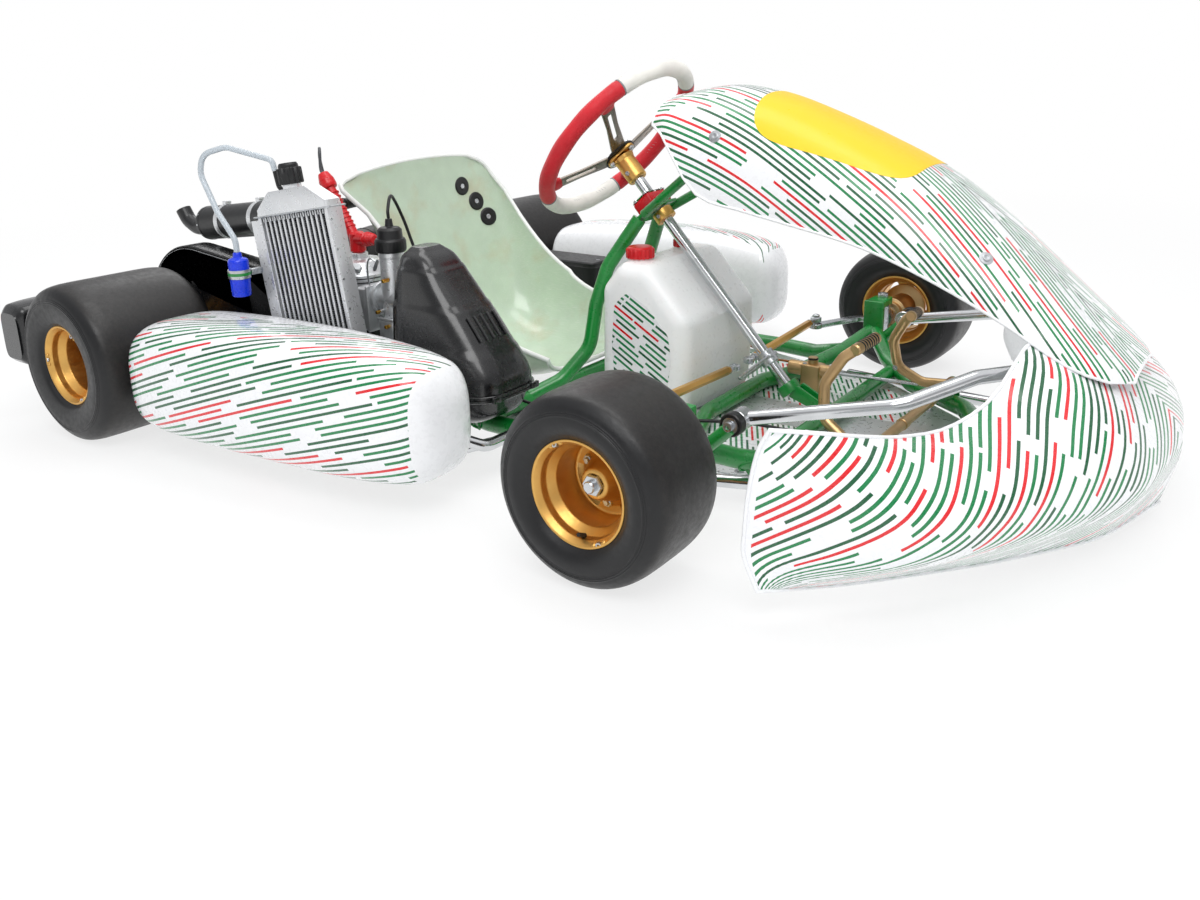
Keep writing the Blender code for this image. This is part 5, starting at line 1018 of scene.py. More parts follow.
# Spokes of the steering wheel: ground steel under a thin grey oxide
def spoke_steel():
    return finish("Grey-coated spoke steel", colour("#8B847C"), 0.30, 0.7, 0.008, {"Metallic": 0.9},
                  (0.2, 1, 1), 0.10)


def barred(name, along, up, row, limits=(), mirror=None):
    """White skin printed with staggered slanted bars in two greens and a little red.

    Bars follow each other in the direction along, and stretch in the direction up in rows of this
    height, on the print map, or on the kart's own axes for a flat film. A mirror is the axis of the
    map that repeats about its middle. Each limit is an axis of the kart, or 3 or 4 for one of the map,
    with its least and greatest value; outside it the skin is plain.
    """

    def pattern(tree, place):
        parts = list(add(tree, "SeparateXYZ", {0: place}).outputs)
        spot = place
        if len(along) == 2:
            spot = add(tree, "UVMap", uv_map="print").outputs[0]
            parts += list(add(tree, "SeparateXYZ", {0: spot}).outputs)
        if mirror is not None:
            flat = list(add(tree, "SeparateXYZ", {0: spot}).outputs)
            flat[mirror] = add(tree, "Math", {0: flat[mirror]}, operation="ABSOLUTE").outputs[0]
            spot = add(tree, "CombineXYZ", {0: flat[0], 1: flat[1]}).outputs[0]
        pitch = size("bar_pitch")
        way = [component / pitch for component in (*along, 0.0)[:3]]
        run = add(tree, "VectorMath", {0: spot, 1: way}, operation="DOT_PRODUCT").outputs["Value"]
        column = add(tree, "Math", {0: run}, operation="FLOOR").outputs[0]
        luck = add(tree, "TexWhiteNoise", {"W": column}, noise_dimensions="1D").outputs["Value"]
        way = [component / row for component in (*up, 0.0)[:3]]
        rise = add(tree, "VectorMath", {0: spot, 1: way}, operation="DOT_PRODUCT").outputs["Value"]
        level = add(tree, "Math", {0: rise, 1: luck}, operation="ADD").outputs[0]
        storey = add(tree, "Math", {0: level}, operation="FLOOR").outputs[0]
        cell = add(tree, "CombineXYZ", {0: column, 1: storey}).outputs[0]
        dice = add(tree, "TexWhiteNoise", {"Vector": cell}, noise_dimensions="2D").outputs
        within = add(tree, "Math", {0: run}, operation="FRACT").outputs[0]
        share = size("bar_width") / pitch
        mask = add(tree, "Math", {0: within, 1: share}, operation="LESS_THAN").outputs[0]
        along_bar = add(tree, "Math", {0: level}, operation="FRACT").outputs[0]
        reach = add(tree, "MapRange", {0: dice["Value"], 3: 0.66, 4: 0.97}).outputs[0]
        short = add(tree, "Math", {0: along_bar, 1: reach}, operation="LESS_THAN").outputs[0]
        mask = add(tree, "Math", {0: mask, 1: short}, operation="MULTIPLY").outputs[0]
        for axis, least, most in limits:
            above = add(tree, "Math", {0: parts[axis], 1: least}, operation="GREATER_THAN").outputs[0]
            below = add(tree, "Math", {0: parts[axis], 1: most}, operation="LESS_THAN").outputs[0]
            mask = add(tree, "Math", {0: mask, 1: above}, operation="MULTIPLY").outputs[0]
            mask = add(tree, "Math", {0: mask, 1: below}, operation="MULTIPLY").outputs[0]
        picks = add(tree, "SeparateColor", {0: dice["Color"]}).outputs
        second = add(tree, "Math", {0: picks[1], 1: 0.62}, operation="GREATER_THAN").outputs[0]
        accent = add(tree, "Math", {0: picks[2], 1: 0.84}, operation="GREATER_THAN").outputs[0]
        greens = {0: second, COLOUR_A: tint("bar_green"), COLOUR_B: tint("bar_dark")}
        green = add(tree, "Mix", greens, data_type="RGBA").outputs[MIXED_COLOUR]
        inks = {0: accent, COLOUR_A: green, COLOUR_B: tint("bar_red")}
        ink = add(tree, "Mix", inks, data_type="RGBA").outputs[MIXED_COLOUR]
        inked = {0: mask, COLOUR_A: tint("body_white"), COLOUR_B: ink}
        return add(tree, "Mix", inked, data_type="RGBA").outputs[MIXED_COLOUR]

    return finish(name, None, 0.28, 24.0, 0.018, GLOSS_SKIN, blotch=0.02, pattern=pattern)


# Limit that keeps the print on the outer side of a walled sheet
PRINTED_SIDE = (3, -OFF_PRINT / 2, OFF_PRINT / 2)


def pod_skin():
    limits = [(0, -0.515, 0.076), (4, -0.185, 0.185)]
    return barred("Printed pod skin", (-0.30, 0.954), (0.954, 0.30), 0.240, limits)


def nose_skin():
    return barred("Printed nose skin", (-0.57, 0.82), (0.82, 0.57), 0.230,
                  [(1, -0.5478, 0.5478), PRINTED_SIDE], 0)


def panel_skin():
    return barred("Printed panel skin", (-0.26, 0.965), (0.965, 0.26), 0.260, [PRINTED_SIDE], 1)


def patch_film():
    return barred("Printed film patch", (0.50, 0.0, 0.86), (1.0, 0.0, -0.6), 0.080)


def tray_film():
    return barred("Printed tray film", (1.0, 0.55, 0.0), (-0.5, 1.0, 0.0), 0.090)


# Chassis


def rail_route(side):
    """Route of a frame rail: down from the rear bumper, level and outwards, then up to the column."""
    route = [
        (-HALF_LENGTH + BUMPER_DEPTH + GAP, RAIL_Y, 0.140),
        (-0.835, RAIL_Y, 0.140),
        (-0.795, RAIL_Y, FRAME_Z),
        (-0.130, RAIL_Y, FRAME_Z),
        (-0.010, RAIL_WIDE_Y, FRAME_Z),
        (0.190, RAIL_WIDE_Y, FRAME_Z),
        (0.280, 0.308, 0.067),
        (0.345, 0.283, 0.086),
    ]
    return [mirrored(p, side) for p in route]


def panel_bolt():
    """Seat of the front panel's bolt on its inner face, and the outward way there."""
    x, half = 0.287, read_off(PANEL_HALF, 0.287)[0]
    y = half * math.sin(0.70 * 0.45 * math.pi) / math.sin(0.45 * math.pi)
    bolt = panel_point(x, 0.70)
    ahead, beside = panel_point(x + 0.01, 0.70) - bolt, panel_point(x, 0.75) - bolt
    normal = beside.cross(ahead).normalized()
    normal = normal if normal.z > 0 else -normal
    return Vector((x, y, bolt.z)) - normal * (SHELL_WALL + GAP), normal


def panel_point(x, v):
    """Point of the front panel's skin: v runs from the right edge at -1 to the left edge at 1."""
    ridge, edge, half = (read_off(table, x)[0] for table in (PANEL_RIDGE, PANEL_EDGE, PANEL_HALF))
    y = half * math.sin(v * 0.45 * math.pi) / math.sin(0.45 * math.pi)
    return Vector((x, y, ridge + (edge - ridge) * abs(v) ** 2.4))


def frame_tubes():
    """Every tube of the chassis as (route, radius, bend)."""
    nose_loop = [(0.380, KINGPIN_Y - 0.046, 0.110), (0.430, 0.292, 0.080), (0.500, 0.225, FRAME_Z)]
    nose_loop += [(0.620, 0.140, FRAME_Z), (0.655, 0.080, FRAME_Z)]
    yoke_loop = [(0.372, KINGPIN_Y - 0.046, 0.112), (0.345, 0.281, 0.086), (0.300, 0.190, FRAME_Z)]
    yoke_loop.append((0.268, 0.100, FRAME_Z))
    tubes = [(across(nose_loop), TUBE_R, BEND_R), (across(yoke_loop), CROSS_R, BEND_R)]
    tubes.append((across([(0.448, 0.285, 0.066)]), CROSS_R - 0.001, 0.0))
    tubes.append((across([(-0.030, RAIL_WIDE_Y, FRAME_Z)]), CROSS_R, 0.0))
    tubes.append((across([(-0.560, RAIL_Y, FRAME_Z)]), CROSS_R, 0.0))
    bolt, normal = panel_bolt()
    for side in (LEFT, RIGHT):
        leg = [(0.092, 0.034, 0.364), (0.045, 0.066, 0.280), (0.034, 0.088, 0.215), (0.030, 0.104, 0.140)]
        leg += [(0.002, 0.150, 0.088), (-0.030, 0.205, 0.066)]
        arm = [(0.106, 0.041, 0.374), (0.150, 0.062, 0.402), bolt - normal * 0.030, bolt - normal * 0.0005]
        post = [(SEAT_POST_X, RAIL_Y + 0.010, 0.066), (SEAT_POST_X, 0.270, 0.110)]
        post += [(SEAT_POST_X, 0.225, SEAT_POST_Z), (SEAT_POST_X, seat_side_y() + GAP, SEAT_POST_Z)]
        lug = [(0.400, 0.352, 0.104), (LUG[0], 0.352, LUG[1] - 0.003)]
        routes = [(leg, 0.0125, BEND_R), (arm, 0.008, 0.03), (post, SEAT_POST_R, 0.02), (lug, 0.010, 0.0)]
        tubes.append((rail_route(side), TUBE_R, BEND_R))
        tubes += [([mirrored(p, side) for p in route], radius, bend) for route, radius, bend in routes]
    return tubes


def seat_side_y():
    """Half-width of the seat's outside at the height of its posts."""
    row = seat_row(SEAT_POST_X)
    for v in (step / 200 for step in range(100, 200)):
        point = seat_point(row, v)
        if point.z > SEAT_POST_Z:
            return point.y
    return point.y


def seat_row(x):
    """Station of the seat whose middle lies at this x, on the way forwards of the lowest part."""
    stations = sorted(SEAT_STATIONS[:6])
    return [x, *read_off(stations, x)]


def seat_point(station, v):
    """Point of the seat's outer skin: v runs from -1 at the right rim to 1 at the left rim."""
    x, z, half, depth, tilt = station
    up = Vector((math.sin(math.radians(tilt)), 0.0, math.cos(math.radians(tilt))))
    spread = math.sin(v * 0.48 * math.pi) / math.sin(0.48 * math.pi)
    return Vector((x, half * spread, z)) + up * depth * abs(v) ** 3.2


def frame_welds():
    """Beads where the chassis tubes meet, as meshes."""
    bead = size("weld_bead")
    level, sideways = Vector((1.0, 0.0, 0.0)), Vector((0.0, 1.0, 0.0))
    made = []
    for side in (LEFT, RIGHT):
        joints = [
            ((-0.030, (RAIL_WIDE_Y - 0.020) * side, FRAME_Z), (0, side, 0), CROSS_R,
             (-0.030, (RAIL_WIDE_Y - 0.003) * side, FRAME_Z), (0.96, 0.28 * side, 0), TUBE_R),
            ((-0.560, (RAIL_Y - 0.020) * side, FRAME_Z), (0, side, 0), CROSS_R,
             (-0.560, RAIL_Y * side, FRAME_Z), level, TUBE_R),
            ((0.448, 0.262 * side, 0.066), (0, side, 0), CROSS_R - 0.001,
             (0.445, 0.277 * side, 0.0745), (0.70, -0.67 * side, -0.20), TUBE_R),
            ((-0.018, 0.186 * side, 0.0722), (-0.50, 0.86 * side, -0.34), 0.0125,
             (-0.030, 0.2 * side, FRAME_Z), sideways, CROSS_R),
            ((SEAT_POST_X, 0.288 * side, 0.090), (0, 0.67 * side, -0.73), SEAT_POST_R,
             (SEAT_POST_X, 0.313 * side, FRAME_Z), (0.96, 0.28 * side, 0), TUBE_R),
        ]
        for point, way, radius, main, main_way, main_radius in joints:
            made.append(weld(point, way, radius, main, main_way, main_radius, bead))
    return made


def yoke(side):
    """C-shaped yoke that carries a kingpin: its back plate and two rounded jaws."""
    back = (FRONT_AXLE_X, (KINGPIN_Y - 0.044) * side, YOKE_Z)
    steel = [box((0.038, 0.012, 0.088), back, edge=0.0025)]
    for over in (LEFT, RIGHT):
        z = YOKE_Z + over * (YOKE_GAP / 2 + YOKE_JAW / 2)
        outline = [(-0.018, -0.038), (0.018, -0.038), (0.018, 0.006)]
        outline += arc((0.0, 0.006), 0.018, 10, 170, 12) + [(-0.018, 0.006)]
        jaw = [(FRONT_AXLE_X + x, (KINGPIN_Y + y - 0.006) * side) for x, y in outline]
        steel.append(plate(jaw, YOKE_JAW, shift(0.0, 0.0, z), 0.0015))
    return steel


def bracket_ring():
    """Lower bearing of the column with its gussets."""
    axis = column_axis()
    ring = [(COLUMN_R + 0.0012, -0.009), (0.019, -0.009), (0.019, 0.009), (COLUMN_R + 0.0012, 0.009)]
    pieces = [turned(ring, axis_matrix(on_column(0.0), axis), 48, 0.0012, 3)]
    for y in (-0.010, 0.010):
        outline = rounded([(0.452, 0.056), (0.446, 0.074), (0.388, 0.104), (0.372, 0.083)], 0.003, 3, True)
        pieces.append(plate(outline, 0.005, side_plane(y), 0.0008))
    return pieces


def pedal_ears(side):
    """Pair of ears that hold a pedal's pin."""
    pieces = []
    for offset in (-EAR_OFFSET, EAR_OFFSET):
        outline = [(0.014, -0.028), *arc((0.0, 0.0), 0.010, 5, 175, 14), (-0.014, -0.028)]
        matrix = shift(PEDAL_X, PEDAL_Y * side + offset, PEDAL_Z) @ Matrix.Rotation(math.pi / 2, 4, "X")
        pieces.append(plate(outline, EAR_THICK, matrix, 0.0006))
    return pieces


def build_frame():
    """Welded tube frame with its yokes, brackets, lugs and pedal pins."""
    green, bead, zinc = powder_coat(), coated_weld(), plated_steel()
    parts = []
    for route, radius, bend in frame_tubes():
        parts.append((tube(rounded(route, bend, 9) if bend else route, radius, 32), green))
    parts += [(mesh, bead) for mesh in frame_welds()]
    parts += [(mesh, green) for mesh in bracket_ring()]
    head = on_column(HEAD_AT)
    outline = rounded([(-0.034, -0.044), (0.018, -0.044), (0.018, 0.044), (-0.034, 0.044)], 0.010, 5, True)
    parts.append((plate(outline, 0.006, axis_matrix(head, column_axis(), (0, 1, 0)), 0.001), green))
    for side in (LEFT, RIGHT):
        parts += [(mesh, green) for mesh in yoke(side) + pedal_ears(side)]
        y = PEDAL_Y * side
        pin = rod((PEDAL_X, y - 0.020, PEDAL_Z), (PEDAL_X, y + 0.020, PEDAL_Z), PEDAL_PIN_R)
        parts.append((pin, zinc))
        parts.append((nut((PEDAL_X, y - 0.0178, PEDAL_Z), (0, -1, 0), 0.0062, 0.0040), zinc))
        parts.append((screw((PEDAL_X, y + 0.0178, PEDAL_Z), (0, 1, 0), 0.0062, 0.0045), zinc))
        lug_end = (LUG[0], (LUG_Y + LUG_LENGTH) * side, LUG[1])
        lug = rod((LUG[0], LUG_Y * side, LUG[1]), lug_end, 0.017, edge=0.0015)
        parts.append((lug, satin_plastic()))
        parts.append((screw(lug_end, (0, side, 0), 0.0070, washer=0.0115), zinc))
        parts += seat_post_parts(side, zinc)
        parts += hanger_parts(side, green)
    gather("frame_tubes", "chassis", parts, ("frame",))


def seat_post_parts(side, zinc):
    """Flange and nut where a post carries the seat."""
    y = (seat_side_y() + 0.0016) * side
    flange_end = (SEAT_POST_X, y + 0.0035 * side, SEAT_POST_Z)
    flange = rod((SEAT_POST_X, y, SEAT_POST_Z), flange_end, 0.0165, edge=0.001)
    hex_nut = nut(flange_end, (0, side, 0), 0.0105, 0.0020, 0.002)
    return [(flange, zinc), (hex_nut, zinc)]


def hanger_parts(side, green):
    """Hanger plate under a bearing carrier."""
    outline = [(REAR_AXLE_X - 0.046, 0.0680), (REAR_AXLE_X + 0.046, 0.0680)]
    outline += [(REAR_AXLE_X + 0.046, 0.0768), (REAR_AXLE_X - 0.046, 0.0768)]
    return [(plate(rounded(outline, 0.002, 3, True), 0.026, side_plane(RAIL_Y * side), 0.001), green)]


def build_tray():
    """Flat aluminium tray with its screws and printed films."""
    half = [(-0.045, 0.325), (0.185, 0.325), (0.320, 0.285), (0.420, 0.275), (0.520, 0.205), (0.630, 0.120)]
    outline = rounded(half + [(x, -y) for x, y in reversed(half)], 0.018, 5, True)
    z = FRAME_Z - TUBE_R - TRAY_THICK / 2 - GAP
    tray = plate(outline, TRAY_THICK, shift(0.0, 0.0, z), 0.0007)
    parts = [(tray, machined_aluminium())]
    film = [(0.10, 0.300), (0.178, 0.300), (0.312, 0.262), (0.405, 0.252), (0.505, 0.185), (0.560, 0.145)]
    film += [(0.545, 0.06), (0.40, 0.05), (0.32, 0.06), (0.10, 0.06)]
    for side in (LEFT, RIGHT):
        flat = rounded([(x, y * side) for x, y in film], 0.015, 5, True)
        parts.append((plate(flat, 0.00025, shift(0.0, 0.0, z + TRAY_THICK / 2 + 0.00013), 0.0),
                      tray_film()))
        for x, y in ((0.0, 0.312), (0.170, 0.312), (0.415, 0.263), (0.56, 0.145)):
            head = screw((x, y * side, z + TRAY_THICK / 2), (0, 0, 1), 0.0042, 0.0016, 0.007)
            parts.append((head, plated_steel()))
    gather("floor_tray_sheet", "chassis", parts, ("floor_tray",))


def build_rear_bumper():
    """Moulded rear bumper: rounded ends, a waist groove and two screws on each side."""
    stations = [(0.655, 0.060, 0.110, 0.198), (0.640, 0.074, 0.098, 0.212), (0.550, 0.078, 0.094, 0.216)]
    stations += [(0.465, 0.078, 0.098, 0.212), (0.400, 0.078, 0.108, 0.190), (0.0, 0.078, 0.108, 0.190)]
    rows = sorted(stations)
    rings = []
    count = 72
    for step in range(-count, count + 1):
        share = math.sin(step / count * math.pi / 2)
        y = 0.655 * share
        depth, low, high = read_off(rows, abs(y))
        inset = 0.008 * max(0.0, (abs(y) - 0.640) / 0.015) ** 2
        ring = superellipse(depth / 2, (high - low) / 2, 5.0, 48)
        middle = (low + high) / 2
        waist = 0.0022 if 0.45 < abs(y) < 0.634 else 0.0
        placed = []
        for dx, dz in ring:
            groove = waist * math.exp(-((dz / 0.006) ** 2)) if dx < 0 else 0.0
            placed.append((-HALF_LENGTH + inset + depth / 2 + dx + groove, y, middle + dz))
        rings.append(placed)
    parts = [(skin(rings), glossy_plastic())]
    for side in (LEFT, RIGHT):
        for y in (0.284, 0.316):
            spot = (-HALF_LENGTH + 0.0012, y * side, 0.149)
            parts.append((screw(spot, (-1, 0, 0), 0.0040, 0.0002), plated_steel()))
    gather("rear_bumper_moulding", "chassis", parts, ("rear_bumper",))


def build_front_bumper():
    """Polished tube bumper with its uprights and end eyes."""
    upper = [(LUG[0], 0.322, LUG[1]), (0.655, 0.285, 0.200), (0.725, 0.205, 0.228), (0.800, 0.120, 0.232)]
    lower = [(0.352, 0.300, 0.0358), (0.560, 0.250, 0.045), (0.720, 0.170, 0.070), (0.775, 0.120, 0.078)]
    upright_y, top, foot, weld_lift = 0.085, (0.800, 0.232), (0.773, 0.078), 0.0098
    chrome, zinc = polished_steel(), plated_steel()
    parts = [(tube(rounded(across(bar), 0.05, 10), BUMPER_BAR_R, 28), chrome) for bar in (upper, lower)]
    for side in (LEFT, RIGHT):
        y = upright_y * side
        parts.append((rod((top[0], y, top[1]), (foot[0], y, foot[1]), 0.008), chrome))
        eye = rod((LUG[0], 0.312 * side, LUG[1]), (LUG[0], (LUG_Y - GAP) * side, LUG[1]), 0.016,
                  edge=0.0012)
        parts.append((eye, chrome))
        parts.append((nut((LUG[0], 0.3125 * side, LUG[1]), (0, -side, 0), 0.0095, 0.006), zinc))
        for (x, z), lift in ((top, -weld_lift), (foot, weld_lift)):
            ring = [Vector((x, y, z)) + Vector((math.cos(a) * 0.0092, math.sin(a) * 0.0092, 0))
                    for a in (2 * math.pi * k / 24 for k in range(24))]
            parts.append((tube([p + Vector((0, 0, lift)) for p in ring], 0.0016, 8, closed=True), chrome))
    gather("front_bumper_tubes", "chassis", parts, ("front_bumper",))


def build_side_bars():
    """Two polished bars on each side, with the blocks that hold a side pod."""
    for label, side in SIDES:
        y, front_x, rear_x = 0.4535, 0.060, -0.440
        upper = [(front_x, RAIL_WIDE_Y + TUBE_R + GAP, FRAME_Z), (front_x, 0.420, FRAME_Z)]
        upper += [(front_x - 0.030, y, 0.082), (rear_x + 0.040, y, 0.082), (rear_x, 0.420, FRAME_Z)]
        upper.append((rear_x, RAIL_Y + TUBE_R + GAP, FRAME_Z))
        lower = [(front_x - 0.001, 0.385, FRAME_Z - 0.001), (front_x - 0.050, y, 0.052)]
        lower += [(rear_x + 0.060, y, 0.052), (rear_x + 0.001, 0.385, FRAME_Z - 0.001)]
        chrome, zinc = polished_steel(), plated_steel()
        parts = [(tube(rounded([mirrored(p, side) for p in upper], 0.03, 8), 0.0095, 24), chrome)]
        parts.append((tube(rounded([mirrored(p, side) for p in lower], 0.03, 8), 0.0080, 24), chrome))
        clamp_out = POD_INNER_Y - GAP
        for x in (-0.385, -0.015):
            block = box((0.020, clamp_out - y, 0.042), (x, (clamp_out + y) / 2 * side, 0.105), edge=0.002)
            parts.append((block, machined_aluminium()))
            strip = box((0.0205, 0.021, 0.003), (x, y * side, 0.0925), edge=0.0008)
            parts.append((strip, machined_aluminium()))
            parts.append((screw((x, (y - 0.0005) * side, 0.117), (0, -side, 0), 0.0045), zinc))
        gather(f"side_bar_{label}_tubes", "chassis", parts, (f"side_bar_{label}",))


# Wheels


def rim_section(width, web_at, web_thick, centre):
    """Closed section of a rim as (radius, distance out from its inner face)."""
    lip, bead, well, wall = LIP_R, BEAD_R, WELL_R, RIM_WALL
    barrel = [(lip, 0.0), (lip, 0.0030), (bead, 0.0060), (bead, 0.0200), (well, 0.0280),
              (well, width - 0.0280)]
    barrel += [(bead, width - 0.0200), (bead, width - 0.0060), (lip, width - 0.0030), (lip, width)]
    bowl = [(lip - wall, width), (bead - wall, width - 0.0085), (bead - wall, width - 0.0185)]
    bowl += [(well - wall, width - 0.0295), (well - wall, web_at + web_thick)]
    inside = [(well - wall, web_at), (well - wall, 0.0295), (bead - wall, 0.0200), (bead - wall, 0.0080)]
    return barrel + bowl + list(centre) + inside + [(lip - wall, 0.0)]


def bead_screws(radius, out, width, matrix, angles):
    """Screws that hold the tyre's bead, each between two small bosses on the rim's lip."""
    bolts, bosses = [], []
    for degrees in angles:
        a = math.radians(degrees)
        at = on_circle(matrix, radius, a, out + width - 0.0035)
        way = matrix.to_3x3() @ Vector((math.cos(a) * 0.35, math.sin(a) * 0.35, 1.0)).normalized()
        bolts.append(screw(at, way, size("bead_screw"), 0.0034))
        for offset in (-0.13, 0.13):
            b = a + offset
            at = on_circle(matrix, radius, b, out + width - 0.0042)
            bosses.append(rod(at, at + way * 0.0042, 0.0034, 0.0028))
    return bolts, bosses


def window(radius, angle, reach, spread, low, high):
    """Cutter for a kidney-shaped window in a rim's web, as a prism along local Z."""
    outline = []
    for step in range(9):
        a = angle - spread / 2 + spread * step / 8
        outline.append(((radius + reach) * math.cos(a), (radius + reach) * math.sin(a)))
    for step in range(9):
        a = angle + spread / 2 - spread * step / 8
        outline.append(((radius - reach) * math.cos(a), (radius - reach) * math.sin(a)))
    outline = rounded(outline, reach * 0.9, 3, True)
    return plate(outline, high - low, shift(0, 0, (low + high) / 2), 0.0)


def build_front_wheels():
    """Gold front rims with their windows, valve and bead screws, on bronze hubs, and their tyres."""
    for label, side in SIDES:
        matrix = wheel_matrix(FRONT_AXLE_X, FRONT_TYRE_R, side)
        centre = (FRONT_AXLE_X, 0.0, FRONT_TYRE_R)
        body = f"front_wheel_{label}"
        web_at, web = 0.0555, 0.0035
        bore = 0.0135
        cone = [(0.040, web_at + web), (0.032, web_at + 0.010), (0.0245, 0.082), (0.0200, 0.092),
                (bore, 0.094)]
        cone += [(bore, web_at), (0.036, web_at)]
        section = rounded(rim_section(FRONT_RIM_WIDTH, web_at, web, cone), 0.0045, 4, True)
        lowered = shift(0.0, 0.0, FRONT_RIM_IN)
        rim = turned(section, Matrix(), 160)
        windows = [window(0.0445, math.radians(90 + 120 * k), 0.0062, 1.35, 0.045, 0.070) for k in range(3)]
        rim = moved(cut(rim, *windows), matrix @ lowered)
        bolts, bosses = bead_screws(LIP_R - 0.0045, FRONT_RIM_IN, FRONT_RIM_WIDTH, matrix, (118, 298))
        gold, zinc = gold_rim(), plated_steel()
        parts = [(rim, gold)] + [(mesh, zinc) for mesh in bolts] + [(mesh, gold) for mesh in bosses]
        valve_at = matrix @ Vector((0.0, -(BEAD_R - RIM_WALL - 0.001),
                                    FRONT_RIM_IN + FRONT_RIM_WIDTH - 0.016))
        valve_way = matrix.to_3x3() @ Vector((0.0, 0.45, 0.9)).normalized()
        parts.append((rod(valve_at, valve_at + valve_way * 0.016, 0.0032, 0.0026), hose_rubber()))
        gather(f"front_rim_{label}_turned", body, parts, (f"front_rim_{label}",), centre)
        face = FRONT_RIM_IN + web_at - GAP
        hub = [(bore, 0.434), (0.026, 0.434), (0.026, 0.446), (0.031, 0.448), (0.031, 0.468)]
        hub += [(0.026, face - 0.012), (0.044, face - 0.007), (0.044, face), (bore, face)]
        parts = [(turned(hub, matrix, 96, 0.0012, 3), bronze_anodised())]
        for k in range(3):
            a = math.radians(30 + 120 * k)
            at = on_circle(matrix, 0.034, a, FRONT_RIM_IN + web_at + web)
            out = turned_way(matrix, (0, 0, 1))
            parts.append((nut(at, out, 0.0072, 0.0075, 0.0038), zinc))
        gather(f"front_hub_{label}_turned", body, parts, (f"front_hub_{label}",), centre)
        build_tyre(f"front_tyre_{label}", body, side, centre, FRONT_TYRE_R, FRONT_RIM_IN, FRONT_RIM_WIDTH)


def build_rear_wheels():
    """Gold rear rims with their bead screws, on bronze hubs pinched to the axle, and their tyres."""
    for label, side in SIDES:
        matrix = wheel_matrix(REAR_AXLE_X, REAR_TYRE_R, side)
        centre = (REAR_AXLE_X, 0.0, REAR_TYRE_R)
        web_at, web = 0.0590, 0.0040
        bore = AXLE_R + 0.0015
        hole = [(0.046, web_at + web), (bore, web_at + web), (bore, web_at), (0.046, web_at)]
        section = rounded(rim_section(REAR_RIM_WIDTH, web_at, web, hole), 0.0045, 4, True)
        rim = turned(section, matrix @ shift(0.0, 0.0, REAR_RIM_IN), 160)
        bolts, bosses = bead_screws(LIP_R - 0.0045, REAR_RIM_IN, REAR_RIM_WIDTH, matrix, (60, 180, 300))
        gold, zinc = gold_rim(), plated_steel()
        parts = [(rim, gold)] + [(mesh, zinc) for mesh in bolts] + [(mesh, gold) for mesh in bosses]
        gather(f"rear_rim_{label}_turned", "rear_axle_set", parts, (f"rear_rim_{label}",),
               centre)
        face = REAR_RIM_IN + web_at - GAP
        bored = AXLE_R + GAP
        hub = [(bored, 0.432), (0.036, 0.432), (0.036, face - 0.012), (0.046, face - 0.007)]
        hub += [(0.046, face), (bored, face)]
        parts = [(turned(hub, matrix, 96, 0.0012, 3), bronze_anodised())]
        out = turned_way(matrix, (0, 0, 1))
        for k in range(3):
            a = math.radians(90 + 120 * k)
            at = on_circle(matrix, 0.0385, a, REAR_RIM_IN + web_at + web)
            parts.append((nut(at, out, 0.0070, 0.0080, 0.0038), zinc))
            b = a + 0.5
            pinch = on_circle(matrix, 0.0355, b, 0.446)
            way = turned_way(matrix, (math.cos(b), math.sin(b), 0.0))
            parts.append((screw(pinch, way, 0.0045, 0.0030), zinc))
        gather(f"rear_hub_{label}_turned", "rear_axle_set", parts,
               (f"rear_hub_{label}",), centre)
        args = (side, centre, REAR_TYRE_R, REAR_RIM_IN, REAR_RIM_WIDTH)
        build_tyre(f"rear_tyre_{label}", "rear_axle_set", *args)


def build_tyre(name, body, side, centre, radius, rim_in, rim_width):
    """Slick tyre: rolled beads, moulded side-wall ribs, a round shoulder and a nearly flat tread."""
    middle = rim_in + rim_width / 2
    mid = rim_width / 2
    half = mid + TYRE_BULGE
    outside = [(BEAD_R + 0.0005, mid - 0.0067), (LIP_R + 0.0012, mid - 0.0001),
               (LIP_R + 0.010, half - 0.0040)]
    outside += [(radius - 0.036, half), (radius - 0.0215, half - 0.0022), (radius - 0.012, half - 0.0072)]
    outside += [(radius - 0.0042, half - 0.0165), (radius - 0.0008, half - 0.034), (radius, half - 0.060)]
    points = [(p[0], p[1]) for p in through([(r, t, 0.0) for r, t in outside], 9)]
    rib_radii = [radius * share for share in (0.800, 0.822, 0.844)]
    dense = []
    for (r1, t1), (r2, t2) in zip(points, points[1:]):
        pieces = max(1, int(abs(r2 - r1) / 0.0006)) if radius * 0.78 < r1 < radius * 0.87 else 1
        for k in range(pieces):
            r, t = r1 + (r2 - r1) * k / pieces, t1 + (t2 - t1) * k / pieces
            lift = sum(0.0008 * math.exp(-(((r - rib) / 0.0007) ** 2)) for rib in rib_radii)
            dense.append((r, min(t + lift, half)))
    dense.append(points[-1])
    wall = 0.0055
    inner = [(radius - wall, 0.0), (radius - wall - 0.002, half - 0.045), (radius - 0.030, half - wall)]
    inner += [(LIP_R + 0.008, half - wall - 0.004), (LIP_R + 0.0012, mid - 0.006),
              (BEAD_R + 0.0005, mid - 0.014)]
    section = [(r, middle + t) for r, t in dense] + [(r, middle - t) for r, t in reversed(dense)]
    section += [(r, middle - t) for r, t in reversed(inner)] + [(r, middle + t) for r, t in inner[1:]]
    matrix = wheel_matrix(centre[0], centre[2], side)
    parts = [(turned(section, matrix, 192), slick_tyre(radius))]
    gather(f"{name}_moulding", body, parts, (name,), centre)


# Steering


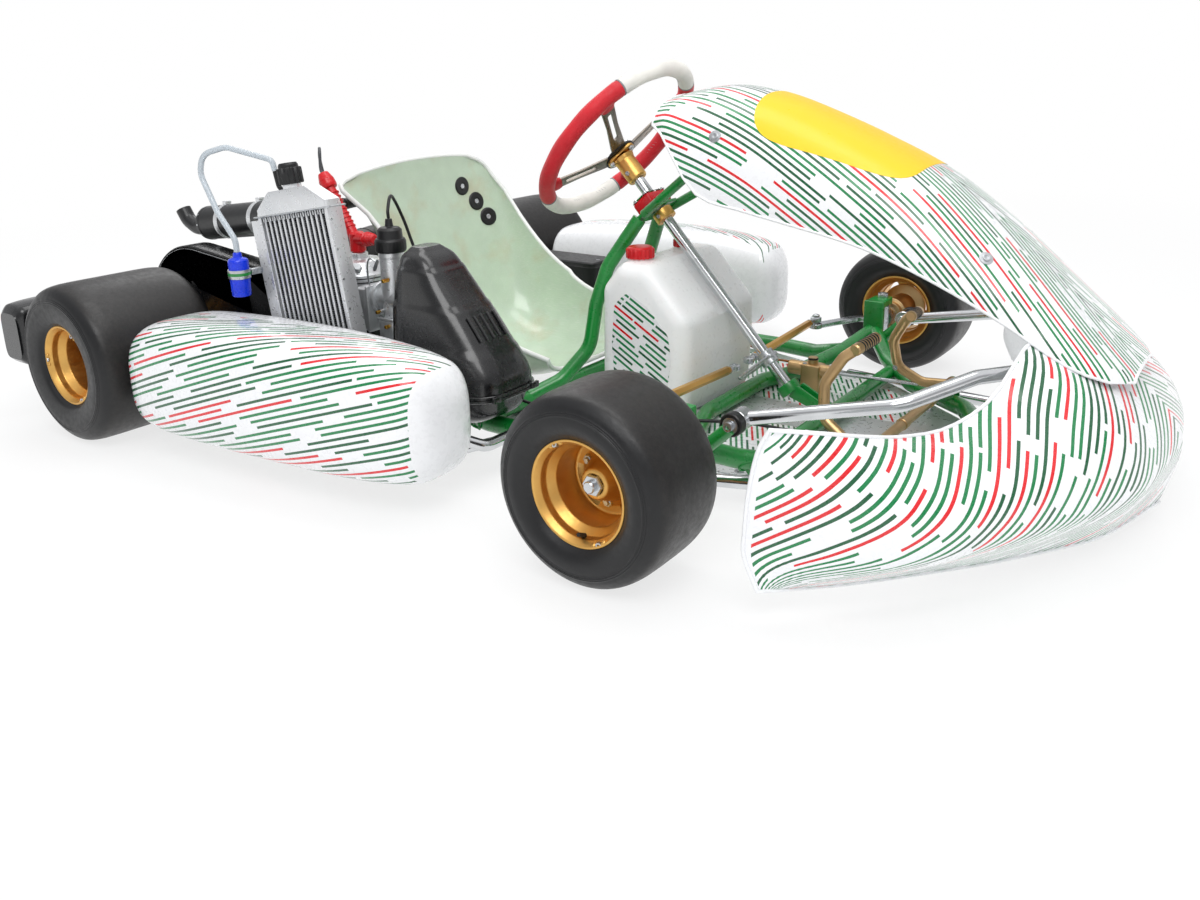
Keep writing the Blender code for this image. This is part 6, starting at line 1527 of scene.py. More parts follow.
def build_spindles():
    """Kingpin barrel, stub axle with its spacer rings and nut, and bent steering arm on each side."""
    for label, side in SIDES:
        x, y, z = FRONT_AXLE_X, KINGPIN_Y * side, FRONT_TYRE_R
        zinc, black = plated_steel(), black_casting()
        half = BARREL_HEIGHT / 2
        parts = [(rod((x, y, z - half), (x, y, z + half), BARREL_R, edge=0.002), zinc)]
        parts.append((rod((x, y, KINGPIN_FOOT), (x, y, KINGPIN_TOP), KINGPIN_R), zinc))
        parts.append((screw((x, y, 0.1713), (0, 0, 1), 0.0098, 0.0078), zinc))
        parts.append((nut((x, y, 0.0847), (0, 0, -1), 0.0095, 0.0064, 0.0048), zinc))
        shoulder = [(0.0, 0.0), (0.0185, 0.0), (0.019, 0.004), (0.019, 0.0335), (STUB_R, 0.0345)]
        stub_end = STUB_END_Y - KINGPIN_Y
        shoulder += [(STUB_R, stub_end - 0.0225), (0.0080, stub_end - 0.0220), (0.0080, stub_end - 0.0130)]
        shoulder += [(0.0068, stub_end - 0.0115), (0.0, stub_end - 0.0115)]
        axle = axis_matrix((x, y, z), (0, side, 0))
        parts.append((turned(shoulder, axle, 64), zinc))
        for k in range(3):
            ring_y = (0.5340 + 0.0085 * k) * side
            ring = [(STUB_R - 0.001, -0.0035), (0.0168, -0.0035), (0.0168, 0.0035),
                    (STUB_R - 0.001, 0.0035)]
            shade = black if k == 1 else zinc
            parts.append((turned(ring, axis_matrix((x, ring_y, z), (0, side, 0)), 48, 0.0004, 2), shade))
        parts.append((nut((x, 0.5625 * side, z), (0, side, 0), 0.0150, 0.0110, 0.0074), zinc))
        route = [(FRONT_AXLE_X, 0.410 * side, ARM_END.z), (0.325, 0.394 * side, ARM_END.z)]
        route.append((ARM_END.x, ARM_END.y * side, ARM_END.z))
        parts.append((flat_bar(rounded(route, 0.03, 8), 0.018, 0.009, 0.0012), zinc))
        end = Vector((ARM_END.x, ARM_END.y * side, ARM_END.z))
        parts.append((rod(end - Vector((0, 0, 0.0045)), end + Vector((0, 0, 0.0045)), 0.012), zinc))
        parts.append((rod(end, end + Vector((0, 0, 0.0235)), 0.004), zinc))
        parts.append((nut(end + Vector((0, 0, 0.0190)), (0, 0, 1), 0.0070, 0.0034, 0.003), zinc))
        gather(f"spindle_{label}_forging", f"spindle_arm_{label}", parts,
               (f"spindle_{label}",))


def rod_inner_end(side):
    """Centre of the tie rod's inner end, which lies on top of the column's arm."""
    end = on_column(PITMAN_AT) - column_front() * PITMAN_REACH
    end.y = PITMAN_HALF * side
    return end + Vector((-ROD_INSET, 0.0, ROD_LIFT))


def build_tie_rods():
    """Gold hexagon bars between two silver rod ends with lock nuts."""
    for label, side in SIDES:
        inner = rod_inner_end(side)
        outer = Vector((ARM_END.x, ARM_END.y * side, ARM_END.z + ROD_LIFT))
        way = (outer - inner).normalized()
        zinc, gold = plated_steel(), gold_anodised()
        bar = [(0.0, 0.0), (ROD_R * 0.86, 0.0), (ROD_R, 0.004)]
        reach = (outer - inner).length - 0.022 - 0.030
        bar += [(ROD_R, reach - 0.004), (ROD_R * 0.86, reach), (0.0, reach)]
        parts = [(turned(bar, axis_matrix(outer - way * (0.030 + reach), way), 6), gold)]
        parts.append((rod(outer - way * 0.034, outer - way * 0.008, 0.0045), zinc))
        parts.append((rod(inner + way * 0.006, inner + way * 0.026, 0.0045), zinc))
        parts.append((nut(outer - way * 0.030, way, 0.0074, 0.0045, 0.0045), zinc))
        parts.append((nut(inner + way * 0.022, -way, 0.0074, 0.0045, 0.0045), zinc))
        for centre, radius in ((outer, 0.0105), (inner, 0.0095)):
            ring = [(0.0043, -0.0055), (0.0062, -0.0055), (radius, -0.0040), (radius, 0.0040)]
            ring += [(0.0062, 0.0055), (0.0043, 0.0055)]
            parts.append((turned(ring, shift(*centre), 48, 0.0005, 2), zinc))
        gather(f"tie_rod_{label}_bar", f"rod_{label}", parts, (f"tie_rod_{label}",))


def build_column():
    """Ground steel column with its arm and the studs for the tie rods' inner ends."""
    axis = column_axis()
    parts = [(rod(on_column(-0.014), on_column(0.490), COLUMN_R, sides=48), polished_steel())]
    half = rounded([(0.016, 0.012), (-0.050, 0.030), (-0.058, 0.022)], 0.002, 3)
    outline = [p.xy for p in (Vector((*q, 0)) for q in [(a[0], a[1]) for a in half])]
    outline += [Vector((p.x, -p.y)) for p in reversed(outline)]
    matrix = axis_matrix(on_column(PITMAN_AT), axis, (0, 1, 0))
    parts.append((plate(rounded([(p.x, p.y) for p in outline], 0.005, 4, True), 0.006, matrix, 0.0008),
                  plated_steel()))
    parts.append((rod(on_column(PITMAN_AT - 0.012), on_column(PITMAN_AT + 0.012), 0.0155, edge=0.0012),
                  plated_steel()))
    for side in (LEFT, RIGHT):
        inner = rod_inner_end(side)
        parts.append((rod(inner - Vector((0, 0, 0.0068)), inner + Vector((0, 0, 0.0068)), 0.0040),
                      plated_steel()))
    gather("steering_column_shaft", "steering", parts, ("steering_column",))


def flange_matrix():
    """Matrix of the steering boss's flange, at the column's top end and leaning with the wheel."""
    direction = Vector((-math.cos(WHEEL_LEAN), 0.0, math.sin(WHEEL_LEAN)))
    return axis_matrix(on_column(COLUMN_LENGTH), direction, (0.0, 1.0, 0.0))


def build_boss():
    """Gold boss: a barrel pinched on the column, and a lobed flange with three silver bolts."""
    gold, zinc = gold_anodised(), plated_steel()
    barrel = [(COLUMN_R + 0.0005, 0.0), (0.0165, 0.0), (0.018, 0.003), (0.018, 0.040), (0.0205, 0.048)]
    barrel.append((COLUMN_R + 0.0005, 0.048))
    parts = [(turned(barrel, axis_matrix(on_column(0.4485), column_axis()), 64, 0.0010, 3), gold)]
    outline = []
    for step in range(96):
        a = 2 * math.pi * step / 96
        reach = 0.0262 + 0.0046 * math.cos(3 * a)
        outline.append((reach * math.cos(a), reach * math.sin(a)))
    matrix = flange_matrix()
    parts.append((plate(outline, FLANGE_THICK, matrix, 0.0010), gold))
    for side in (LEFT, RIGHT):
        at = on_column(0.462) + Vector((0, 0.0175 * side, 0)) + column_axis() * 0.002
        parts.append((screw(at, (0, side, 0), 0.0042, 0.0026), zinc))
    for k in range(3):
        a = math.radians(120 * k)
        at = on_circle(matrix, BOLT_CIRCLE_R, a, -FLANGE_THICK / 2)
        parts.append((nut(at, -turned_way(matrix, (0, 0, 1)), 0.0058, 0.0042), zinc))
    gather("steering_boss_turned", "steering", parts, ("steering_boss",))


def build_steering_wheel():
    """Four slotted grey spokes inside a padded grip in red and white leather with seams."""
    matrix = flange_matrix() @ shift(0.0, 0.0, FLANGE_THICK / 2 + SPOKE_THICK / 2 + GAP)
    centre = Vector((WHEEL_RISE, 0.0, WHEEL_DISH))
    parts = []
    hub = []
    for step in range(72):
        a = 2 * math.pi * step / 72
        reach = 0.0315
        hub.append((reach * math.cos(a), reach * math.sin(a)))
    parts.append((plate(hub, SPOKE_THICK, matrix, 0.0008), satin_plastic()))
    for k in range(3):
        a = math.radians(120 * k)
        at = on_circle(matrix, BOLT_CIRCLE_R, a, SPOKE_THICK / 2)
        parts.append((screw(at, turned_way(matrix, (0, 0, 1)), 0.0054, 0.0034), plated_steel()))
    for degrees in (52, 128, 232, 308):
        a = math.radians(degrees)
        out = Vector((math.cos(a), math.sin(a), 0.0))
        start = Vector((0.0, 0.0, 0.0)) + out * 0.020
        end = centre + out * (WHEEL_RIM_R - 0.004)
        parts += spoke(matrix, start, end, out)
    red, white = red_leather(), white_leather()
    for start, end, leather_here in ((40, 140, red), (140, 220, white), (220, 320, red), (320, 400, white)):
        steps = int((end - start) / 2.5)
        angles = [math.radians(start + (end - start) * i / steps) for i in range(steps + 1)]
        route = [matrix @ (centre + Vector((math.cos(a), math.sin(a), 0)) * WHEEL_RIM_R) for a in angles]
        swell = [1.0 + 0.05 * math.sin(7 * a) ** 2 for a in angles]
        swell[0] = swell[-1] = 0.97
        parts.append((tube(route, WHEEL_GRIP_R, 32, swell), leather_here))
        for a in angles[1:-1]:
            hand = centre + Vector((math.cos(a), math.sin(a), 0)) * (WHEEL_RIM_R - WHEEL_GRIP_R * 0.985)
            low = matrix @ (hand + Vector((0, 0, -0.0022)))
            along = Vector((-math.sin(a), math.cos(a), 0)) * 0.0022
            high = matrix @ (hand + Vector((0, 0, 0.0022)) + along)
            parts.append((rod(low, high, 0.00045, sides=6, edge=0.0001), grey_thread()))
    for degrees in (40, 140, 220, 320):
        a = math.radians(degrees)
        at = matrix @ (centre + Vector((math.cos(a), math.sin(a), 0)) * WHEEL_RIM_R)
        way = turned_way(matrix, (-math.sin(a), math.cos(a), 0))
        ring = [(WHEEL_GRIP_R * 0.9, -0.0013), (WHEEL_GRIP_R * 1.035, -0.0013)]
        ring += [(WHEEL_GRIP_R * 1.035, 0.0013), (WHEEL_GRIP_R * 0.9, 0.0013)]
        parts.append((turned(ring, axis_matrix(at, way), 40, 0.0004, 2), grey_thread()))
    gather("steering_wheel_grip", "steering", parts, ("steering_wheel",))


def spoke(matrix, start, end, out):
    """Flat spoke that rises to the rim, with a long slot, and a red sleeve at the rim."""
    span = end - start
    beside = Vector((-out.y, out.x, 0.0))
    along = span.normalized()
    normal = along.cross(beside)
    turn = Matrix((along, beside, normal)).transposed().to_4x4()
    placed = matrix @ Matrix.Translation(start) @ turn
    reach = span.length
    outline = [(0.0, -0.015), (reach * 0.5, -0.0115), (reach, -0.014)]
    outline += [(reach, 0.014), (reach * 0.5, 0.0115), (0.0, 0.015)]
    slot = [(reach * 0.24, -0.0045), (reach * 0.74, -0.0045), (reach * 0.74, 0.0045),
            (reach * 0.24, 0.0045)]
    blade = plate(rounded(outline, 0.03, 5, True), SPOKE_THICK, Matrix(), 0.0009)
    tool = plate(rounded(slot, 0.0044, 5, True), SPOKE_THICK * 3, Matrix(), 0.0)
    sleeve = superellipse(0.0150, 0.0072, 2.4, 28)
    swell = ((reach - 0.024, 0.86), (reach - 0.018, 1.0), (reach - 0.004, 1.06))
    rings = [[(x, b * w, h * w) for b, h in sleeve] for x, w in swell]
    return [(moved(cut(blade, tool), placed), spoke_steel()), (skin(rings, matrix=placed), red_leather())]


def build_column_bush():
    """Red bush block under a green cover plate with four silver screws, and the gold collar."""
    axis = column_axis()
    matrix = axis_matrix(on_column(HEAD_AT) + axis * 0.0153, axis, (0, 1, 0))
    block = box((0.040, 0.062, 0.024), (-0.004, 0.0, 0.0), edge=0.005)
    bore = turned([(0.0, -0.03), (COLUMN_R + 0.0004, -0.03), (COLUMN_R + 0.0004, 0.03), (0.0, 0.03)],
                  Matrix(), 48)
    parts = [(moved(cut(block, bore), matrix), red_plastic())]
    green, zinc = powder_coat(), plated_steel()
    for x in (-0.016, 0.009):
        for y in (-0.024, 0.024):
            at = matrix @ Vector((x, y, 0.012))
            parts.append((screw(at, axis, 0.0048, 0.0036, washer=0.0078), zinc))
    band_plate = rounded([(-0.022, -0.030), (0.014, -0.030), (0.014, 0.030), (-0.022, 0.030)], 0.006, 4,
                         True)
    cover = plate(band_plate, 0.0022, Matrix(), 0.0006)
    hole = turned([(0.0, -0.01), (COLUMN_R + 0.004, -0.01), (COLUMN_R + 0.004, 0.01), (0.0, 0.01)],
                  Matrix(), 40)
    parts.append((moved(cut(cover, hole), matrix @ shift(0, 0, 0.0131)), green))
    gather("column_bush_block", "chassis", parts, ("column_bush",))
    ring = [(COLUMN_R + 0.0004, -0.009), (0.0185, -0.009), (0.0185, 0.009), (COLUMN_R + 0.0004, 0.009)]
    collar = [(turned(ring, axis_matrix(on_column(HEAD_AT - 0.016), axis), 56, 0.0012, 3), gold_anodised())]
    at = on_column(HEAD_AT - 0.016) + Vector((0, -0.0180, 0))
    collar.append((screw(at, (0, -1, 0), 0.0035, 0.0022), zinc))
    gather("column_collar", "steering", collar)


# Rear axle and brake


def build_rear_axle():
    """Hollow axle with its bore and keyways."""
    matrix = wheel_matrix(REAR_AXLE_X, REAR_TYRE_R, LEFT)
    half, wall = AXLE_LENGTH / 2, 0.0035
    section = [(AXLE_R - wall, -half), (AXLE_R, -half), (AXLE_R, half), (AXLE_R - wall, half)]
    shaft = turned(section, matrix, 96, 0.0008, 2)
    ends = (-half + 0.055, half - 0.055)
    keys = [box((0.0075, 0.004, 0.070), (0.0, AXLE_R, z), edge=0.0015) for z in ends]
    shaft = cut(shaft, *[moved(key, matrix) for key in keys])
    gather("rear_axle_tube", "rear_axle_set", [(shaft, ground_steel())], ("rear_axle",),
           (REAR_AXLE_X, 0.0, REAR_TYRE_R))


def build_carriers():
    """Bearing carriers: a bolted arch with a bearing's two rings and the seal between them."""
    for label, side in SIDES:
        y = RAIL_Y * side
        outline = [(-0.046, -0.0627), (0.046, -0.0627), (0.046, -0.035)]
        outline += arc((0.0, 0.0), 0.045, -20, 200, 40) + [(-0.046, -0.035)]
        flat = [(REAR_AXLE_X + x, REAR_TYRE_R + z) for x, z in outline]
        body = plate(flat, 0.026, side_plane(y), 0.0015)
        bore = rod((REAR_AXLE_X, y - 0.05, REAR_TYRE_R), (REAR_AXLE_X, y + 0.05, REAR_TYRE_R), 0.0385,
                   sides=72)
        parts = [(cut(body, bore), black_casting())]
        matrix = axis_matrix((REAR_AXLE_X, y, REAR_TYRE_R), (0, 1, 0))
        outer = [(0.0335, -0.0115), (0.0386, -0.0115), (0.0386, 0.0115), (0.0335, 0.0115)]
        inner = [(AXLE_R + GAP, -0.0120), (0.0285, -0.0120), (0.0285, 0.0120), (AXLE_R + GAP, 0.0120)]
        seal = [(0.0283, -0.0105), (0.0337, -0.0105), (0.0337, 0.0105), (0.0283, 0.0105)]
        parts.append((turned(outer, matrix, 72, 0.0006, 2), ground_steel()))
        parts.append((turned(inner, matrix, 72, 0.0005, 2), ground_steel()))
        parts.append((turned(seal, matrix, 72, 0.0005, 2), hose_rubber()))
        for x in (-0.034, 0.034):
            for out in (LEFT, RIGHT):
                at = (REAR_AXLE_X + x, y + 0.0128 * out, REAR_TYRE_R - 0.046)
                parts.append((screw(at, (0, out, 0), 0.0050, 0.0034), plated_steel()))
        gather(f"bearing_carrier_{label}_cast", "chassis", parts,
               (f"bearing_carrier_{label}",))


def build_brake():
    """Drilled disc on its hub, the split caliper on its arm, and the pump."""
    matrix = wheel_matrix(REAR_AXLE_X, REAR_TYRE_R, LEFT)
    near, far = DISC_Y - DISC_THICK / 2, DISC_Y + DISC_THICK / 2
    centre = (REAR_AXLE_X, 0.0, REAR_TYRE_R)
    disc = turned([(0.048, near), (DISC_R, near), (DISC_R, far), (0.048, far)], Matrix(), 128, 0.0008, 2)
    holes = []
    for k in range(24):
        a, reach = math.radians(15 * k), 0.060 + 0.011 * (k % 3)
        low = Vector((reach * math.cos(a), reach * math.sin(a), near - 0.01))
        holes.append(rod(low, low + Vector((0, 0, 0.04)), 0.0035, sides=16))
    drilled = moved(cut(disc, joined(holes)), matrix)
    hub = [(AXLE_R + GAP, 0.193), (0.034, 0.193), (0.034, 0.209), (0.052, near), (0.052, far)]
    hub.append((AXLE_R + GAP, far))
    parts = [(drilled, ground_steel()), (turned(hub, matrix, 72, 0.001, 3), gold_anodised())]
    for k in range(6):
        a = math.radians(60 * k + 30)
        at = on_circle(matrix, 0.046, a, far)
        parts.append((screw(at, (0, 1, 0), 0.0045, 0.0032), plated_steel()))
    gather("brake_disc_drilled", "rear_axle_set", parts, ("brake_disc",), centre)
    x, z = REAR_AXLE_X - 0.068, REAR_TYRE_R + 0.062
    turn = Matrix.Rotation(math.radians(-42), 4, "Y")
    bronze, zinc = bronze_anodised(), plated_steel()
    parts = []
    for out in (LEFT, RIGHT):
        y = DISC_Y + out * (DISC_THICK / 2 + 0.0012 + 0.0119)
        half = box((0.060, 0.0236, 0.078), edge=0.006)
        parts.append((moved(half, shift(x, y, z) @ turn), bronze))
        for height in (-0.016, 0.016):
            at = shift(x, DISC_Y + out * 0.0308, z) @ turn @ Vector((0.0, 0.0, height))
            cap = rod(at - Vector((0, 0.002 * out, 0)), at + Vector((0, 0.0022 * out, 0)), 0.0135)
            parts.append((cap, zinc))
    bridge = box((0.012, 0.060, 0.070), edge=0.003)
    parts.append((moved(bridge, shift(x, DISC_Y, z) @ turn @ shift(-0.024, 0, 0)), bronze))
    arm_end = RAIL_Y - 0.013 - GAP
    arm = box((0.034, arm_end - DISC_Y - 0.026, 0.020),
              (REAR_AXLE_X - 0.034, (arm_end + DISC_Y + 0.026) / 2, 0.173))
    parts.append((arm, bronze))
    gather("brake_caliper_halves", "chassis", parts, ("brake_caliper",))
    px, py, low = PUMP_X, PUMP_Y, FRAME_Z - TUBE_R
    parts = [(box((0.036, 0.030, 0.052), (px, py, low + 0.026), edge=0.003), bronze)]
    parts.append((rod((px - 0.045, py, low + 0.040), (px + 0.040, py, low + 0.040), 0.013, edge=0.0015),
                  bronze))
    parts.append((rod((px, py, low + 0.050), (px, py, low + 0.0640), 0.009, edge=0.001), bronze))
    cap = rod((px, py, low + 0.0590), (px, py, low + 0.0638), 0.0092, edge=0.001)
    parts.append((cap, satin_plastic()))
    for y in (-0.009, 0.009):
        parts.append((screw((px - 0.012, py + y, low + 0.0516), (0, 0, 1), 0.0036, 0.0020), zinc))
    gather("brake_pump_block", "chassis", parts, ("brake_pump",))


def pitch_radius(teeth):
    """Radius of the circle on which the chain's pins lie."""
    return CHAIN_PITCH / (2 * math.sin(math.pi / teeth))


def sprocket(teeth, matrix):
    """Toothed plate with round gullets and bevelled teeth."""
    radius, roller = pitch_radius(teeth), 0.0042
    outline = []
    for k in range(teeth):
        a = 2 * math.pi * k / teeth
        gullet = arc((0.0, 0.0), roller, 115, 245, 7)
        for x, y in gullet:
            x += radius
            outline.append((x * math.cos(a) - y * math.sin(a), x * math.sin(a) + y * math.cos(a)))
        tip = a + math.pi / teeth
        for share in (0.055, -0.055):
            b = tip + share * math.pi / teeth * 2.2
            outline.append(((radius + 0.0030) * math.cos(b), (radius + 0.0030) * math.sin(b)))
    outline = sorted(outline, key=lambda p: math.atan2(p[1], p[0]))
    return moved(plate(outline, SPROCKET_THICK, Matrix(), 0.0006), matrix)


def build_drive():
    """Both sprockets, the roller chain between them and its guard."""
    centre = (REAR_AXLE_X, 0.0, REAR_TYRE_R)
    matrix = axis_matrix((REAR_AXLE_X, CHAIN_Y, REAR_TYRE_R), (0, 1, 0))
    gold, zinc, dark = gold_anodised(), plated_steel(), oiled_steel()
    plate_part = sprocket(AXLE_TEETH, matrix)
    hub = [(AXLE_R + GAP, -0.003), (0.036, -0.003), (0.036, 0.021), (AXLE_R + GAP, 0.021)]
    parts = [(plate_part, gold), (turned(hub, matrix, 72, 0.001, 3), gold)]
    for k in range(6):
        a = math.radians(60 * k)
        at = on_circle(matrix, 0.0305, a, -0.003)
        parts.append((screw(at, (0, -1, 0), 0.0040, 0.0030), zinc))
    gather("axle_sprocket_toothed", "rear_axle_set", parts, ("axle_sprocket",), centre)
    matrix = axis_matrix(OUTPUT_SHAFT, (0, 1, 0))
    parts = [(sprocket(ENGINE_TEETH, matrix), dark)]
    parts.append((rod(OUTPUT_SHAFT - Vector((0, 0.007, 0)), OUTPUT_SHAFT + Vector((0, 0.030, 0)), 0.011),
                  zinc))
    parts.append((nut(OUTPUT_SHAFT - Vector((0, 0.0068, 0)), (0, -1, 0), 0.0105, 0.0045, 0.005), zinc))
    gather("engine_sprocket_toothed", "drive_sprocket", parts, ("engine_sprocket",),
           OUTPUT_SHAFT)
    gather("drive_chain_links", "chassis", chain_parts(dark, zinc), ("drive_chain",))
    build_guard()


def chain_path():
    """Pitch line of the chain, as a closed line of points."""
    axle, engine = Vector((REAR_AXLE_X, REAR_TYRE_R)), Vector((OUTPUT_SHAFT.x, OUTPUT_SHAFT.z))
    big, small = pitch_radius(AXLE_TEETH), pitch_radius(ENGINE_TEETH)
    span = engine - axle
    lean = math.atan2(span.y, span.x)
    spread = math.acos((big - small) / span.length)
    steps, points = 60, []
    for step in range(steps + 1):
        a = lean + spread + (2 * math.pi - 2 * spread) * step / steps
        points.append(axle + Vector((math.cos(a), math.sin(a))) * big)
    for step in range(steps + 1):
        a = lean - spread + 2 * spread * step / steps
        points.append(engine + Vector((math.cos(a), math.sin(a))) * small)
    points.append(points[0])
    return points


def along(points, distance):
    """Point at this distance along a closed line of points."""
    for a, b in zip(points, points[1:]):
        gap = (b - a).length
        if distance <= gap:
            return a.lerp(b, distance / gap)
        distance -= gap
    return points[-1]


def chain_parts(dark, zinc):
    """Roller chain: inner and outer link plates in turn, with their rollers and rivets."""
    points = chain_path()
    whole = sum((b - a).length for a, b in zip(points, points[1:]))
    count = 2 * round(whole / CHAIN_PITCH / 2)
    pins = [along(points, whole * k / count) for k in range(count)]
    parts = []
    for k, pin in enumerate(pins):
        after = pins[(k + 1) % count]
        way = after - pin
        middle = (pin + after) / 2
        outline = []
        half = way.length / 2
        for x, start in ((half, -70), (-half, 110)):
            outline += arc((x, 0.0), 0.0048, start, start + 140, 7)
        outline = [(x, y * (0.82 if abs(x) < half * 0.5 else 1.0)) for x, y in outline]
        turn = Matrix.Rotation(-math.atan2(way.y, way.x), 4, "Y")
        outer = k % 2 == 0
        for out in (LEFT, RIGHT):
            y = CHAIN_Y + out * (0.0049 if outer else 0.0035)
            at = shift(middle.x, y, middle.y) @ turn @ Matrix.Rotation(math.pi / 2, 4, "X")
            parts.append((plate(outline, 0.0011, at, 0.0002), zinc if outer else dark))
        roller = rod((pin.x, CHAIN_Y - 0.0029, pin.y), (pin.x, CHAIN_Y + 0.0029, pin.y), 0.0039, sides=14)
        rivet = rod((pin.x, CHAIN_Y - 0.0062, pin.y), (pin.x, CHAIN_Y + 0.0062, pin.y), 0.0018, sides=10)
        parts += [(roller, dark), (rivet, zinc)]
    return parts


def guard_outline(grow):
    """Side of the chain guard, grown by this much."""
    rear, front = (REAR_AXLE_X - 0.005, REAR_TYRE_R + 0.010), (-0.430, 0.148)
    low, big, small = 0.082, 0.157 + grow, 0.134 + grow
    angle = math.degrees(math.asin((big - small) / (front[0] - rear[0])))
    rear_end = 180 - math.degrees(math.asin((low - rear[1]) / big))
    front_start = math.degrees(math.asin((low - front[1]) / small))
    return arc(front, small, front_start, 90 - angle, 28) + arc(rear, big, 90 - angle, rear_end, 40)


def build_guard():
    """Glossy guard over the chain with a silver edge strip and a lug to the engine plate."""
    cover = plate(guard_outline(0.0), 0.046, side_plane(CHAIN_Y - 0.003), 0.003)
    inner = [(x, z - 0.001) for x, z in guard_outline(-0.003)]
    inner = [(x, z if z > 0.086 else 0.072) for x, z in inner]
    hollow = plate(inner, 0.046, side_plane(CHAIN_Y), 0.0)
    notch_outline = arc((REAR_AXLE_X, REAR_TYRE_R), 0.034, 0, 180, 30)
    notch_outline += [(REAR_AXLE_X - 0.034, 0.05), (REAR_AXLE_X + 0.034, 0.05)]
    notch = plate(notch_outline, 0.2, side_plane(CHAIN_Y), 0.0)
    parts = [(cut(cover, hollow, notch), glossy_plastic())]
    edge = [(x, CHAIN_Y - 0.0262, z) for x, z in guard_outline(-0.006)]
    parts.append((tube(edge, 0.0013, 8), polished_steel()))
    plate_edge = ENGINE_PLATE_Y - ENGINE_PLATE_WIDTH / 2 - GAP
    lug_out = CHAIN_Y + 0.014
    lug = box((0.022, plate_edge - lug_out, 0.011), (-0.3105, (plate_edge + lug_out) / 2, 0.0885),
              edge=0.0015)
    parts.append((lug, glossy_plastic()))
    gather("chain_guard_moulding", "chassis", parts, ("chain_guard",))


# Pedals


def build_pedals():
    """Bent bronze pedals on their pins, each with a rubber-ringed peg."""
    for body in ("throttle", "brake"):
        node = f"{body}_pedal"
        low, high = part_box(node)
        side = LEFT if (low.y + high.y) > 0 else RIGHT
        inward = -side
        pivot = Vector((PEDAL_X, PEDAL_Y * side, PEDAL_Z))
        offsets = [(-0.002, 0.0, 0.0), (-0.048, 0.0, -0.004), (-0.088, 0.010, 0.020),
                   (-0.094, 0.022, 0.070)]
        offsets += [(-0.070, 0.032, 0.112), (-0.050, 0.040, 0.128)]
        route = [pivot + Vector((x, y * inward, z)) for x, y, z in offsets]
        bronze, zinc, rubber = bronze_anodised(), plated_steel(), hose_rubber()
        parts = [(tube(rounded(route, 0.03, 8), 0.0085, 28), bronze)]
        peg = [pivot + Vector((-0.052, 0.028 * inward, 0.126)),
               pivot + Vector((-0.044, 0.092 * inward, 0.132))]
        parts.append((rod(peg[0], peg[1], 0.009, edge=0.002), bronze))
        way = (peg[1] - peg[0]).normalized()
        for k in range(7):
            at = peg[0] + way * (0.016 + 0.0065 * k)
            ring = [(0.0085, -0.0016), (0.0094, -0.0016), (0.0094, 0.0016), (0.0085, 0.0016)]
            parts.append((turned(ring, axis_matrix(at, way), 32, 0.0004, 2), rubber))
        sleeve = [(PEDAL_PIN_R + 0.0003, -0.0132), (0.0105, -0.0132), (0.0105, 0.0132),
                  (PEDAL_PIN_R + 0.0003, 0.0132)]
        parts.append((turned(sleeve, axis_matrix(pivot, (0, 1, 0)), 48, 0.001, 3), bronze))
        parts.append((screw(route[2] + Vector((-0.001, 0.008 * inward, 0)), (0, inward, 0), 0.0045, 0.003),
                      zinc))
        gather(f"{node}_bent", body, parts, (node,))


# Engine


def build_engine_mount():
    """Machined plate on two saddles with their screws and nuts."""
    low = FRAME_Z + TUBE_R + 0.002
    top, y = ENGINE_PLATE_TOP, -RAIL_Y
    alloy, zinc = machined_aluminium(), plated_steel()
    slab = box((0.205, ENGINE_PLATE_WIDTH, top - low), (-0.3125, ENGINE_PLATE_Y, (top + low) / 2),
               edge=0.002)
    slots = []
    for x in (-0.395, -0.225):
        for offset in (-0.043, 0.043):
            slots.append(box((0.020, 0.007, 0.05), (x, ENGINE_PLATE_Y + offset, top), edge=0.003))
    rail = rod((-0.5, y, FRAME_Z), (-0.16, y, FRAME_Z), TUBE_R + GAP, sides=48)
    parts = [(cut(slab, *slots), alloy)]
    for x in (-0.372, -0.270):
        saddle = box((0.026, 0.050, 0.030), (x, y, FRAME_Z + 0.009), edge=0.002)
        parts.append((cut(saddle, rail), alloy))
        for offset in (-0.0205, 0.0205):
            parts.append((screw((x, y + offset, FRAME_Z - 0.0055), (0, 0, -1), 0.0040, 0.0020), zinc))
            parts.append((nut((x, y + offset * 2.0, top), (0, 0, 1), 0.0060, 0.0001, 0.0002), zinc))
    gather("engine_mount_plate", "chassis", parts, ("engine_mount",))


def case_cover(x, z, radius, outer, screws):
    """Round cover with a raised rim, radial ribs and a ring of screws, facing outwards."""
    matrix = axis_matrix((x, COVER_FOOT_Y, z), (0, -1, 0))
    tall = COVER_FOOT_Y - outer
    dome = [(0.0, 0.0), (radius, 0.0), (radius, tall - 0.006), (radius - 0.004, tall - 0.002)]
    dome += [(radius - 0.009, tall - 0.002), (radius - 0.011, tall - 0.0055), (0.018, tall - 0.0045)]
    dome += [(0.014, tall), (0.0, tall)]
    casting = [turned(dome, matrix, 96, 0.0012, 3)]
    for k in range(6):
        a = 2 * math.pi * k / 6 + 0.2
        rib = box((radius - 0.026, 0.0032, 0.004), ((radius + 0.006) / 2, 0.0, tall - 0.0046), edge=0.0012)
        casting.append(moved(rib, matrix @ Matrix.Rotation(a, 4, "Z")))
    bolts = []
    for k in range(screws):
        a = 2 * math.pi * (k + 0.5) / screws
        at = on_circle(matrix, radius - 0.0055, a, tall - 0.0022)
        bolts.append(screw(at, (0, -1, 0), 0.0032, 0.0020))
    return casting, bolts


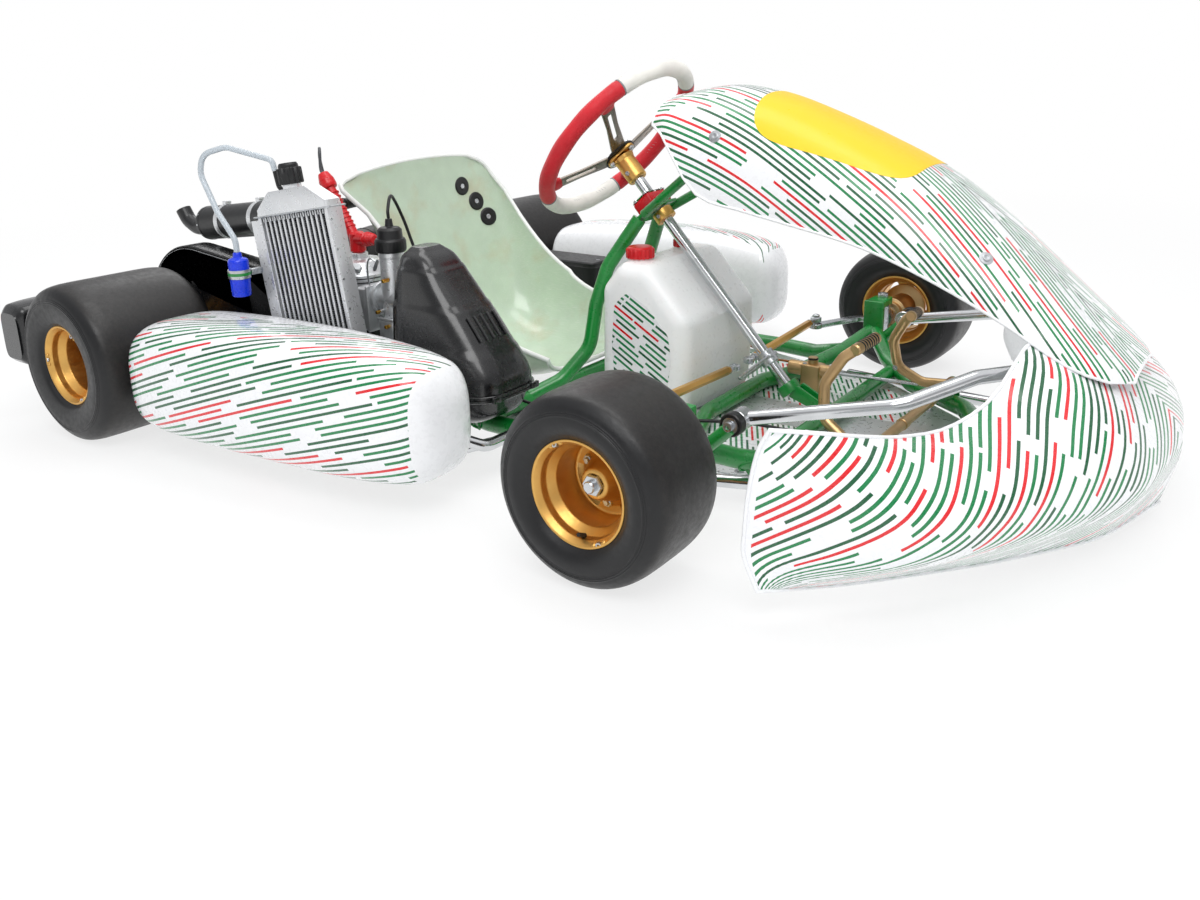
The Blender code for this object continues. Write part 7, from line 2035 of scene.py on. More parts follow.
def build_crankcase():
    """Black crankcase halves with a seam, covers, studs and the reed block."""
    low = ENGINE_PLATE_TOP + GAP
    black, zinc, grey = black_casting(), plated_steel(), cast_aluminium()
    middle = low + CRANKCASE_HEIGHT / 2
    case = box((0.150, 0.110, CRANKCASE_HEIGHT), (-0.335, -0.295, middle), edge=0.009)
    seam = [box((0.2, 0.0016, 0.2), (-0.335, -0.298, middle), edge=0.0002)]
    core = box((0.1476, 0.108, CRANKCASE_HEIGHT - 0.0024), (-0.335, -0.295, middle), edge=0.009)
    bore = rod(OUTPUT_SHAFT + Vector((0, 0.02, 0)), OUTPUT_SHAFT + Vector((0, 0.052, 0)), 0.016)
    parts = [(cut(case, *seam, bore), black), (cut(core, bore), black)]
    for x, z, radius, outer, screws in ((-0.304, 0.1455, 0.047, -0.352, 7),
                                        (-0.372, 0.140, 0.042, -0.354, 6)):
        casting, bolts = case_cover(x, z, radius, outer, screws)
        if x < -0.35:
            casting = [cut(casting[0], bore)]
            bolts = []
        parts += [(mesh, black) for mesh in casting] + [(mesh, zinc) for mesh in bolts]
        parts.append((rod((x, -0.29, z), (x, -0.232, z), radius * 0.96, edge=0.004), black))
    reed_face = CARB_X - CARB_REACH - GAP
    reed = box((0.030, 0.056, 0.074), (reed_face - 0.021, CARB_Y, 0.228), edge=0.004)
    flange = box((0.006, 0.060, 0.080), (reed_face - 0.003, CARB_Y, 0.230), edge=0.002)
    parts += [(reed, grey), (flange, grey)]
    for y in (-0.024, 0.024):
        for z in (-0.032, 0.032):
            parts.append((screw((reed_face - 0.0058, CARB_Y + y, 0.230 + z), (-1, 0, 0), 0.0036, 0.003),
                          zinc))
    spigot = rod((-0.290, -0.328, 0.130), (PUMP_SPIGOT_X, -0.328, 0.130), 0.0078, edge=0.001)
    parts.append((spigot, grey))
    for k in range(5):
        x = -0.395 + 0.030 * k
        parts.append((screw((x, -0.2395, low + CRANKCASE_HEIGHT - 0.012), (0, 1, 0), 0.0035, 0.003), zinc))
    gather("crankcase_halves", "chassis", parts, ("crankcase",))


def exhaust_port():
    """Outer end of the cylinder's exhaust stub and the way that it points."""
    end = Vector((-0.395, -0.290, 0.2380))
    return end, (end - Vector((-0.335, -0.298, 0.2320))).normalized()


def build_cylinder():
    """Cast water jacket, machined head with its nuts, and the stubs for exhaust and water."""
    low = ENGINE_PLATE_TOP + CRANKCASE_HEIGHT + 2 * GAP
    grey, alloy, zinc = cast_aluminium(), machined_aluminium(), plated_steel()
    at = shift(CYLINDER_AT.x, CYLINDER_AT.y, 0.0)
    jacket = [(0.0, low), (0.040, low), (0.046, low + 0.010), (0.046, low + 0.0590), (0.0, low + 0.0590)]
    head = [(0.0, low + 0.0590), (0.050, low + 0.0590), (0.052, low + 0.0615), (0.052, low + 0.079)]
    head += [(0.049, low + 0.083), (0.039, low + 0.101), (0.020, low + 0.1050), (0.0, low + 0.1050)]
    boss = [(0.0, low + 0.100), (0.0165, low + 0.100), (0.0165, low + CYLINDER_HEIGHT - 0.0012)]
    boss += [(0.0150, low + CYLINDER_HEIGHT), (0.0, low + CYLINDER_HEIGHT)]
    parts = [(turned(jacket, at, 96, 0.0015, 3), grey), (turned(head, at, 96, 0.0012, 3), alloy)]
    parts.append((turned(boss, at, 48), alloy))
    # Painted shade: two black rings stand slightly proud where the head's turned grooves would be, and no
    # groove is cut
    for groove in (0.066, 0.073):
        ring = [(0.0512, low + groove), (0.0525, low + groove), (0.0525, low + groove + 0.002)]
        ring.append((0.0512, low + groove + 0.002))
        parts.append((turned(ring, at, 96, 0.0003, 2), black_casting()))
    for k in range(6):
        a = math.radians(60 * k + 15)
        spot = (CYLINDER_AT.x + 0.0445 * math.cos(a), CYLINDER_AT.y + 0.0445 * math.sin(a), low + 0.0855)
        parts.append((nut(spot, (0, 0, 1), 0.0052, 0.0050, 0.0028), zinc))
    for k in range(8):
        z = low + 0.012 + 0.0055 * k
        ring = [(0.0455, z), (0.0469, z + 0.0006), (0.0469, z + 0.0018), (0.0455, z + 0.0024)]
        parts.append((turned(ring, at, 96), grey))
    end, way = exhaust_port()
    start = Vector((CYLINDER_AT.x, CYLINDER_AT.y, low + 0.036))
    parts.append((rod(start, end - way * 0.004, 0.0200, edge=0.001), grey))
    parts.append((rod(end - way * 0.006, end, 0.021, edge=0.001), zinc))
    water = Vector((CYLINDER_AT.x + 0.030, CYLINDER_AT.y - 0.030, low + 0.092))
    parts.append((rod(water, water + Vector((0.009, -0.009, 0.006)), 0.0070, 0.0062), grey))
    gather("cylinder_and_head", "chassis", parts, ("cylinder",))


def build_spark_cap():
    """Red boot on the plug with its ribbed coil stem, crown and lead."""
    top = ENGINE_PLATE_TOP + CRANKCASE_HEIGHT + CYLINDER_HEIGHT + 3 * GAP
    base = Vector((CYLINDER_AT.x, CYLINDER_AT.y, top))
    red = red_plastic()
    parts = [(rod(base, base + Vector((0, 0, 0.036)), 0.0140, edge=0.003), red)]
    foot = (base + Vector((-0.004, 0, 0.024)), base + Vector((0.054, -0.008, 0.028)))
    parts.append((rod(*foot, 0.013, 0.009, edge=0.002), red))
    low, high = base + Vector((-0.006, 0.0, 0.024)), base + Vector((-0.066, 0.0, 0.118))
    way = (high - low).normalized()
    parts.append((rod(low, high, 0.0100, 0.0088), red))
    for k in range(9):
        at = low + way * (0.022 + 0.0085 * k)
        ring = [(0.0080, -0.0022), (0.0114, -0.0010), (0.0114, 0.0010), (0.0080, 0.0022)]
        parts.append((turned(ring, axis_matrix(at, way), 40, 0.0004, 2), red))
    crown = [(0.0, -0.010), (0.0135, -0.010), (0.0145, -0.004), (0.0140, 0.006), (0.0095, 0.020),
             (0.0, 0.020)]
    parts.append((turned(crown, axis_matrix(high, way), 48, 0.0016, 3), red))
    for k in range(3):
        ring = [(0.0105 - 0.001 * k, 0.0), (0.0128 - 0.001 * k, 0.001), (0.0105 - 0.001 * k, 0.003)]
        at = foot[0].lerp(foot[1], 0.60 + 0.13 * k)
        parts.append((turned(ring, axis_matrix(at, foot[1] - foot[0]), 36), red))
    gather("spark_plug_cap_moulding", "chassis", parts, ("spark_plug_cap",))
    start = high + way * 0.0195
    route = [start, start + way * 0.010, (-0.4190, -0.2950, 0.4800), (-0.4300, -0.2860, 0.4860)]
    route += [(-0.4400, -0.2780, 0.4600), (-0.4360, -0.2660, 0.4000), (-0.4220, -0.2480, 0.3300)]
    route += [(-0.3950, -0.2440, 0.2600), (-0.3800, -0.2450, 0.1985)]
    lead = tube(through(route, 8), 0.0028, 14)
    gather("plug_lead", "chassis", [(lead, cable_sleeve())])


def build_carburettor():
    """Slide carburettor: cast body, bowl with screws, brass jets, cable top and choke lever."""
    x, y, z = CARB_X, CARB_Y, CARB_BORE_Z
    grey, alloy, black, zinc, yellow = (
        cast_aluminium(), machined_aluminium(), satin_plastic(), plated_steel(), brass())
    at = shift(x, y, 0.0)
    body = [(0.0, 0.212), (0.0190, 0.214), (0.0205, 0.230), (0.0205, 0.318), (0.0215, 0.322),
            (0.0215, 0.330)]
    body.append((0.0, 0.330))
    cap = [(0.0, 0.329), (0.0245, 0.329), (0.0260, 0.332), (0.0260, 0.348), (0.0240, 0.3515),
           (0.0215, 0.352)]
    cap += [(0.0205, 0.366), (0.0160, 0.370), (0.0070, 0.372), (0.0055, 0.384), (0.0, 0.384)]
    parts = [(turned(body, at, 72, 0.0012, 3), alloy), (turned(cap, at, 72, 0.0009, 3), black)]
    for k in range(30):
        a = 2 * math.pi * k / 30
        spot = Vector((x + 0.0259 * math.cos(a), y + 0.0259 * math.sin(a), 0.340))
        rib = box((0.0008, 0.0022, 0.0140), edge=0.0003)
        parts.append((moved(rib, Matrix.Translation(spot) @ Matrix.Rotation(a, 4, "Z")), black))
    throat = [(0.0130, -0.030), (0.0205, -0.030), (0.0205, 0.0300), (0.0198, 0.034), (0.0160, 0.034),
              (0.0130, 0.020)]
    parts.append((turned(throat, axis_matrix((x, y, z), (1, 0, 0)), 64, 0.0008, 2), grey))
    flange = [(0.0130, -CARB_REACH), (0.0262, -CARB_REACH), (0.0270, -0.031), (0.0262, -0.026),
              (0.0130, -0.026)]
    parts.append((turned(flange, axis_matrix((x, y, z), (1, 0, 0)), 64, 0.0006, 2), grey))
    parts.append((box((0.036, 0.050, 0.040), (x, y, 0.195), edge=0.0045), grey))
    parts.append((box((0.0385, 0.0525, 0.0050), (x, y, 0.2165), edge=0.0015), grey))
    parts.append((rod((x, y, 0.180), (x, y, 0.166), 0.0088, sides=6), yellow))
    for dx in (-0.0145, 0.0145):
        for dy in (-0.0215, 0.0215):
            parts.append((screw((x + dx, y + dy, 0.2190), (0, 0, 1), 0.0030, 0.0018), zinc))
    parts.append((rod((x + 0.008, y - 0.024, 0.206), (x + 0.008, y - 0.0335, 0.206), 0.0035, sides=6),
                  yellow))
    parts.append((rod((x - 0.008, y - 0.024, 0.230), (x - 0.008, y - 0.036, 0.230), 0.0032), yellow))
    parts.append((coil((x - 0.008, y - 0.0215, 0.230), (x - 0.008, y - 0.0300, 0.230), 0.0042, 0.0006, 4),
                  zinc))
    screw_low = Vector((x + 0.010, y - 0.0195, 0.285))
    parts.append((rod(screw_low, screw_low + Vector((0, -0.014, 0)), 0.0036, sides=6), yellow))
    lever = rounded([(-0.004, 0.0), (0.0, -0.004), (0.020, -0.003), (0.020, 0.003), (0.0, 0.004)], 0.002, 3,
                    True)
    lever_at = shift(x - 0.020, y - 0.0215, 0.300) @ Matrix.Rotation(math.pi / 2, 4, "X")
    parts.append((plate(lever, 0.0016, lever_at @ Matrix.Rotation(math.radians(60), 4, "Z")), zinc))
    hoop = [(x - 0.024, y - 0.012, 0.310), (x - 0.036, y - 0.016, 0.316), (x - 0.044, y - 0.016, 0.300)]
    hoop += [(x - 0.044, y - 0.014, 0.270), (x - 0.036, y - 0.012, 0.256), (x - 0.022, y - 0.010, 0.256)]
    parts.append((tube(through(hoop, 7), 0.0016, 10), zinc))
    gather("carburettor_casting", "chassis", parts, ("carburettor",))


def wedge_ring(z, x1, x2, half, grow=0.0, count=96):
    """Level ring of the airbox."""
    ring = superellipse((x2 - x1) / 2 + grow, half + grow, 3.4, count)
    return [((x1 + x2) / 2 + dx, AIRBOX_Y + dy, z) for dx, dy in ring]


def build_airbox():
    """Textured intake silencer: stepped wedge with ribs and a boot, over a tray with a flange and clips."""
    levels = [(0.1385, -0.164, 0.066, 0.076), (0.1600, -0.162, 0.064, 0.074),
              (0.2000, -0.160, 0.038, 0.068)]
    levels += [(0.2500, -0.158, 0.000, 0.062), (0.3000, -0.152, -0.042, 0.054),
               (0.3350, -0.142, -0.070, 0.044)]
    levels.append((0.3500, -0.128, -0.092, 0.026))
    rows = []
    for i in range(52):
        z = 0.1385 + (0.350 - 0.1385) * (1 - (1 - i / 51) ** 1.6)
        x1, x2, half = read_off(levels, z)
        step = 0.0
        for line in (0.198, 0.262, 0.318):
            step -= 0.0016 * (0.5 + 0.5 * math.tanh((z - line) / 0.0012))
        rows.append(wedge_ring(z, x1, x2, half, step + 0.0012 if z < 0.345 else step * 0.6))
    low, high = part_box("airbox")
    rows = [[(min(x, high.x), max(min(y, high.y), low.y), z) for x, y, z in ring] for ring in rows]
    black, zinc = airbox_plastic(), plated_steel()
    parts = [(skin(rows), black)]
    for y in (-0.030, -0.015, 0.0, 0.015, 0.030):
        route = []
        for z in (0.215, 0.232, 0.250):
            x1, x2, half = read_off(levels, z)
            route.append(Vector((x2 + 0.0002, AIRBOX_Y + y, z)))
        parts.append((tube(through([tuple(p) for p in route], 4), 0.0022, 10), black))
    mouth_x = CARB_X + CARB_REACH + GAP
    boot = [(0.0, 0.0), (0.024, 0.0), (0.026, 0.003), (0.0245, 0.008), (0.0260, 0.012), (0.0245, 0.016)]
    boot += [(0.026, 0.022), (0.026, 0.030), (0.0, 0.030)]
    parts.append((turned(boot, axis_matrix((mouth_x, CARB_Y, CARB_BORE_Z), (1, 0, 0)), 64, 0.001, 2),
                  hose_rubber()))
    parts.append((band((mouth_x + 0.0055, CARB_Y, CARB_BORE_Z), (1, 0, 0), 0.0247, 0.006, 0.0010), zinc))
    gather("airbox_cover", "chassis", parts, ("airbox",))
    levels = [(0.0830, -0.110, 0.024, 0.052), (0.0950, -0.138, 0.046, 0.064),
              (0.1240, -0.156, 0.060, 0.072)]
    rings = [wedge_ring(*read_off_ring(levels, 0.083 + 0.041 * i / 14)) for i in range(15)]
    rings += [wedge_ring(0.1262, -0.158, 0.062, 0.074), wedge_ring(0.1270, -0.165, 0.070, 0.080, -0.0012)]
    rings += [wedge_ring(0.1282, -0.165, 0.070, 0.080), wedge_ring(0.1320, -0.165, 0.070, 0.080)]
    rings += [wedge_ring(0.1326, -0.165, 0.070, 0.080, -0.0014),
              wedge_ring(0.1338, -0.165, 0.070, 0.080, -0.0014)]
    rings += [wedge_ring(0.1344, -0.165, 0.070, 0.080), wedge_ring(0.1372, -0.165, 0.070, 0.080)]
    rings.append(wedge_ring(0.1380, -0.165, 0.070, 0.080, -0.0010))
    parts = [(skin(rings), black)]
    for y in (-0.046, 0.046):
        parts += clip_parts((0.0695, AIRBOX_Y + y, 0.1325), black, zinc)
    for x in (-0.10, -0.01):
        for out in (LEFT, RIGHT):
            at = (x, AIRBOX_Y + out * 0.0795, 0.1330)
            parts.append((box((0.020, 0.004, 0.0098), at, edge=0.001), black))
    gather("airbox_base", "chassis", parts, ("airbox_tray",))


def read_off_ring(levels, z):
    """Level of the moulded block at this height, read off between the given levels."""
    return [z, *read_off(levels, z)]


def clip_parts(at, black, zinc):
    """Clip over the airbox's seam with its silver screw."""
    x, y, z = at
    body = box((0.0060, 0.018, 0.0105), (x - 0.0024, y, z), edge=0.0015)
    return [(body, black), (screw((x + 0.0002, y, z), (1, 0, 0), 0.0032, 0.0003), zinc)]


def radiator_matrix():
    """Radiator's frame: local Z up its core, leaning back, local Y across the core."""
    return shift(-0.2524, -0.437, 0.128) @ Matrix.Rotation(math.radians(-9.5), 4, "Y")


def zigzag(x, depth, low, high, pitch, reach):
    """Folded fin strip between two tubes, as a thin corrugated sheet."""
    count = int((high - low) / pitch * 2)
    rows = []
    for i in range(count + 1):
        z = low + (high - low) * i / count
        edge = x + (reach if i % 2 else -reach)
        rows.append([(edge, -depth / 2, z), (edge, depth / 2, z)])
    return sheet(rows)


def build_radiator():
    """Core of bright tubes and dark folded fins, riveted side plates, welded tanks and neck."""
    seat_at, slim, trim = radiator_matrix(), 0.008, 0.016
    place_at = seat_at @ shift(-trim / 2, -slim / 2, 0.0)
    width, depth, height = RADIATOR_WIDTH - trim, RADIATOR_DEPTH - slim, RADIATOR_HEIGHT
    alloy, grey, foil, zinc = machined_aluminium(), cast_aluminium(), fin_foil(), plated_steel()
    bright = []
    columns = 13
    pitch = (width - 0.016) / columns
    fins = []
    for k in range(columns + 1):
        x = -(width - 0.016) / 2 + pitch * k
        tube_box = box((0.0046, depth, height), (x, 0.0, height / 2), edge=0.0012)
        bright.append(tube_box)
        if k < columns:
            fins.append(zigzag(x + pitch / 2, depth - 0.003, 0.004, height - 0.002, size("fin_pitch"),
                               pitch * 0.30))
    for side in (LEFT, RIGHT):
        x = side * width / 2
        flange = box((0.0030, depth + 0.008, height + 0.010), (x + side * 0.0022, 0.0, height / 2),
                     edge=0.0008)
        web = box((0.0070, 0.0026, height + 0.010), (x, -(depth + 0.008) / 2 + 0.0014, height / 2),
                  edge=0.0008)
        bright += [flange, web]
        far_web = box((0.0070, 0.0026, height + 0.010), (x, (depth + 0.008) / 2 - 0.0014, height / 2),
                      edge=0.0008)
        bright.append(far_web)
    bright.append(box((width + 0.004, depth + 0.006, 0.024), (0.0, 0.0, -0.004), edge=0.004))
    wing = box((0.034, 0.0022, height - 0.030),
               (-width / 2 - 0.017, -depth / 2 + 0.004, height / 2 + 0.010), edge=0.0006)
    bright.append(wing)
    levels = [(0.0, -0.091, 0.091, 0.0155), (0.0110, -0.091, 0.091, 0.0155),
              (0.0360, -0.056, 0.050, 0.0150)]
    levels.append((0.038, -0.053, 0.047, 0.0140))
    rings = []
    for z, x1, x2, half in levels:
        ring = [(x1, -half), (x2, -half), (x2, half), (x1, half)]
        rings.append([(p.x, p.y, height + z) for p in rounded([(x, y, 0) for x, y in ring], 0.005, 4,
                                                              True)])
    bright.append(skin(rings))
    parts = [(moved(mesh, place_at), alloy) for mesh in bright]
    for mesh in fins:
        mesh.transform(place_at)
        parts.append((mesh, foil))
    seam = [(x1, y) for x1, y in ((-0.091, -0.0155), (0.091, -0.0155), (0.091, 0.0155), (-0.091, 0.0155))]
    bead = [(p.x, p.y, height + 0.0012) for p in rounded([(x, y, 0) for x, y in seam], 0.004, 4, True)]
    bead = through([tuple(p) for p in bead], 3, closed=True)
    ripple = [1.0 if i % 2 else 0.8 for i in range(len(bead))]
    parts.append((moved(tube(bead, 0.0016, 8, ripple, closed=True), place_at @ Matrix.Scale(0.995, 4)),
                  grey))
    for k in range(26):
        x = -0.078 + 0.156 * k / 25
        tooth = box((0.0016, 0.0020, 0.0075), (x, -depth / 2 - 0.0022, height - 0.006), edge=0.0004)
        parts.append((moved(tooth, place_at), alloy))
    neck = [(0.0, 0.026), (0.0150, 0.026), (0.0150, NECK_RISE - 0.003), (0.0150, NECK_RISE),
            (0.0, NECK_RISE)]
    neck_at = seat_at @ shift(NECK_X, 0.0, height)
    parts.append((turned(neck, neck_at, 56, 0.0008, 2), alloy))
    elbow, end = nipple_elbow(), nipple_end()
    nipple = rounded([seat_at @ Vector((NECK_X, 0, height + 0.036)), elbow, end], 0.010, 8)
    parts.append((tube(nipple, 0.0040, 20), satin_plastic()))
    parts.append((moved(rod((0.045, 0.0, 0.0), (0.045, 0.038, 0.0), 0.0080, edge=0.001), seat_at), grey))
    for k in range(6):
        z = 0.02 + 0.048 * k
        for side in (LEFT, RIGHT):
            at = place_at @ Vector((side * (width / 2 + 0.0037), -0.010, z))
            way = turned_way(place_at, (side, 0, 0))
            parts.append((rod(at - way * 0.0012, at + way * 0.0002, 0.0026), zinc))
    foot_top = ENGINE_PLATE_TOP + GAP
    parts.append((box((0.028, 0.090, 0.006), (-0.230, -0.388, foot_top + 0.003), edge=0.001), alloy))
    parts.append((box((0.028, 0.020, 0.040), (-0.230, -0.433, foot_top + 0.020), edge=0.0015), alloy))
    gather("radiator_core", "chassis", parts, ("radiator",))


def nipple_elbow():
    """Bend of the overflow nipple on the radiator's neck."""
    return radiator_matrix() @ Vector((NECK_X - 0.0300, -0.003, RADIATOR_HEIGHT + 0.040))


def nipple_end():
    """Open end of the overflow nipple."""
    return radiator_matrix() @ Vector((NECK_X - 0.0310, -0.004, RADIATOR_HEIGHT + 0.070))


def ribbed_cap(inner, outer, ribs, low, high):
    """Ribbed side of a screw cap as a closed skin along local Z."""
    rings = []
    for z, shrink in ((low, 0.0008), (low + 0.0012, 0.0), (high - 0.0016, 0.0), (high, 0.0012)):
        ring = []
        for k in range(ribs * 8):
            a = 2 * math.pi * k / (ribs * 8)
            radius = inner + (outer - inner) * (0.5 + 0.5 * math.tanh(2.5 * math.cos(ribs * a))) - shrink
            ring.append((radius * math.cos(a), radius * math.sin(a), z))
        rings.append(ring)
    return skin(rings)


def build_radiator_cap():
    """Ribbed black cap on the radiator's neck."""
    place_at = radiator_matrix() @ shift(NECK_X, 0.0, RADIATOR_HEIGHT + NECK_RISE + GAP)
    black = satin_plastic()
    top = [(0.0, 0.024), (0.0165, 0.024), (0.0162, 0.030), (0.0140, 0.034), (0.0060, 0.0330), (0.0, 0.0330)]
    parts = [(moved(ribbed_cap(0.0186, 0.0204, 14, 0.0, 0.026), place_at), black)]
    parts.append((turned(top, place_at, 56, 0.0008, 2), black))
    gather("radiator_cap_ribbed", "pressure_cap", parts, ("radiator_cap",))


def build_overflow():
    """Clear hose from the neck to the blue catch bottle, with its clamp and screw."""
    way = (nipple_end() - nipple_elbow()).normalized()
    start = nipple_end() + way * GAP
    route = [start, start + way * 0.018, (-0.430, -0.478, 0.505), (-0.464, -0.500, 0.494),
             (-0.474, -0.502, 0.462)]
    route += [(-0.440, -0.501, 0.400), (-0.401, -0.500, 0.356), (-0.401, -0.500, 0.3355 + GAP)]
    path = rounded([Vector(p) for p in route], 0.03, 9)
    hose = gather("overflow_hose_clear", "chassis", [(tube(path, 0.0048, 22), clear_hose())],
                  ("overflow_hose",))
    at = shift(-0.401, -0.500, 0.0)
    blue, zinc, green = blue_plastic(), plated_steel(), powder_coat()
    profile = [(0.0, 0.262), (0.0145, 0.262), (0.0155, 0.264), (0.0165, 0.292), (0.0165, 0.3215),
               (0.0150, 0.3245)]
    profile += [(0.0075, 0.3275), (0.0070, 0.3330), (0.0060, 0.3355), (0.0, 0.3355)]
    parts = [(turned(profile, at, 64, 0.0012, 3), blue)]
    clamp = [(0.0166, 0.2925), (0.0183, 0.2925), (0.0183, 0.3075), (0.0166, 0.3075)]
    parts.append((turned(clamp, at, 64, 0.0004, 2), zinc))
    stripe = [(0.0180, 0.2975), (0.0185, 0.2975), (0.0185, 0.3025), (0.0180, 0.3025)]
    parts.append((turned(stripe, at, 64), green))
    parts.append((box((0.010, 0.022, 0.010), (-0.396, -0.471, 0.300), edge=0.001), zinc))
    parts.append((screw((-0.3905, -0.472, 0.300), (1, 0, 0), 0.0034, 0.0001), zinc))
    for z in (0.270, 0.2755, 0.281):
        ring = [(0.0150, z), (0.0162, z + 0.0008), (0.0150, z + 0.0016)]
        parts.append((turned(ring, at, 56), blue))
    gather("overflow_bottle_moulding", "chassis", parts, ("overflow_bottle",))


def build_coolant_hose():
    """Rubber hose from the radiator's lower spigot to the engine's."""
    start = radiator_matrix() @ Vector((0.045, 0.038 + GAP, 0.0))
    route = [start, (start.x, start.y + 0.022, start.z), (start.x - 0.004, -0.345, start.z + 0.002)]
    route += [(start.x - 0.012, -0.328, 0.130), (PUMP_SPIGOT_X + GAP, -0.328, 0.130)]
    path = rounded([Vector(p) for p in route], 0.012, 7)
    parts = [(tube(path, 0.0080, 28), hose_rubber())]
    gather("coolant_hose_rubber", "chassis", parts, ("coolant_hose",))


def build_exhaust():
    """Expansion chamber from welded cones, and the riveted silencer with its bands and outlet."""
    end, way = exhaust_port()
    tail = SILENCER_INLET + Vector((0.0, 0.020, 0.0))
    route = [end + way * 0.010, end + way * 0.040, (-0.520, -0.205, 0.255), (-0.585, -0.110, 0.250)]
    route += [(-0.612, -0.010, 0.250), (-0.606, 0.080, 0.262), (-0.578, 0.128, 0.295),
              (-0.545, 0.110, 0.335)]
    route += [(-0.520, 0.020, 0.362), (-0.500, -0.110, 0.372), tail]
    widths = [0.019, 0.022, 0.034, 0.044, 0.045, 0.036, 0.022, 0.012, 0.011, 0.011, 0.011]
    keyed = [(*p, w) for p, w in zip(route, widths)]
    steps = 8
    points = [Vector((*end, 0.019)) + Vector((*way, 0.0)) * GAP]
    for i in range(len(keyed) - 1):
        before, after = Vector(keyed[max(i - 1, 0)]), Vector(keyed[min(i + 2, len(keyed) - 1)])
        a, b = Vector(keyed[i]), Vector(keyed[i + 1])
        for step in range(steps):
            t = step / steps
            near = a * (2 * t**3 - 3 * t**2 + 1) + (b - before) / 2 * (t**3 - 2 * t**2 + t)
            far = b * (3 * t**2 - 2 * t**3) + (after - a) / 2 * (t**3 - t**2)
            point = near + far
            point.w = widths[i] + (widths[i + 1] - widths[i]) * t
            points.append(point)
    points += [Vector((*tail, 0.011)), Vector((*SILENCER_INLET, 0.011))]
    centre_line = [p.xyz for p in points]
    chamber = tube(centre_line, 1.0, 48, [p.w for p in points])
    burnt, zinc = burnt_paint(), plated_steel()
    parts = [(chamber, burnt)]
    for index in range(5, len(points) - 2, 5):
        point = points[index]
        ahead = (points[index + 1].xyz - points[index - 1].xyz).normalized()
        parts.append((ring_bead(point.xyz, ahead, point.w, size("weld_bead") * 0.55), burnt))
    gather("exhaust_chamber_cones", "chassis", parts, ("exhaust_chamber",))
    front, rear = Vector((-0.520, -0.300, 0.360)), Vector((-0.775, -0.300, 0.328))
    can_way = (rear - front).normalized()
    reach = (rear - front).length
    black, alloy = black_sheet(), machined_aluminium()
    profile = [(0.0, 0.0), (0.026, 0.0), (0.0325, 0.004), (0.034, 0.0065), (0.034, 0.0130),
               (0.0332, 0.0145)]
    profile += [(0.0332, reach - 0.0145), (0.034, reach - 0.013), (0.034, reach - 0.0065),
                (0.0325, reach - 0.004)]
    profile += [(0.026, reach), (0.0, reach)]
    matrix = axis_matrix(front, can_way)
    parts = [(turned(profile, matrix, 80, 0.0010, 2), black)]
    for at in (0.0098, reach - 0.0098):
        for k in range(10):
            a = 2 * math.pi * k / 10
            spot = on_circle(matrix, 0.0338, a, at)
            out = turned_way(matrix, (math.cos(a), math.sin(a), 0.0))
            parts.append((rod(spot - out * 0.0015, spot + out * 0.0002, 0.0023), zinc))
    start = SILENCER_INLET - Vector((0.0, GAP, 0.0))
    bend = [start, Vector((start.x, -0.290, start.z - 0.001)), Vector((-0.530, -0.300, 0.359))]
    parts.append((tube(rounded(bend, 0.03, 8), 0.0108, 28), black))
    elbow = [Vector(p) for p in ((-0.765, -0.300, 0.322), (-0.812, -0.302, 0.316), (-0.838, -0.304, 0.330))]
    elbow.append(Vector((-0.850, -0.306, 0.352)))
    outlet = rounded(elbow, 0.03, 8)
    parts.append((tube(outlet, 0.0150, 36), black))
    mouth = (outlet[-1] - outlet[-2]).normalized()
    parts.append((rod(outlet[-1] - mouth * 0.01, outlet[-1] + mouth * 0.00005, 0.0128), hose_rubber()))
    for share in (0.30, 0.72):
        parts.append((band(front.lerp(rear, share), can_way, 0.0333, 0.012, 0.0008), alloy))
    gather("silencer_can", "chassis", parts, ("silencer",))


def ring_bead(centre, way, radius, bead):
    """Rippled weld round a pipe."""
    matrix = axis_matrix(centre, way)
    route = [on_circle(matrix, radius, a, 0)
             for a in (2 * math.pi * k / 48 for k in range(48))]
    return tube(route, bead, 8, [1.0 if k % 2 else 0.82 for k in range(48)], closed=True)


def build_battery_box():
    """Moulded box with a lid, ribs and two lid screws."""
    low = FRAME_Z + TUBE_R + GAP
    black, zinc = satin_plastic(), plated_steel()
    centre = Vector((-0.325, 0.305, 0.0))
    rings = []
    for z, grow in ((0.0, -0.004), (0.004, 0.0), (0.100, 0.0012), (0.112, 0.0012)):
        ring = superellipse(0.0935 + grow, 0.0385 + grow, 9.0, 72)
        rings.append([(centre.x + x, centre.y + y, low + z) for x, y in ring])
    parts = [(skin(rings), black)]
    lid = []
    for z, grow in ((0.112, -0.001), (0.1135, 0.0), (0.121, 0.0), (0.1238, -0.003)):
        ring = superellipse(0.098 + grow, 0.043 + grow, 9.0, 72)
        lid.append([(centre.x + x, centre.y + y, low + z) for x, y in ring])
    parts.append((skin(lid), black))
    for k in range(7):
        for out in (LEFT, RIGHT):
            at = (centre.x - 0.066 + 0.022 * k, centre.y + out * 0.0390, low + 0.055)
            parts.append((box((0.0030, 0.0024, 0.090), at, edge=0.0009), black))
    for x in (-0.080, 0.080):
        parts.append((screw((centre.x + x, centre.y, low + 0.1230), (0, 0, 1), 0.0040, 0.0009), zinc))
    gather("battery_box_moulding", "chassis", parts, ("battery_box",))


# Seat, tank and bodywork


# Share by which each side of the seat's outside widens with height: the right shoulder is the broad one
SHOULDERS = (
    (-1.0, 1.0, 1.0), (0.300, 1.0, 1.0), (0.355, 1.08, 1.016), (0.400, 1.33, 1.04), (0.425, 1.60, 1.137),
    (0.436, 1.74, 1.18), (0.443, 1.70, 1.08), (1.0, 1.70, 1.08),
)


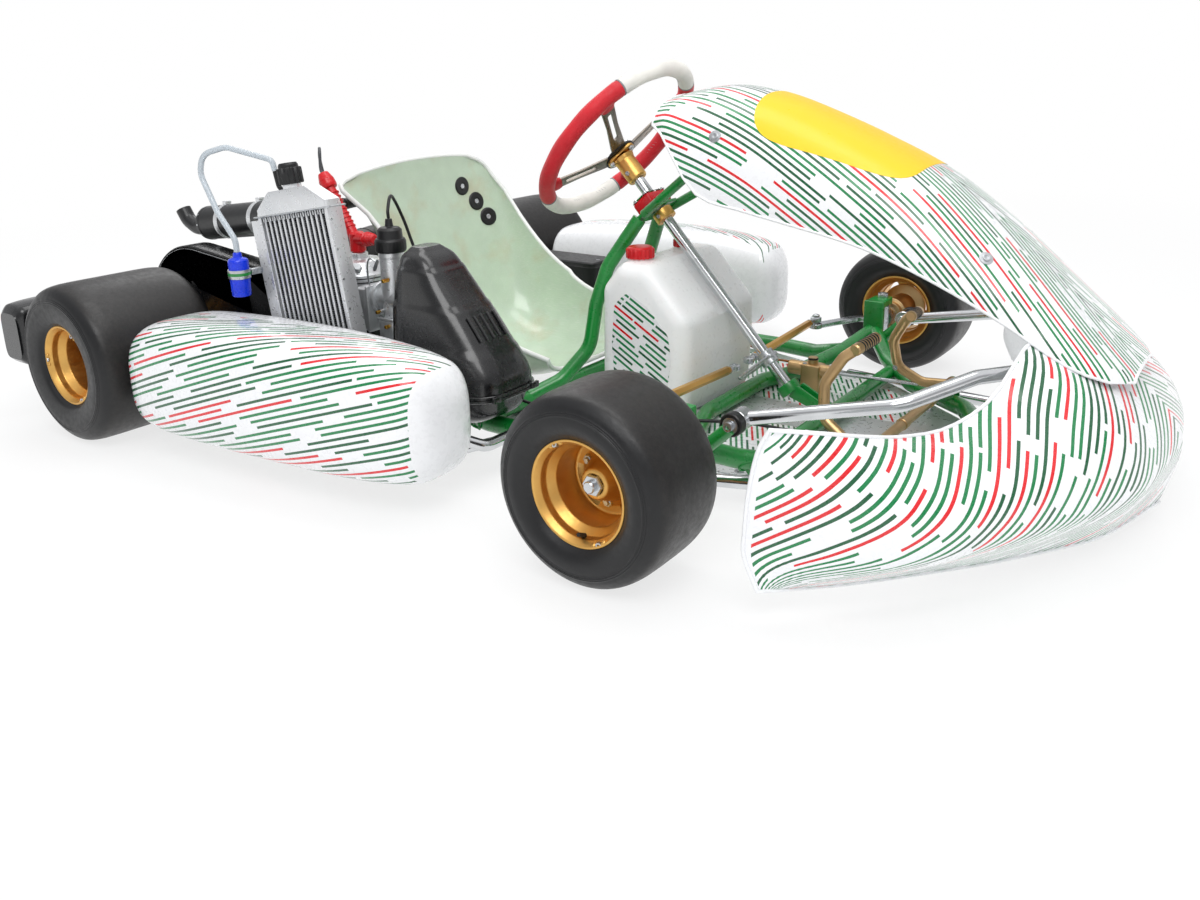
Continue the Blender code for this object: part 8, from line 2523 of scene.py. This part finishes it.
def seat_surface(lengthwise, crosswise):
    """Rows of points over the seat's outer skin."""
    keyed = [(float(i), *station) for i, station in enumerate(SEAT_STATIONS)]
    rows = []
    for i in range(lengthwise + 1):
        station = read_off(keyed, (len(SEAT_STATIONS) - 1) * i / lengthwise)
        row = [seat_point(station, -1 + 2 * j / crosswise) for j in range(crosswise + 1)]
        right, left = read_off(SHOULDERS, station[1])
        top = max(0.0, (i / lengthwise - 0.80) / 0.20)
        for point in row:
            point.y *= right if point.y < 0 else left
            point.z -= 0.017 * top * min(1.0, (point.y / 0.20) ** 2)
        rows.append(row)
    return rows


def inner_seat(share, v):
    """Point of the seat's inner skin and the way that it faces, share running up its middle."""
    keyed = [(float(i), *station) for i, station in enumerate(SEAT_STATIONS)]
    at = share * (len(SEAT_STATIONS) - 1)
    point = seat_point(read_off(keyed, at), v)
    ahead = seat_point(read_off(keyed, at + 0.02), v) - point
    beside = seat_point(read_off(keyed, at), v + 0.01) - point
    normal = beside.cross(ahead).normalized()
    return point + normal * SEAT_WALL, normal


def edge_of(rows):
    """Points round the edge of a surface given by rows."""
    edge = [row[0] for row in rows] + rows[-1][1:-1] + [row[-1] for row in reversed(rows)]
    return edge + list(reversed(rows[0][1:-1]))


def build_seat():
    """Laminated bucket with a white gel-coat bead round its rim and large washers."""
    rows = seat_surface(60, 56)
    rim = edge_of(rows)
    route = []
    for i, point in enumerate(rim):
        ahead = rim[(i + 2) % len(rim)] - rim[i - 2]
        if i % 2 == 0 and ahead.length > 1e-5:
            route.append(point + Vector((0, 0, 0.0010)))
    bucket = modified(sheet(rows), grown_wall(SEAT_WALL - 0.0006), rounded_rims(SEAT_EDGE))
    parts = [(bucket, laminate())]
    parts.append((tube(route, 0.0046, 14, closed=True), gel_coat()))
    zinc, black = plated_steel(), satin_plastic()
    spots = [(0.83, 0.375), (0.78, 0.500), (0.74, 0.600)]
    for share, v in spots:
        at, normal = inner_seat(share, v)
        disc = [(0.0, -0.0030), (0.0190, -0.0030), (0.0195, 0.0010), (0.0165, 0.0028), (0.0080, 0.0028)]
        disc += [(0.0062, 0.0006), (0.0, 0.0006)]
        parts.append((turned(disc, axis_matrix(at, normal), 40, 0.0004, 2), black))
        parts.append((screw(at + normal * 0.0006, normal, 0.0052, 0.0016), zinc))
    gather("seat_bucket", "chassis", parts, ("seat",))


def inset(outline, distance):
    """Closed outline moved inwards by the distance."""
    made = []
    area = sum(a[0] * b[1] - b[0] * a[1] for a, b in zip(outline, outline[1:] + outline[:1]))
    turn = 1.0 if area > 0 else -1.0
    for i, point in enumerate(outline):
        before, after = outline[i - 1], outline[(i + 1) % len(outline)]
        way = Vector((after[0] - before[0], after[1] - before[1])).normalized()
        made.append((point[0] - way.y * turn * distance, point[1] + way.x * turn * distance))
    return made


def build_tank():
    """Milky blow-moulded tank with a channel for the column, two necks, a vent cap and printed films."""
    low = FRAME_Z - TUBE_R
    corners = [(0.062, low), (0.226, low), (0.236, 0.062), (0.242, 0.150), (0.241, 0.216)]
    corners += [(0.163, 0.303), (0.104, 0.303), (0.066, 0.256)]
    outline = [(p.x, p.y) for p in rounded([(x, z, 0.0) for x, z in corners], 0.034, 9, closed=True)]
    rings = []
    for y, way in ((-0.125, -1), (0.125, 1)):
        angles = [math.radians(15 * k) for k in range(7)]
        angles = angles if way < 0 else angles[::-1]
        for a in angles:
            ring = inset(outline, 0.027 * (1 - math.sin(a)))
            rings.append([(x, y - way * 0.027 * (1 - math.cos(a)), z) for x, z in ring])
    channel = box((0.300, 0.048, 0.900), edge=0.010)
    spot = on_column(0.2) + column_front() * (0.150 - COLUMN_R - 0.008)
    body = cut(skin(rings), moved(channel, axis_matrix(spot, column_axis(), (0.0, 1.0, 0.0))))
    milky, red = tank_plastic(), red_plastic()
    parts = [(body, milky)]
    for (x, y), radius, top in ((FILLER, 0.0190, FILLER_TOP), (VENT, 0.0130, 0.316)):
        collar = [(0.0, 0.280), (radius + 0.004, 0.280), (radius + 0.003, 0.3035), (radius, 0.3050)]
        collar += [(radius, top), (0.0, top)]
        parts.append((turned(collar, shift(x, y, 0.0), 56, 0.0007, 2), milky))
    parts.append((moved(ribbed_cap(0.0136, 0.0148, 12, 0.306, 0.3195), shift(*VENT, 0.0)), red))
    parts.append((rod((*VENT, 0.318), (*VENT, 0.322), 0.0115, edge=0.0015), red))
    patch = [(0.098, 0.090), (0.160, 0.080), (0.204, 0.090), (0.212, 0.150), (0.206, 0.190), (0.166, 0.234)]
    patch += [(0.126, 0.256), (0.099, 0.230), (0.093, 0.160)]
    shape = [(p.x, p.y) for p in rounded([(x, z, 0.0) for x, z in patch], 0.018, 5, closed=True)]
    for y in (-0.1251, 0.1251):
        parts.append((plate(shape, 0.0006, side_plane(y), 0.0), patch_film()))
    gather("fuel_tank_moulding", "chassis", parts, ("fuel_tank",))


def build_fuel_cap():
    """Ribbed red cap on the fuel tank."""
    at = shift(*FILLER, FILLER_TOP + GAP)
    top = [(0.0, 0.010), (0.0225, 0.010), (0.0222, 0.0165), (0.0195, 0.0190), (0.0, 0.0182)]
    red = red_plastic()
    parts = [(moved(ribbed_cap(0.0228, 0.0245, 18, 0.0, 0.016), at), red),
             (turned(top, at, 56, 0.0008, 2), red)]
    gather("fuel_cap_ribbed", "filler_cap", parts, ("fuel_cap",))


def panel_sheet(x_steps, v_steps, lift):
    """Rows over part of the front panel's skin, lifted off it."""
    rows = []
    for x in x_steps:
        row = []
        for v in v_steps:
            point = panel_point(x, v)
            normal = (panel_point(x, v + 0.01) - point).cross(panel_point(x + 0.001, v) - point)
            normal = normal if normal.z > 0 else -normal
            row.append(point + normal.normalized() * lift)
        rows.append(row)
    return rows


def build_panel():
    """Printed front panel with a bare yellow field, a white bead round its edge and four fixings."""
    xs = [0.170 + (0.890 - 0.170) * (i / 90) for i in range(91)]
    vs = [-1 + 2 * j / 48 for j in range(49)]
    rows = [[panel_point(x, v) for v in vs] for x in xs]
    parts = [(printed_wall(rows), panel_skin())]
    field = []
    for i in range(61):
        t = -math.cos(math.pi * i / 60)
        spread = 0.60 * (1 - abs(t) ** 5) ** (1 / 5) * (1.0 - 0.12 * t)
        field.append(panel_sheet([0.460 + 0.127 * t], [spread * (-1 + j / 15) for j in range(31)],
                                 0.0004)[0])
    parts.append((sheet(field), yellow_film()))
    parts.append((tube(edge_of(rows)[::3], 0.0021, 10, closed=True), white_body()))
    zinc, white = plated_steel(), gel_coat()
    for x, v in ((0.287, 0.70), (0.287, -0.70), (0.700, 0.62), (0.700, -0.62)):
        at = panel_point(x, v)
        normal = (panel_point(x, v + 0.01) - at).cross(panel_point(x + 0.001, v) - at).normalized()
        normal = normal if normal.z > 0 else -normal
        disc = [(0.0, -0.0004), (0.0100, -0.0004), (0.0096, 0.0012), (0.0, 0.0012)]
        parts.append((turned(disc, axis_matrix(at, normal), 36, 0.0003, 2), zinc))
        parts.append((screw(at + normal * 0.0012, normal, 0.0056, 0.0024), zinc))
        if x < 0.5:
            under = at - normal * (SHELL_WALL + 0.0001)
            parts.append((rod(under + normal * 0.0005, under - normal * 0.00005, 0.0095), white))
    gather("front_panel_skin", "chassis", parts, ("front_panel",))


def nose_rows():
    """Rows over the nose from its left tip to its right tip, each from upper edge to lower lip."""
    sections = []
    for along_y, points in zip(NOSE_Y, zip(*NOSE_SECTIONS)):
        flat = [value for point in points for value in point]
        sections.append((along_y, *flat))
    half = []
    for i in range(45):
        y = 0.550 * (1 - (1 - i / 44) ** 1.35)
        values = read_off(sections, y)
        corners = [(values[k], y, values[k + 1]) for k in range(0, len(values), 2)]
        half.append(through(corners, 8))
    left = [row for row in reversed(half)]
    return left + [[Vector(mirrored(p, RIGHT)) for p in row] for row in half[1:]]


def build_nose():
    """Printed nose with a white bead round its edge and two clamps on the bumper's bar."""
    rows = nose_rows()
    parts = [(printed_wall(rows), nose_skin())]
    parts.append((tube(edge_of(rows)[::2], 0.0026, 10, closed=True), white_body()))
    black, zinc = satin_plastic(), plated_steel()
    bar = rod((0.802, -0.2, 0.234), (0.802, 0.2, 0.234), BUMPER_BAR_R + GAP, sides=48)
    for y in (-0.055, 0.055):
        block = cut(box((0.026, 0.030, 0.030), (0.802, y, 0.234), edge=0.002), bar)
        parts.append((block, black))
        parts.append((screw((0.802, y + math.copysign(0.0148, y), 0.2435), (0, y, 0), 0.0036, 0.0002),
                      zinc))
    gather("nose_cone_skin", "chassis", parts, ("nose_cone",))


def build_pods():
    """Hollow printed side pods with rounded ends and the recess in the inner wall."""
    for label, side in SIDES:
        stations = []
        for i in range(49):
            x = -0.520 + 0.660 * (0.5 - 0.5 * math.cos(math.pi * i / 48))
            stations.append([x, *read_off(POD_STATIONS, x)])
        first = list(stations[0])
        rings = []
        for shrink, station in ((0.010, first), (0.004, first)):
            rings.append((station[0] + 0.0012 * (0.010 - shrink) / 0.010, station, shrink))
        stations[0][0] += 0.0030
        rings += [(station[0], station, 0.0) for station in stations if station[0] < 0.058]
        for a in range(6, 85, 6):
            x = 0.058 + 0.044 * math.sin(math.radians(a))
            rings.append((x, [x, *read_off(POD_STATIONS, x)], 0.050 * (1 - math.cos(math.radians(a)))))
        made = []
        for x, (_, outer, low, high, inset_by), shrink in rings:
            y1, y2 = POD_INNER_Y + inset_by + shrink, outer - shrink
            ring = superellipse((y2 - y1) / 2, (high - low) / 2 - shrink, 3.2, 64)
            ring = ring[32:] + ring[:33]
            made.append([(x, ((y1 + y2) / 2 + dy) * side, (low + high) / 2 + dz) for dy, dz in ring])
        shell = modified(printed(made, closed=True),
                         ("SOLIDIFY", {"thickness": SHELL_WALL, "offset": -1.0}))
        outline = arc((-0.020, 0.150), 0.034, -90, 90, 16) + arc((-0.110, 0.150), 0.034, 90, 270, 16)
        recess = plate(outline, 0.030, side_plane(POD_INNER_Y * side), 0.0)
        parts = [(cut(shell, recess), pod_skin())]
        rim = [(x, POD_INNER_Y * side, z) for x, z in outline]
        bead = [Vector(p) + Vector((0, 0.0012 * side, 0)) for p in rim]
        parts.append((tube(bead, 0.0024, 10, closed=True), white_body()))
        gather(f"side_pod_skin_{label}", "chassis", parts, (f"side_pod_{label}",))


def gather_rod(name, pedal, start, end, radius, material):
    """Straight rod from the chassis to a pedal, in one piece that does not bend with the pedal."""
    path = [Vector(start).lerp(Vector(end), k / 24) for k in range(25)]
    body = ("chassis", pedal, path[4], path[21])
    gather(name, body, [(tube(path, radius, 12), material)])


def build_details():
    """Throttle cable, brake rod, brake line and the cross tube between the pedals."""
    zinc, bronze, black = plated_steel(), bronze_anodised(), hose_rubber()
    start = Vector((CARB_X, CARB_Y, 0.3845))
    route = [start, start + Vector((0, 0, 0.014)), (-0.2170, -0.322, 0.4180), (-0.2330, -0.298, 0.4080)]
    route += [(-0.2330, -0.279, 0.370), (-0.2130, -0.267, 0.300), (-0.150, -0.264, 0.220)]
    route += [(-0.095, -0.264, 0.150), (-0.052, -0.264, 0.096)]
    route += [(0.010, -0.262, 0.0800), (0.120, -0.266, 0.0760), (0.220, -0.250, 0.0780),
              (0.300, -0.208, 0.0860)]
    route += [(0.380, -0.176, 0.0880), (0.440, -0.166, 0.0860), (0.4700, -0.164, 0.0860)]
    path = through([tuple(p) for p in route], 8)
    gather("throttle_cable", "chassis", [(tube(path, 0.0027, 14), black)])
    end = path[-1]
    stop = [(box((0.010, 0.012, 0.0405), (end.x + 0.0052, end.y, 0.0704), edge=0.001), zinc)]
    stop.append((rod(end + Vector((0.010, 0, 0)), end + Vector((0.020, 0, 0)), 0.0030, sides=6), zinc))
    gather("cable_stop", "chassis", stop)
    ears = PEDAL_Y - EAR_OFFSET - 0.0021
    tie = [(rod((PEDAL_X, -ears, PEDAL_Z), (PEDAL_X, ears, PEDAL_Z), 0.0080, edge=0.0006), bronze)]
    for y in (-0.06, 0.06):
        tie.append((rod((PEDAL_X, y - 0.008, PEDAL_Z), (PEDAL_X, y + 0.008, PEDAL_Z), 0.0094), bronze))
    gather("pedal_cross_tube", "chassis", tie)
    rear = Vector((PUMP_X - 0.034, PUMP_Y, 0.094))
    line = [rear, rear + Vector((-0.020, 0.004, 0)), (0.250, 0.170, 0.0850), (0.180, 0.235, 0.0790)]
    line += [(0.080, 0.283, 0.0790), (-0.060, 0.285, 0.0795), (-0.300, 0.272, 0.0795),
             (-0.480, 0.262, 0.0800)]
    line += [(-0.600, 0.262, 0.1200), (-0.640, 0.262, 0.1900), (-0.690, 0.255, 0.2350),
             (-0.735, 0.240, 0.2450)]
    line.append((-0.750, 0.228, 0.2350))
    gather("brake_line_run", "chassis",
           [(tube(through(line, 8), 0.0022, 12), brake_line())])
    pull = (PUMP_X + 0.040, PUMP_Y, 0.0870), (PEDAL_X - 0.052, PEDAL_Y - 0.005, 0.0850)
    gather_rod("brake_pull_rod", "brake", *pull, 0.0030, zinc)
    wire = (0.4900, -0.1640, 0.0860), (PEDAL_X - 0.048, -PEDAL_Y, 0.0880)
    gather_rod("throttle_wire", "throttle", *wire, 0.0012, zinc)


# Studio


def floor_material():
    """Pale paper that reads white in the picture and still takes the kart's shadow."""
    material = bpy.data.materials.new("Matt studio paper")
    material.use_nodes = True
    tree = material.node_tree
    tree.nodes.clear()
    place = add(tree, "TexCoord").outputs["Object"]
    pulp = add(tree, "TexNoise", {"Vector": place, "Scale": per_metre(900.0), "Detail": 3.0}).outputs["Fac"]
    tones = {0: pulp, COLOUR_A: colour("#F4F5F6"), COLOUR_B: colour("#F9FAFA")}
    shade = add(tree, "Mix", tones, data_type="RGBA").outputs[MIXED_COLOUR]
    paper = add(tree, "BsdfDiffuse", {"Color": shade}).outputs[0]
    glow = add(tree, "Emission", {"Color": (1.0, 1.0, 1.0, 1.0), "Strength": 1.0}).outputs[0]
    paths = add(tree, "LightPath").outputs
    seen = add(tree, "Math", {0: paths["Is Camera Ray"], 1: paths["Is Glossy Ray"]}, operation="MAXIMUM")
    seen = add(tree, "Math", {0: seen.outputs[0], 1: paths["Is Transmission Ray"]}, operation="MAXIMUM")
    reach = add(tree, "VectorMath", {0: place}, operation="LENGTH").outputs["Value"]
    far = add(tree, "MapRange", {0: reach, 1: 1.0, 2: 3.6, 3: 0.76, 4: 1.0}).outputs[0]
    share = add(tree, "Math", {0: seen.outputs[0], 1: far}, operation="MULTIPLY").outputs[0]
    mixed = add(tree, "MixShader", {0: share, 1: paper, 2: glow}).outputs[0]
    out = add(tree, "OutputMaterial")
    tree.links.new(mixed, out.inputs["Surface"])
    return material


def build_floor():
    """Studio floor, a hair below the tyres."""
    reach = size("floor_reach")
    rows = []
    for i in range(9):
        rows.append([(-reach + reach * i / 4, -reach + reach * j / 4, -0.0004) for j in range(9)])
    mesh = sheet(rows)
    mesh.materials.append(floor_material())
    floor = bpy.data.objects.new("studio_floor", mesh)
    bpy.context.scene.collection.objects.link(floor)


def build_world():
    """White studio: plain white at the horizon, with a greyer belt above it for the metals."""
    world = bpy.data.worlds.new("Studio")
    world.use_nodes = True
    tree = world.node_tree
    tree.nodes.clear()
    way = add(tree, "TexCoord").outputs["Generated"]
    height = add(tree, "SeparateXYZ", {0: way}).outputs[2]
    ramp = add(tree, "ValToRGB", {0: height})
    stops = ramp.color_ramp.elements
    stops[0].position, stops[0].color = 0.10, (1.0, 1.0, 1.0, 1.0)
    stops[1].position, stops[1].color = 1.0, (1.0, 1.0, 1.0, 1.0)
    for position, level in ((0.24, 0.52), (0.50, 0.46), (0.72, 0.95)):
        stop = stops.new(position)
        stop.color = (level, level, level * 1.02, 1.0)
    room = add(tree, "Background", {"Color": ramp.outputs[0], "Strength": 0.95}).outputs[0]
    white = add(tree, "Background", {"Color": (1.0, 1.0, 1.0, 1.0), "Strength": 1.0}).outputs[0]
    seen = add(tree, "LightPath").outputs["Is Camera Ray"]
    mixed = add(tree, "MixShader", {0: seen, 1: room, 2: white}).outputs[0]
    out = add(tree, "OutputWorld")
    tree.links.new(mixed, out.inputs["Surface"])
    bpy.context.scene.world = world


def build_lights():
    """Soft key over the right front corner, a fill from behind and one long light overhead."""
    for name, at, width, height, power in (
        ("key", (1.4, -2.0, 2.9), 2.2, 1.6, 46.0),
        ("fill", (-2.4, 1.6, 2.2), 2.0, 1.4, 16.0),
        ("overhead", (0.0, 0.0, 2.7), 2.6, 0.9, 20.0),
    ):
        lamp = bpy.data.lights.new(name, "AREA")
        lamp.shape = "RECTANGLE"
        lamp.size, lamp.size_y, lamp.energy = width, height, power
        obj = bpy.data.objects.new(name, lamp)
        obj.location = at
        obj.rotation_euler = (Vector((0.0, 0.0, 0.25)) - Vector(at)).to_track_quat("-Z", "Y").to_euler()
        bpy.context.scene.collection.objects.link(obj)


def build_camera():
    """Camera at the right front corner, its picture moved down a little by the lens shift."""
    azimuth, rise, roll = math.radians(35.96), math.radians(16.12), math.radians(-1.21)
    back = Vector((math.sin(azimuth) * math.cos(rise), -math.cos(azimuth) * math.cos(rise), math.sin(rise)))
    level = (-back).cross(Vector((0.0, 0.0, 1.0))).normalized()
    square = level.cross(-back)
    right = level * math.cos(roll) + square * math.sin(roll)
    up = square * math.cos(roll) - level * math.sin(roll)
    lens = bpy.data.cameras.new("camera")
    lens.sensor_width, lens.lens, lens.shift_y = 36.0, 30.612, -0.0833
    lens.clip_start, lens.clip_end = 0.05, 100.0
    camera = bpy.data.objects.new("camera", lens)
    camera.matrix_world = shift(1.06816, -1.50474,
                                0.63784) @ Matrix((right, up, back)).transposed().to_4x4()
    bpy.context.scene.collection.objects.link(camera)
    bpy.context.scene.camera = camera
    bpy.context.scene.view_settings.view_transform = "Standard"


# Operators and panel


class KART_OT_frame(bpy.types.Operator):
    """Builds the welded frame and the floor tray under it."""

    bl_idname = "kart.frame"
    bl_label = "Frame and tray"

    def execute(self, context):
        build_frame()
        build_tray()
        return {"FINISHED"}


class KART_OT_bumpers(bpy.types.Operator):
    """Builds the front and rear bumpers and the side bars."""

    bl_idname = "kart.bumpers"
    bl_label = "Bumpers and side bars"

    def execute(self, context):
        build_rear_bumper()
        build_front_bumper()
        build_side_bars()
        return {"FINISHED"}


class KART_OT_wheels(bpy.types.Operator):
    """Builds the hubs, gold rims and slick tyres."""

    bl_idname = "kart.wheels"
    bl_label = "Wheels"

    def execute(self, context):
        build_front_wheels()
        build_rear_wheels()
        return {"FINISHED"}


class KART_OT_steering(bpy.types.Operator):
    """Builds the spindles, tie rods, column and its bush, boss and steering wheel."""

    bl_idname = "kart.steering"
    bl_label = "Steering"

    def execute(self, context):
        build_spindles()
        build_tie_rods()
        build_column()
        build_boss()
        build_steering_wheel()
        build_column_bush()
        return {"FINISHED"}


class KART_OT_rear_axle(bpy.types.Operator):
    """Builds the rear axle with its bearing carriers."""

    bl_idname = "kart.rear_axle"
    bl_label = "Rear axle"

    def execute(self, context):
        build_rear_axle()
        build_carriers()
        return {"FINISHED"}


class KART_OT_brake(bpy.types.Operator):
    """Builds the brake disc, caliper and pump."""

    bl_idname = "kart.brake"
    bl_label = "Brake"

    def execute(self, context):
        build_brake()
        return {"FINISHED"}


class KART_OT_drive(bpy.types.Operator):
    """Builds the sprockets, the chain and its guard."""

    bl_idname = "kart.drive"
    bl_label = "Chain drive"

    def execute(self, context):
        build_drive()
        build_guard()
        return {"FINISHED"}


class KART_OT_pedals(bpy.types.Operator):
    """Builds the throttle and brake pedals."""

    bl_idname = "kart.pedals"
    bl_label = "Pedals"

    def execute(self, context):
        build_pedals()
        return {"FINISHED"}


class KART_OT_engine(bpy.types.Operator):
    """Builds the engine on its plate, with the plug cap and the carburettor."""

    bl_idname = "kart.engine"
    bl_label = "Engine"

    def execute(self, context):
        build_engine_mount()
        build_crankcase()
        build_cylinder()
        build_spark_cap()
        build_carburettor()
        return {"FINISHED"}


class KART_OT_airbox(bpy.types.Operator):
    """Builds the intake silencer and its lower tray."""

    bl_idname = "kart.airbox"
    bl_label = "Airbox"

    def execute(self, context):
        build_airbox()
        return {"FINISHED"}


class KART_OT_radiator(bpy.types.Operator):
    """Builds the radiator, its cap, the two hoses and the catch bottle."""

    bl_idname = "kart.radiator"
    bl_label = "Radiator"

    def execute(self, context):
        build_radiator()
        build_radiator_cap()
        build_overflow()
        build_coolant_hose()
        return {"FINISHED"}


class KART_OT_exhaust(bpy.types.Operator):
    """Builds the expansion chamber and the silencer."""

    bl_idname = "kart.exhaust"
    bl_label = "Exhaust"

    def execute(self, context):
        build_exhaust()
        return {"FINISHED"}


class KART_OT_battery(bpy.types.Operator):
    """Builds the battery box."""

    bl_idname = "kart.battery"
    bl_label = "Battery box"

    def execute(self, context):
        build_battery_box()
        return {"FINISHED"}


class KART_OT_seat(bpy.types.Operator):
    """Builds the laminated seat."""

    bl_idname = "kart.seat"
    bl_label = "Seat"

    def execute(self, context):
        build_seat()
        return {"FINISHED"}


class KART_OT_tank(bpy.types.Operator):
    """Builds the fuel tank and its cap."""

    bl_idname = "kart.tank"
    bl_label = "Fuel tank"

    def execute(self, context):
        build_tank()
        build_fuel_cap()
        return {"FINISHED"}


class KART_OT_bodywork(bpy.types.Operator):
    """Builds the front panel, the nose and the side pods."""

    bl_idname = "kart.bodywork"
    bl_label = "Bodywork"

    def execute(self, context):
        build_panel()
        build_nose()
        build_pods()
        return {"FINISHED"}


class KART_OT_cables(bpy.types.Operator):
    """Builds the throttle cable, the brake line and the tube between the pedals."""

    bl_idname = "kart.cables"
    bl_label = "Cables and lines"

    def execute(self, context):
        build_details()
        return {"FINISHED"}


class KART_OT_studio(bpy.types.Operator):
    """Builds the floor, the room, the lamps and the camera."""

    bl_idname = "kart.studio"
    bl_label = "Studio"

    def execute(self, context):
        build_floor()
        build_world()
        build_lights()
        build_camera()
        return {"FINISHED"}


OPERATORS = (
    KART_OT_frame, KART_OT_bumpers, KART_OT_wheels, KART_OT_steering, KART_OT_rear_axle, KART_OT_brake,
    KART_OT_drive, KART_OT_pedals, KART_OT_engine, KART_OT_airbox, KART_OT_radiator, KART_OT_exhaust,
    KART_OT_battery, KART_OT_seat, KART_OT_tank, KART_OT_bodywork, KART_OT_cables, KART_OT_studio,
)


class KART_PT_build(bpy.types.Panel):
    """Lists the kart's colours, sizes and building steps."""

    bl_idname = "KART_PT_build"
    bl_label = "Racing go-kart"
    bl_space_type = "VIEW_3D"
    bl_region_type = "UI"
    bl_category = "Kart"

    def draw(self, context):
        scene = context.scene
        for settings in (scene.kart_colours, scene.kart_sizes):
            column = self.layout.column(align=True)
            for name in settings.__annotations__:
                column.prop(settings, name)
        column = self.layout.column(align=True)
        for operator in OPERATORS:
            column.operator(operator.bl_idname)


CLASSES = (KartColours, KartSizes, *OPERATORS, KART_PT_build)


def register():
    for each in CLASSES:
        bpy.utils.register_class(each)
    bpy.types.Scene.kart_colours = bpy.props.PointerProperty(type=KartColours)
    bpy.types.Scene.kart_sizes = bpy.props.PointerProperty(type=KartSizes)


def unregister():
    del bpy.types.Scene.kart_sizes
    del bpy.types.Scene.kart_colours
    for each in reversed(CLASSES):
        bpy.utils.unregister_class(each)


def main():
    """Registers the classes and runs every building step."""
    register()
    bpy.ops.kart.frame()
    bpy.ops.kart.bumpers()
    bpy.ops.kart.wheels()
    bpy.ops.kart.steering()
    bpy.ops.kart.rear_axle()
    bpy.ops.kart.brake()
    bpy.ops.kart.drive()
    bpy.ops.kart.pedals()
    bpy.ops.kart.engine()
    bpy.ops.kart.airbox()
    bpy.ops.kart.radiator()
    bpy.ops.kart.exhaust()
    bpy.ops.kart.battery()
    bpy.ops.kart.seat()
    bpy.ops.kart.tank()
    bpy.ops.kart.bodywork()
    bpy.ops.kart.cables()
    bpy.ops.kart.studio()
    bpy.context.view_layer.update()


if __name__ == "__main__":
    main()
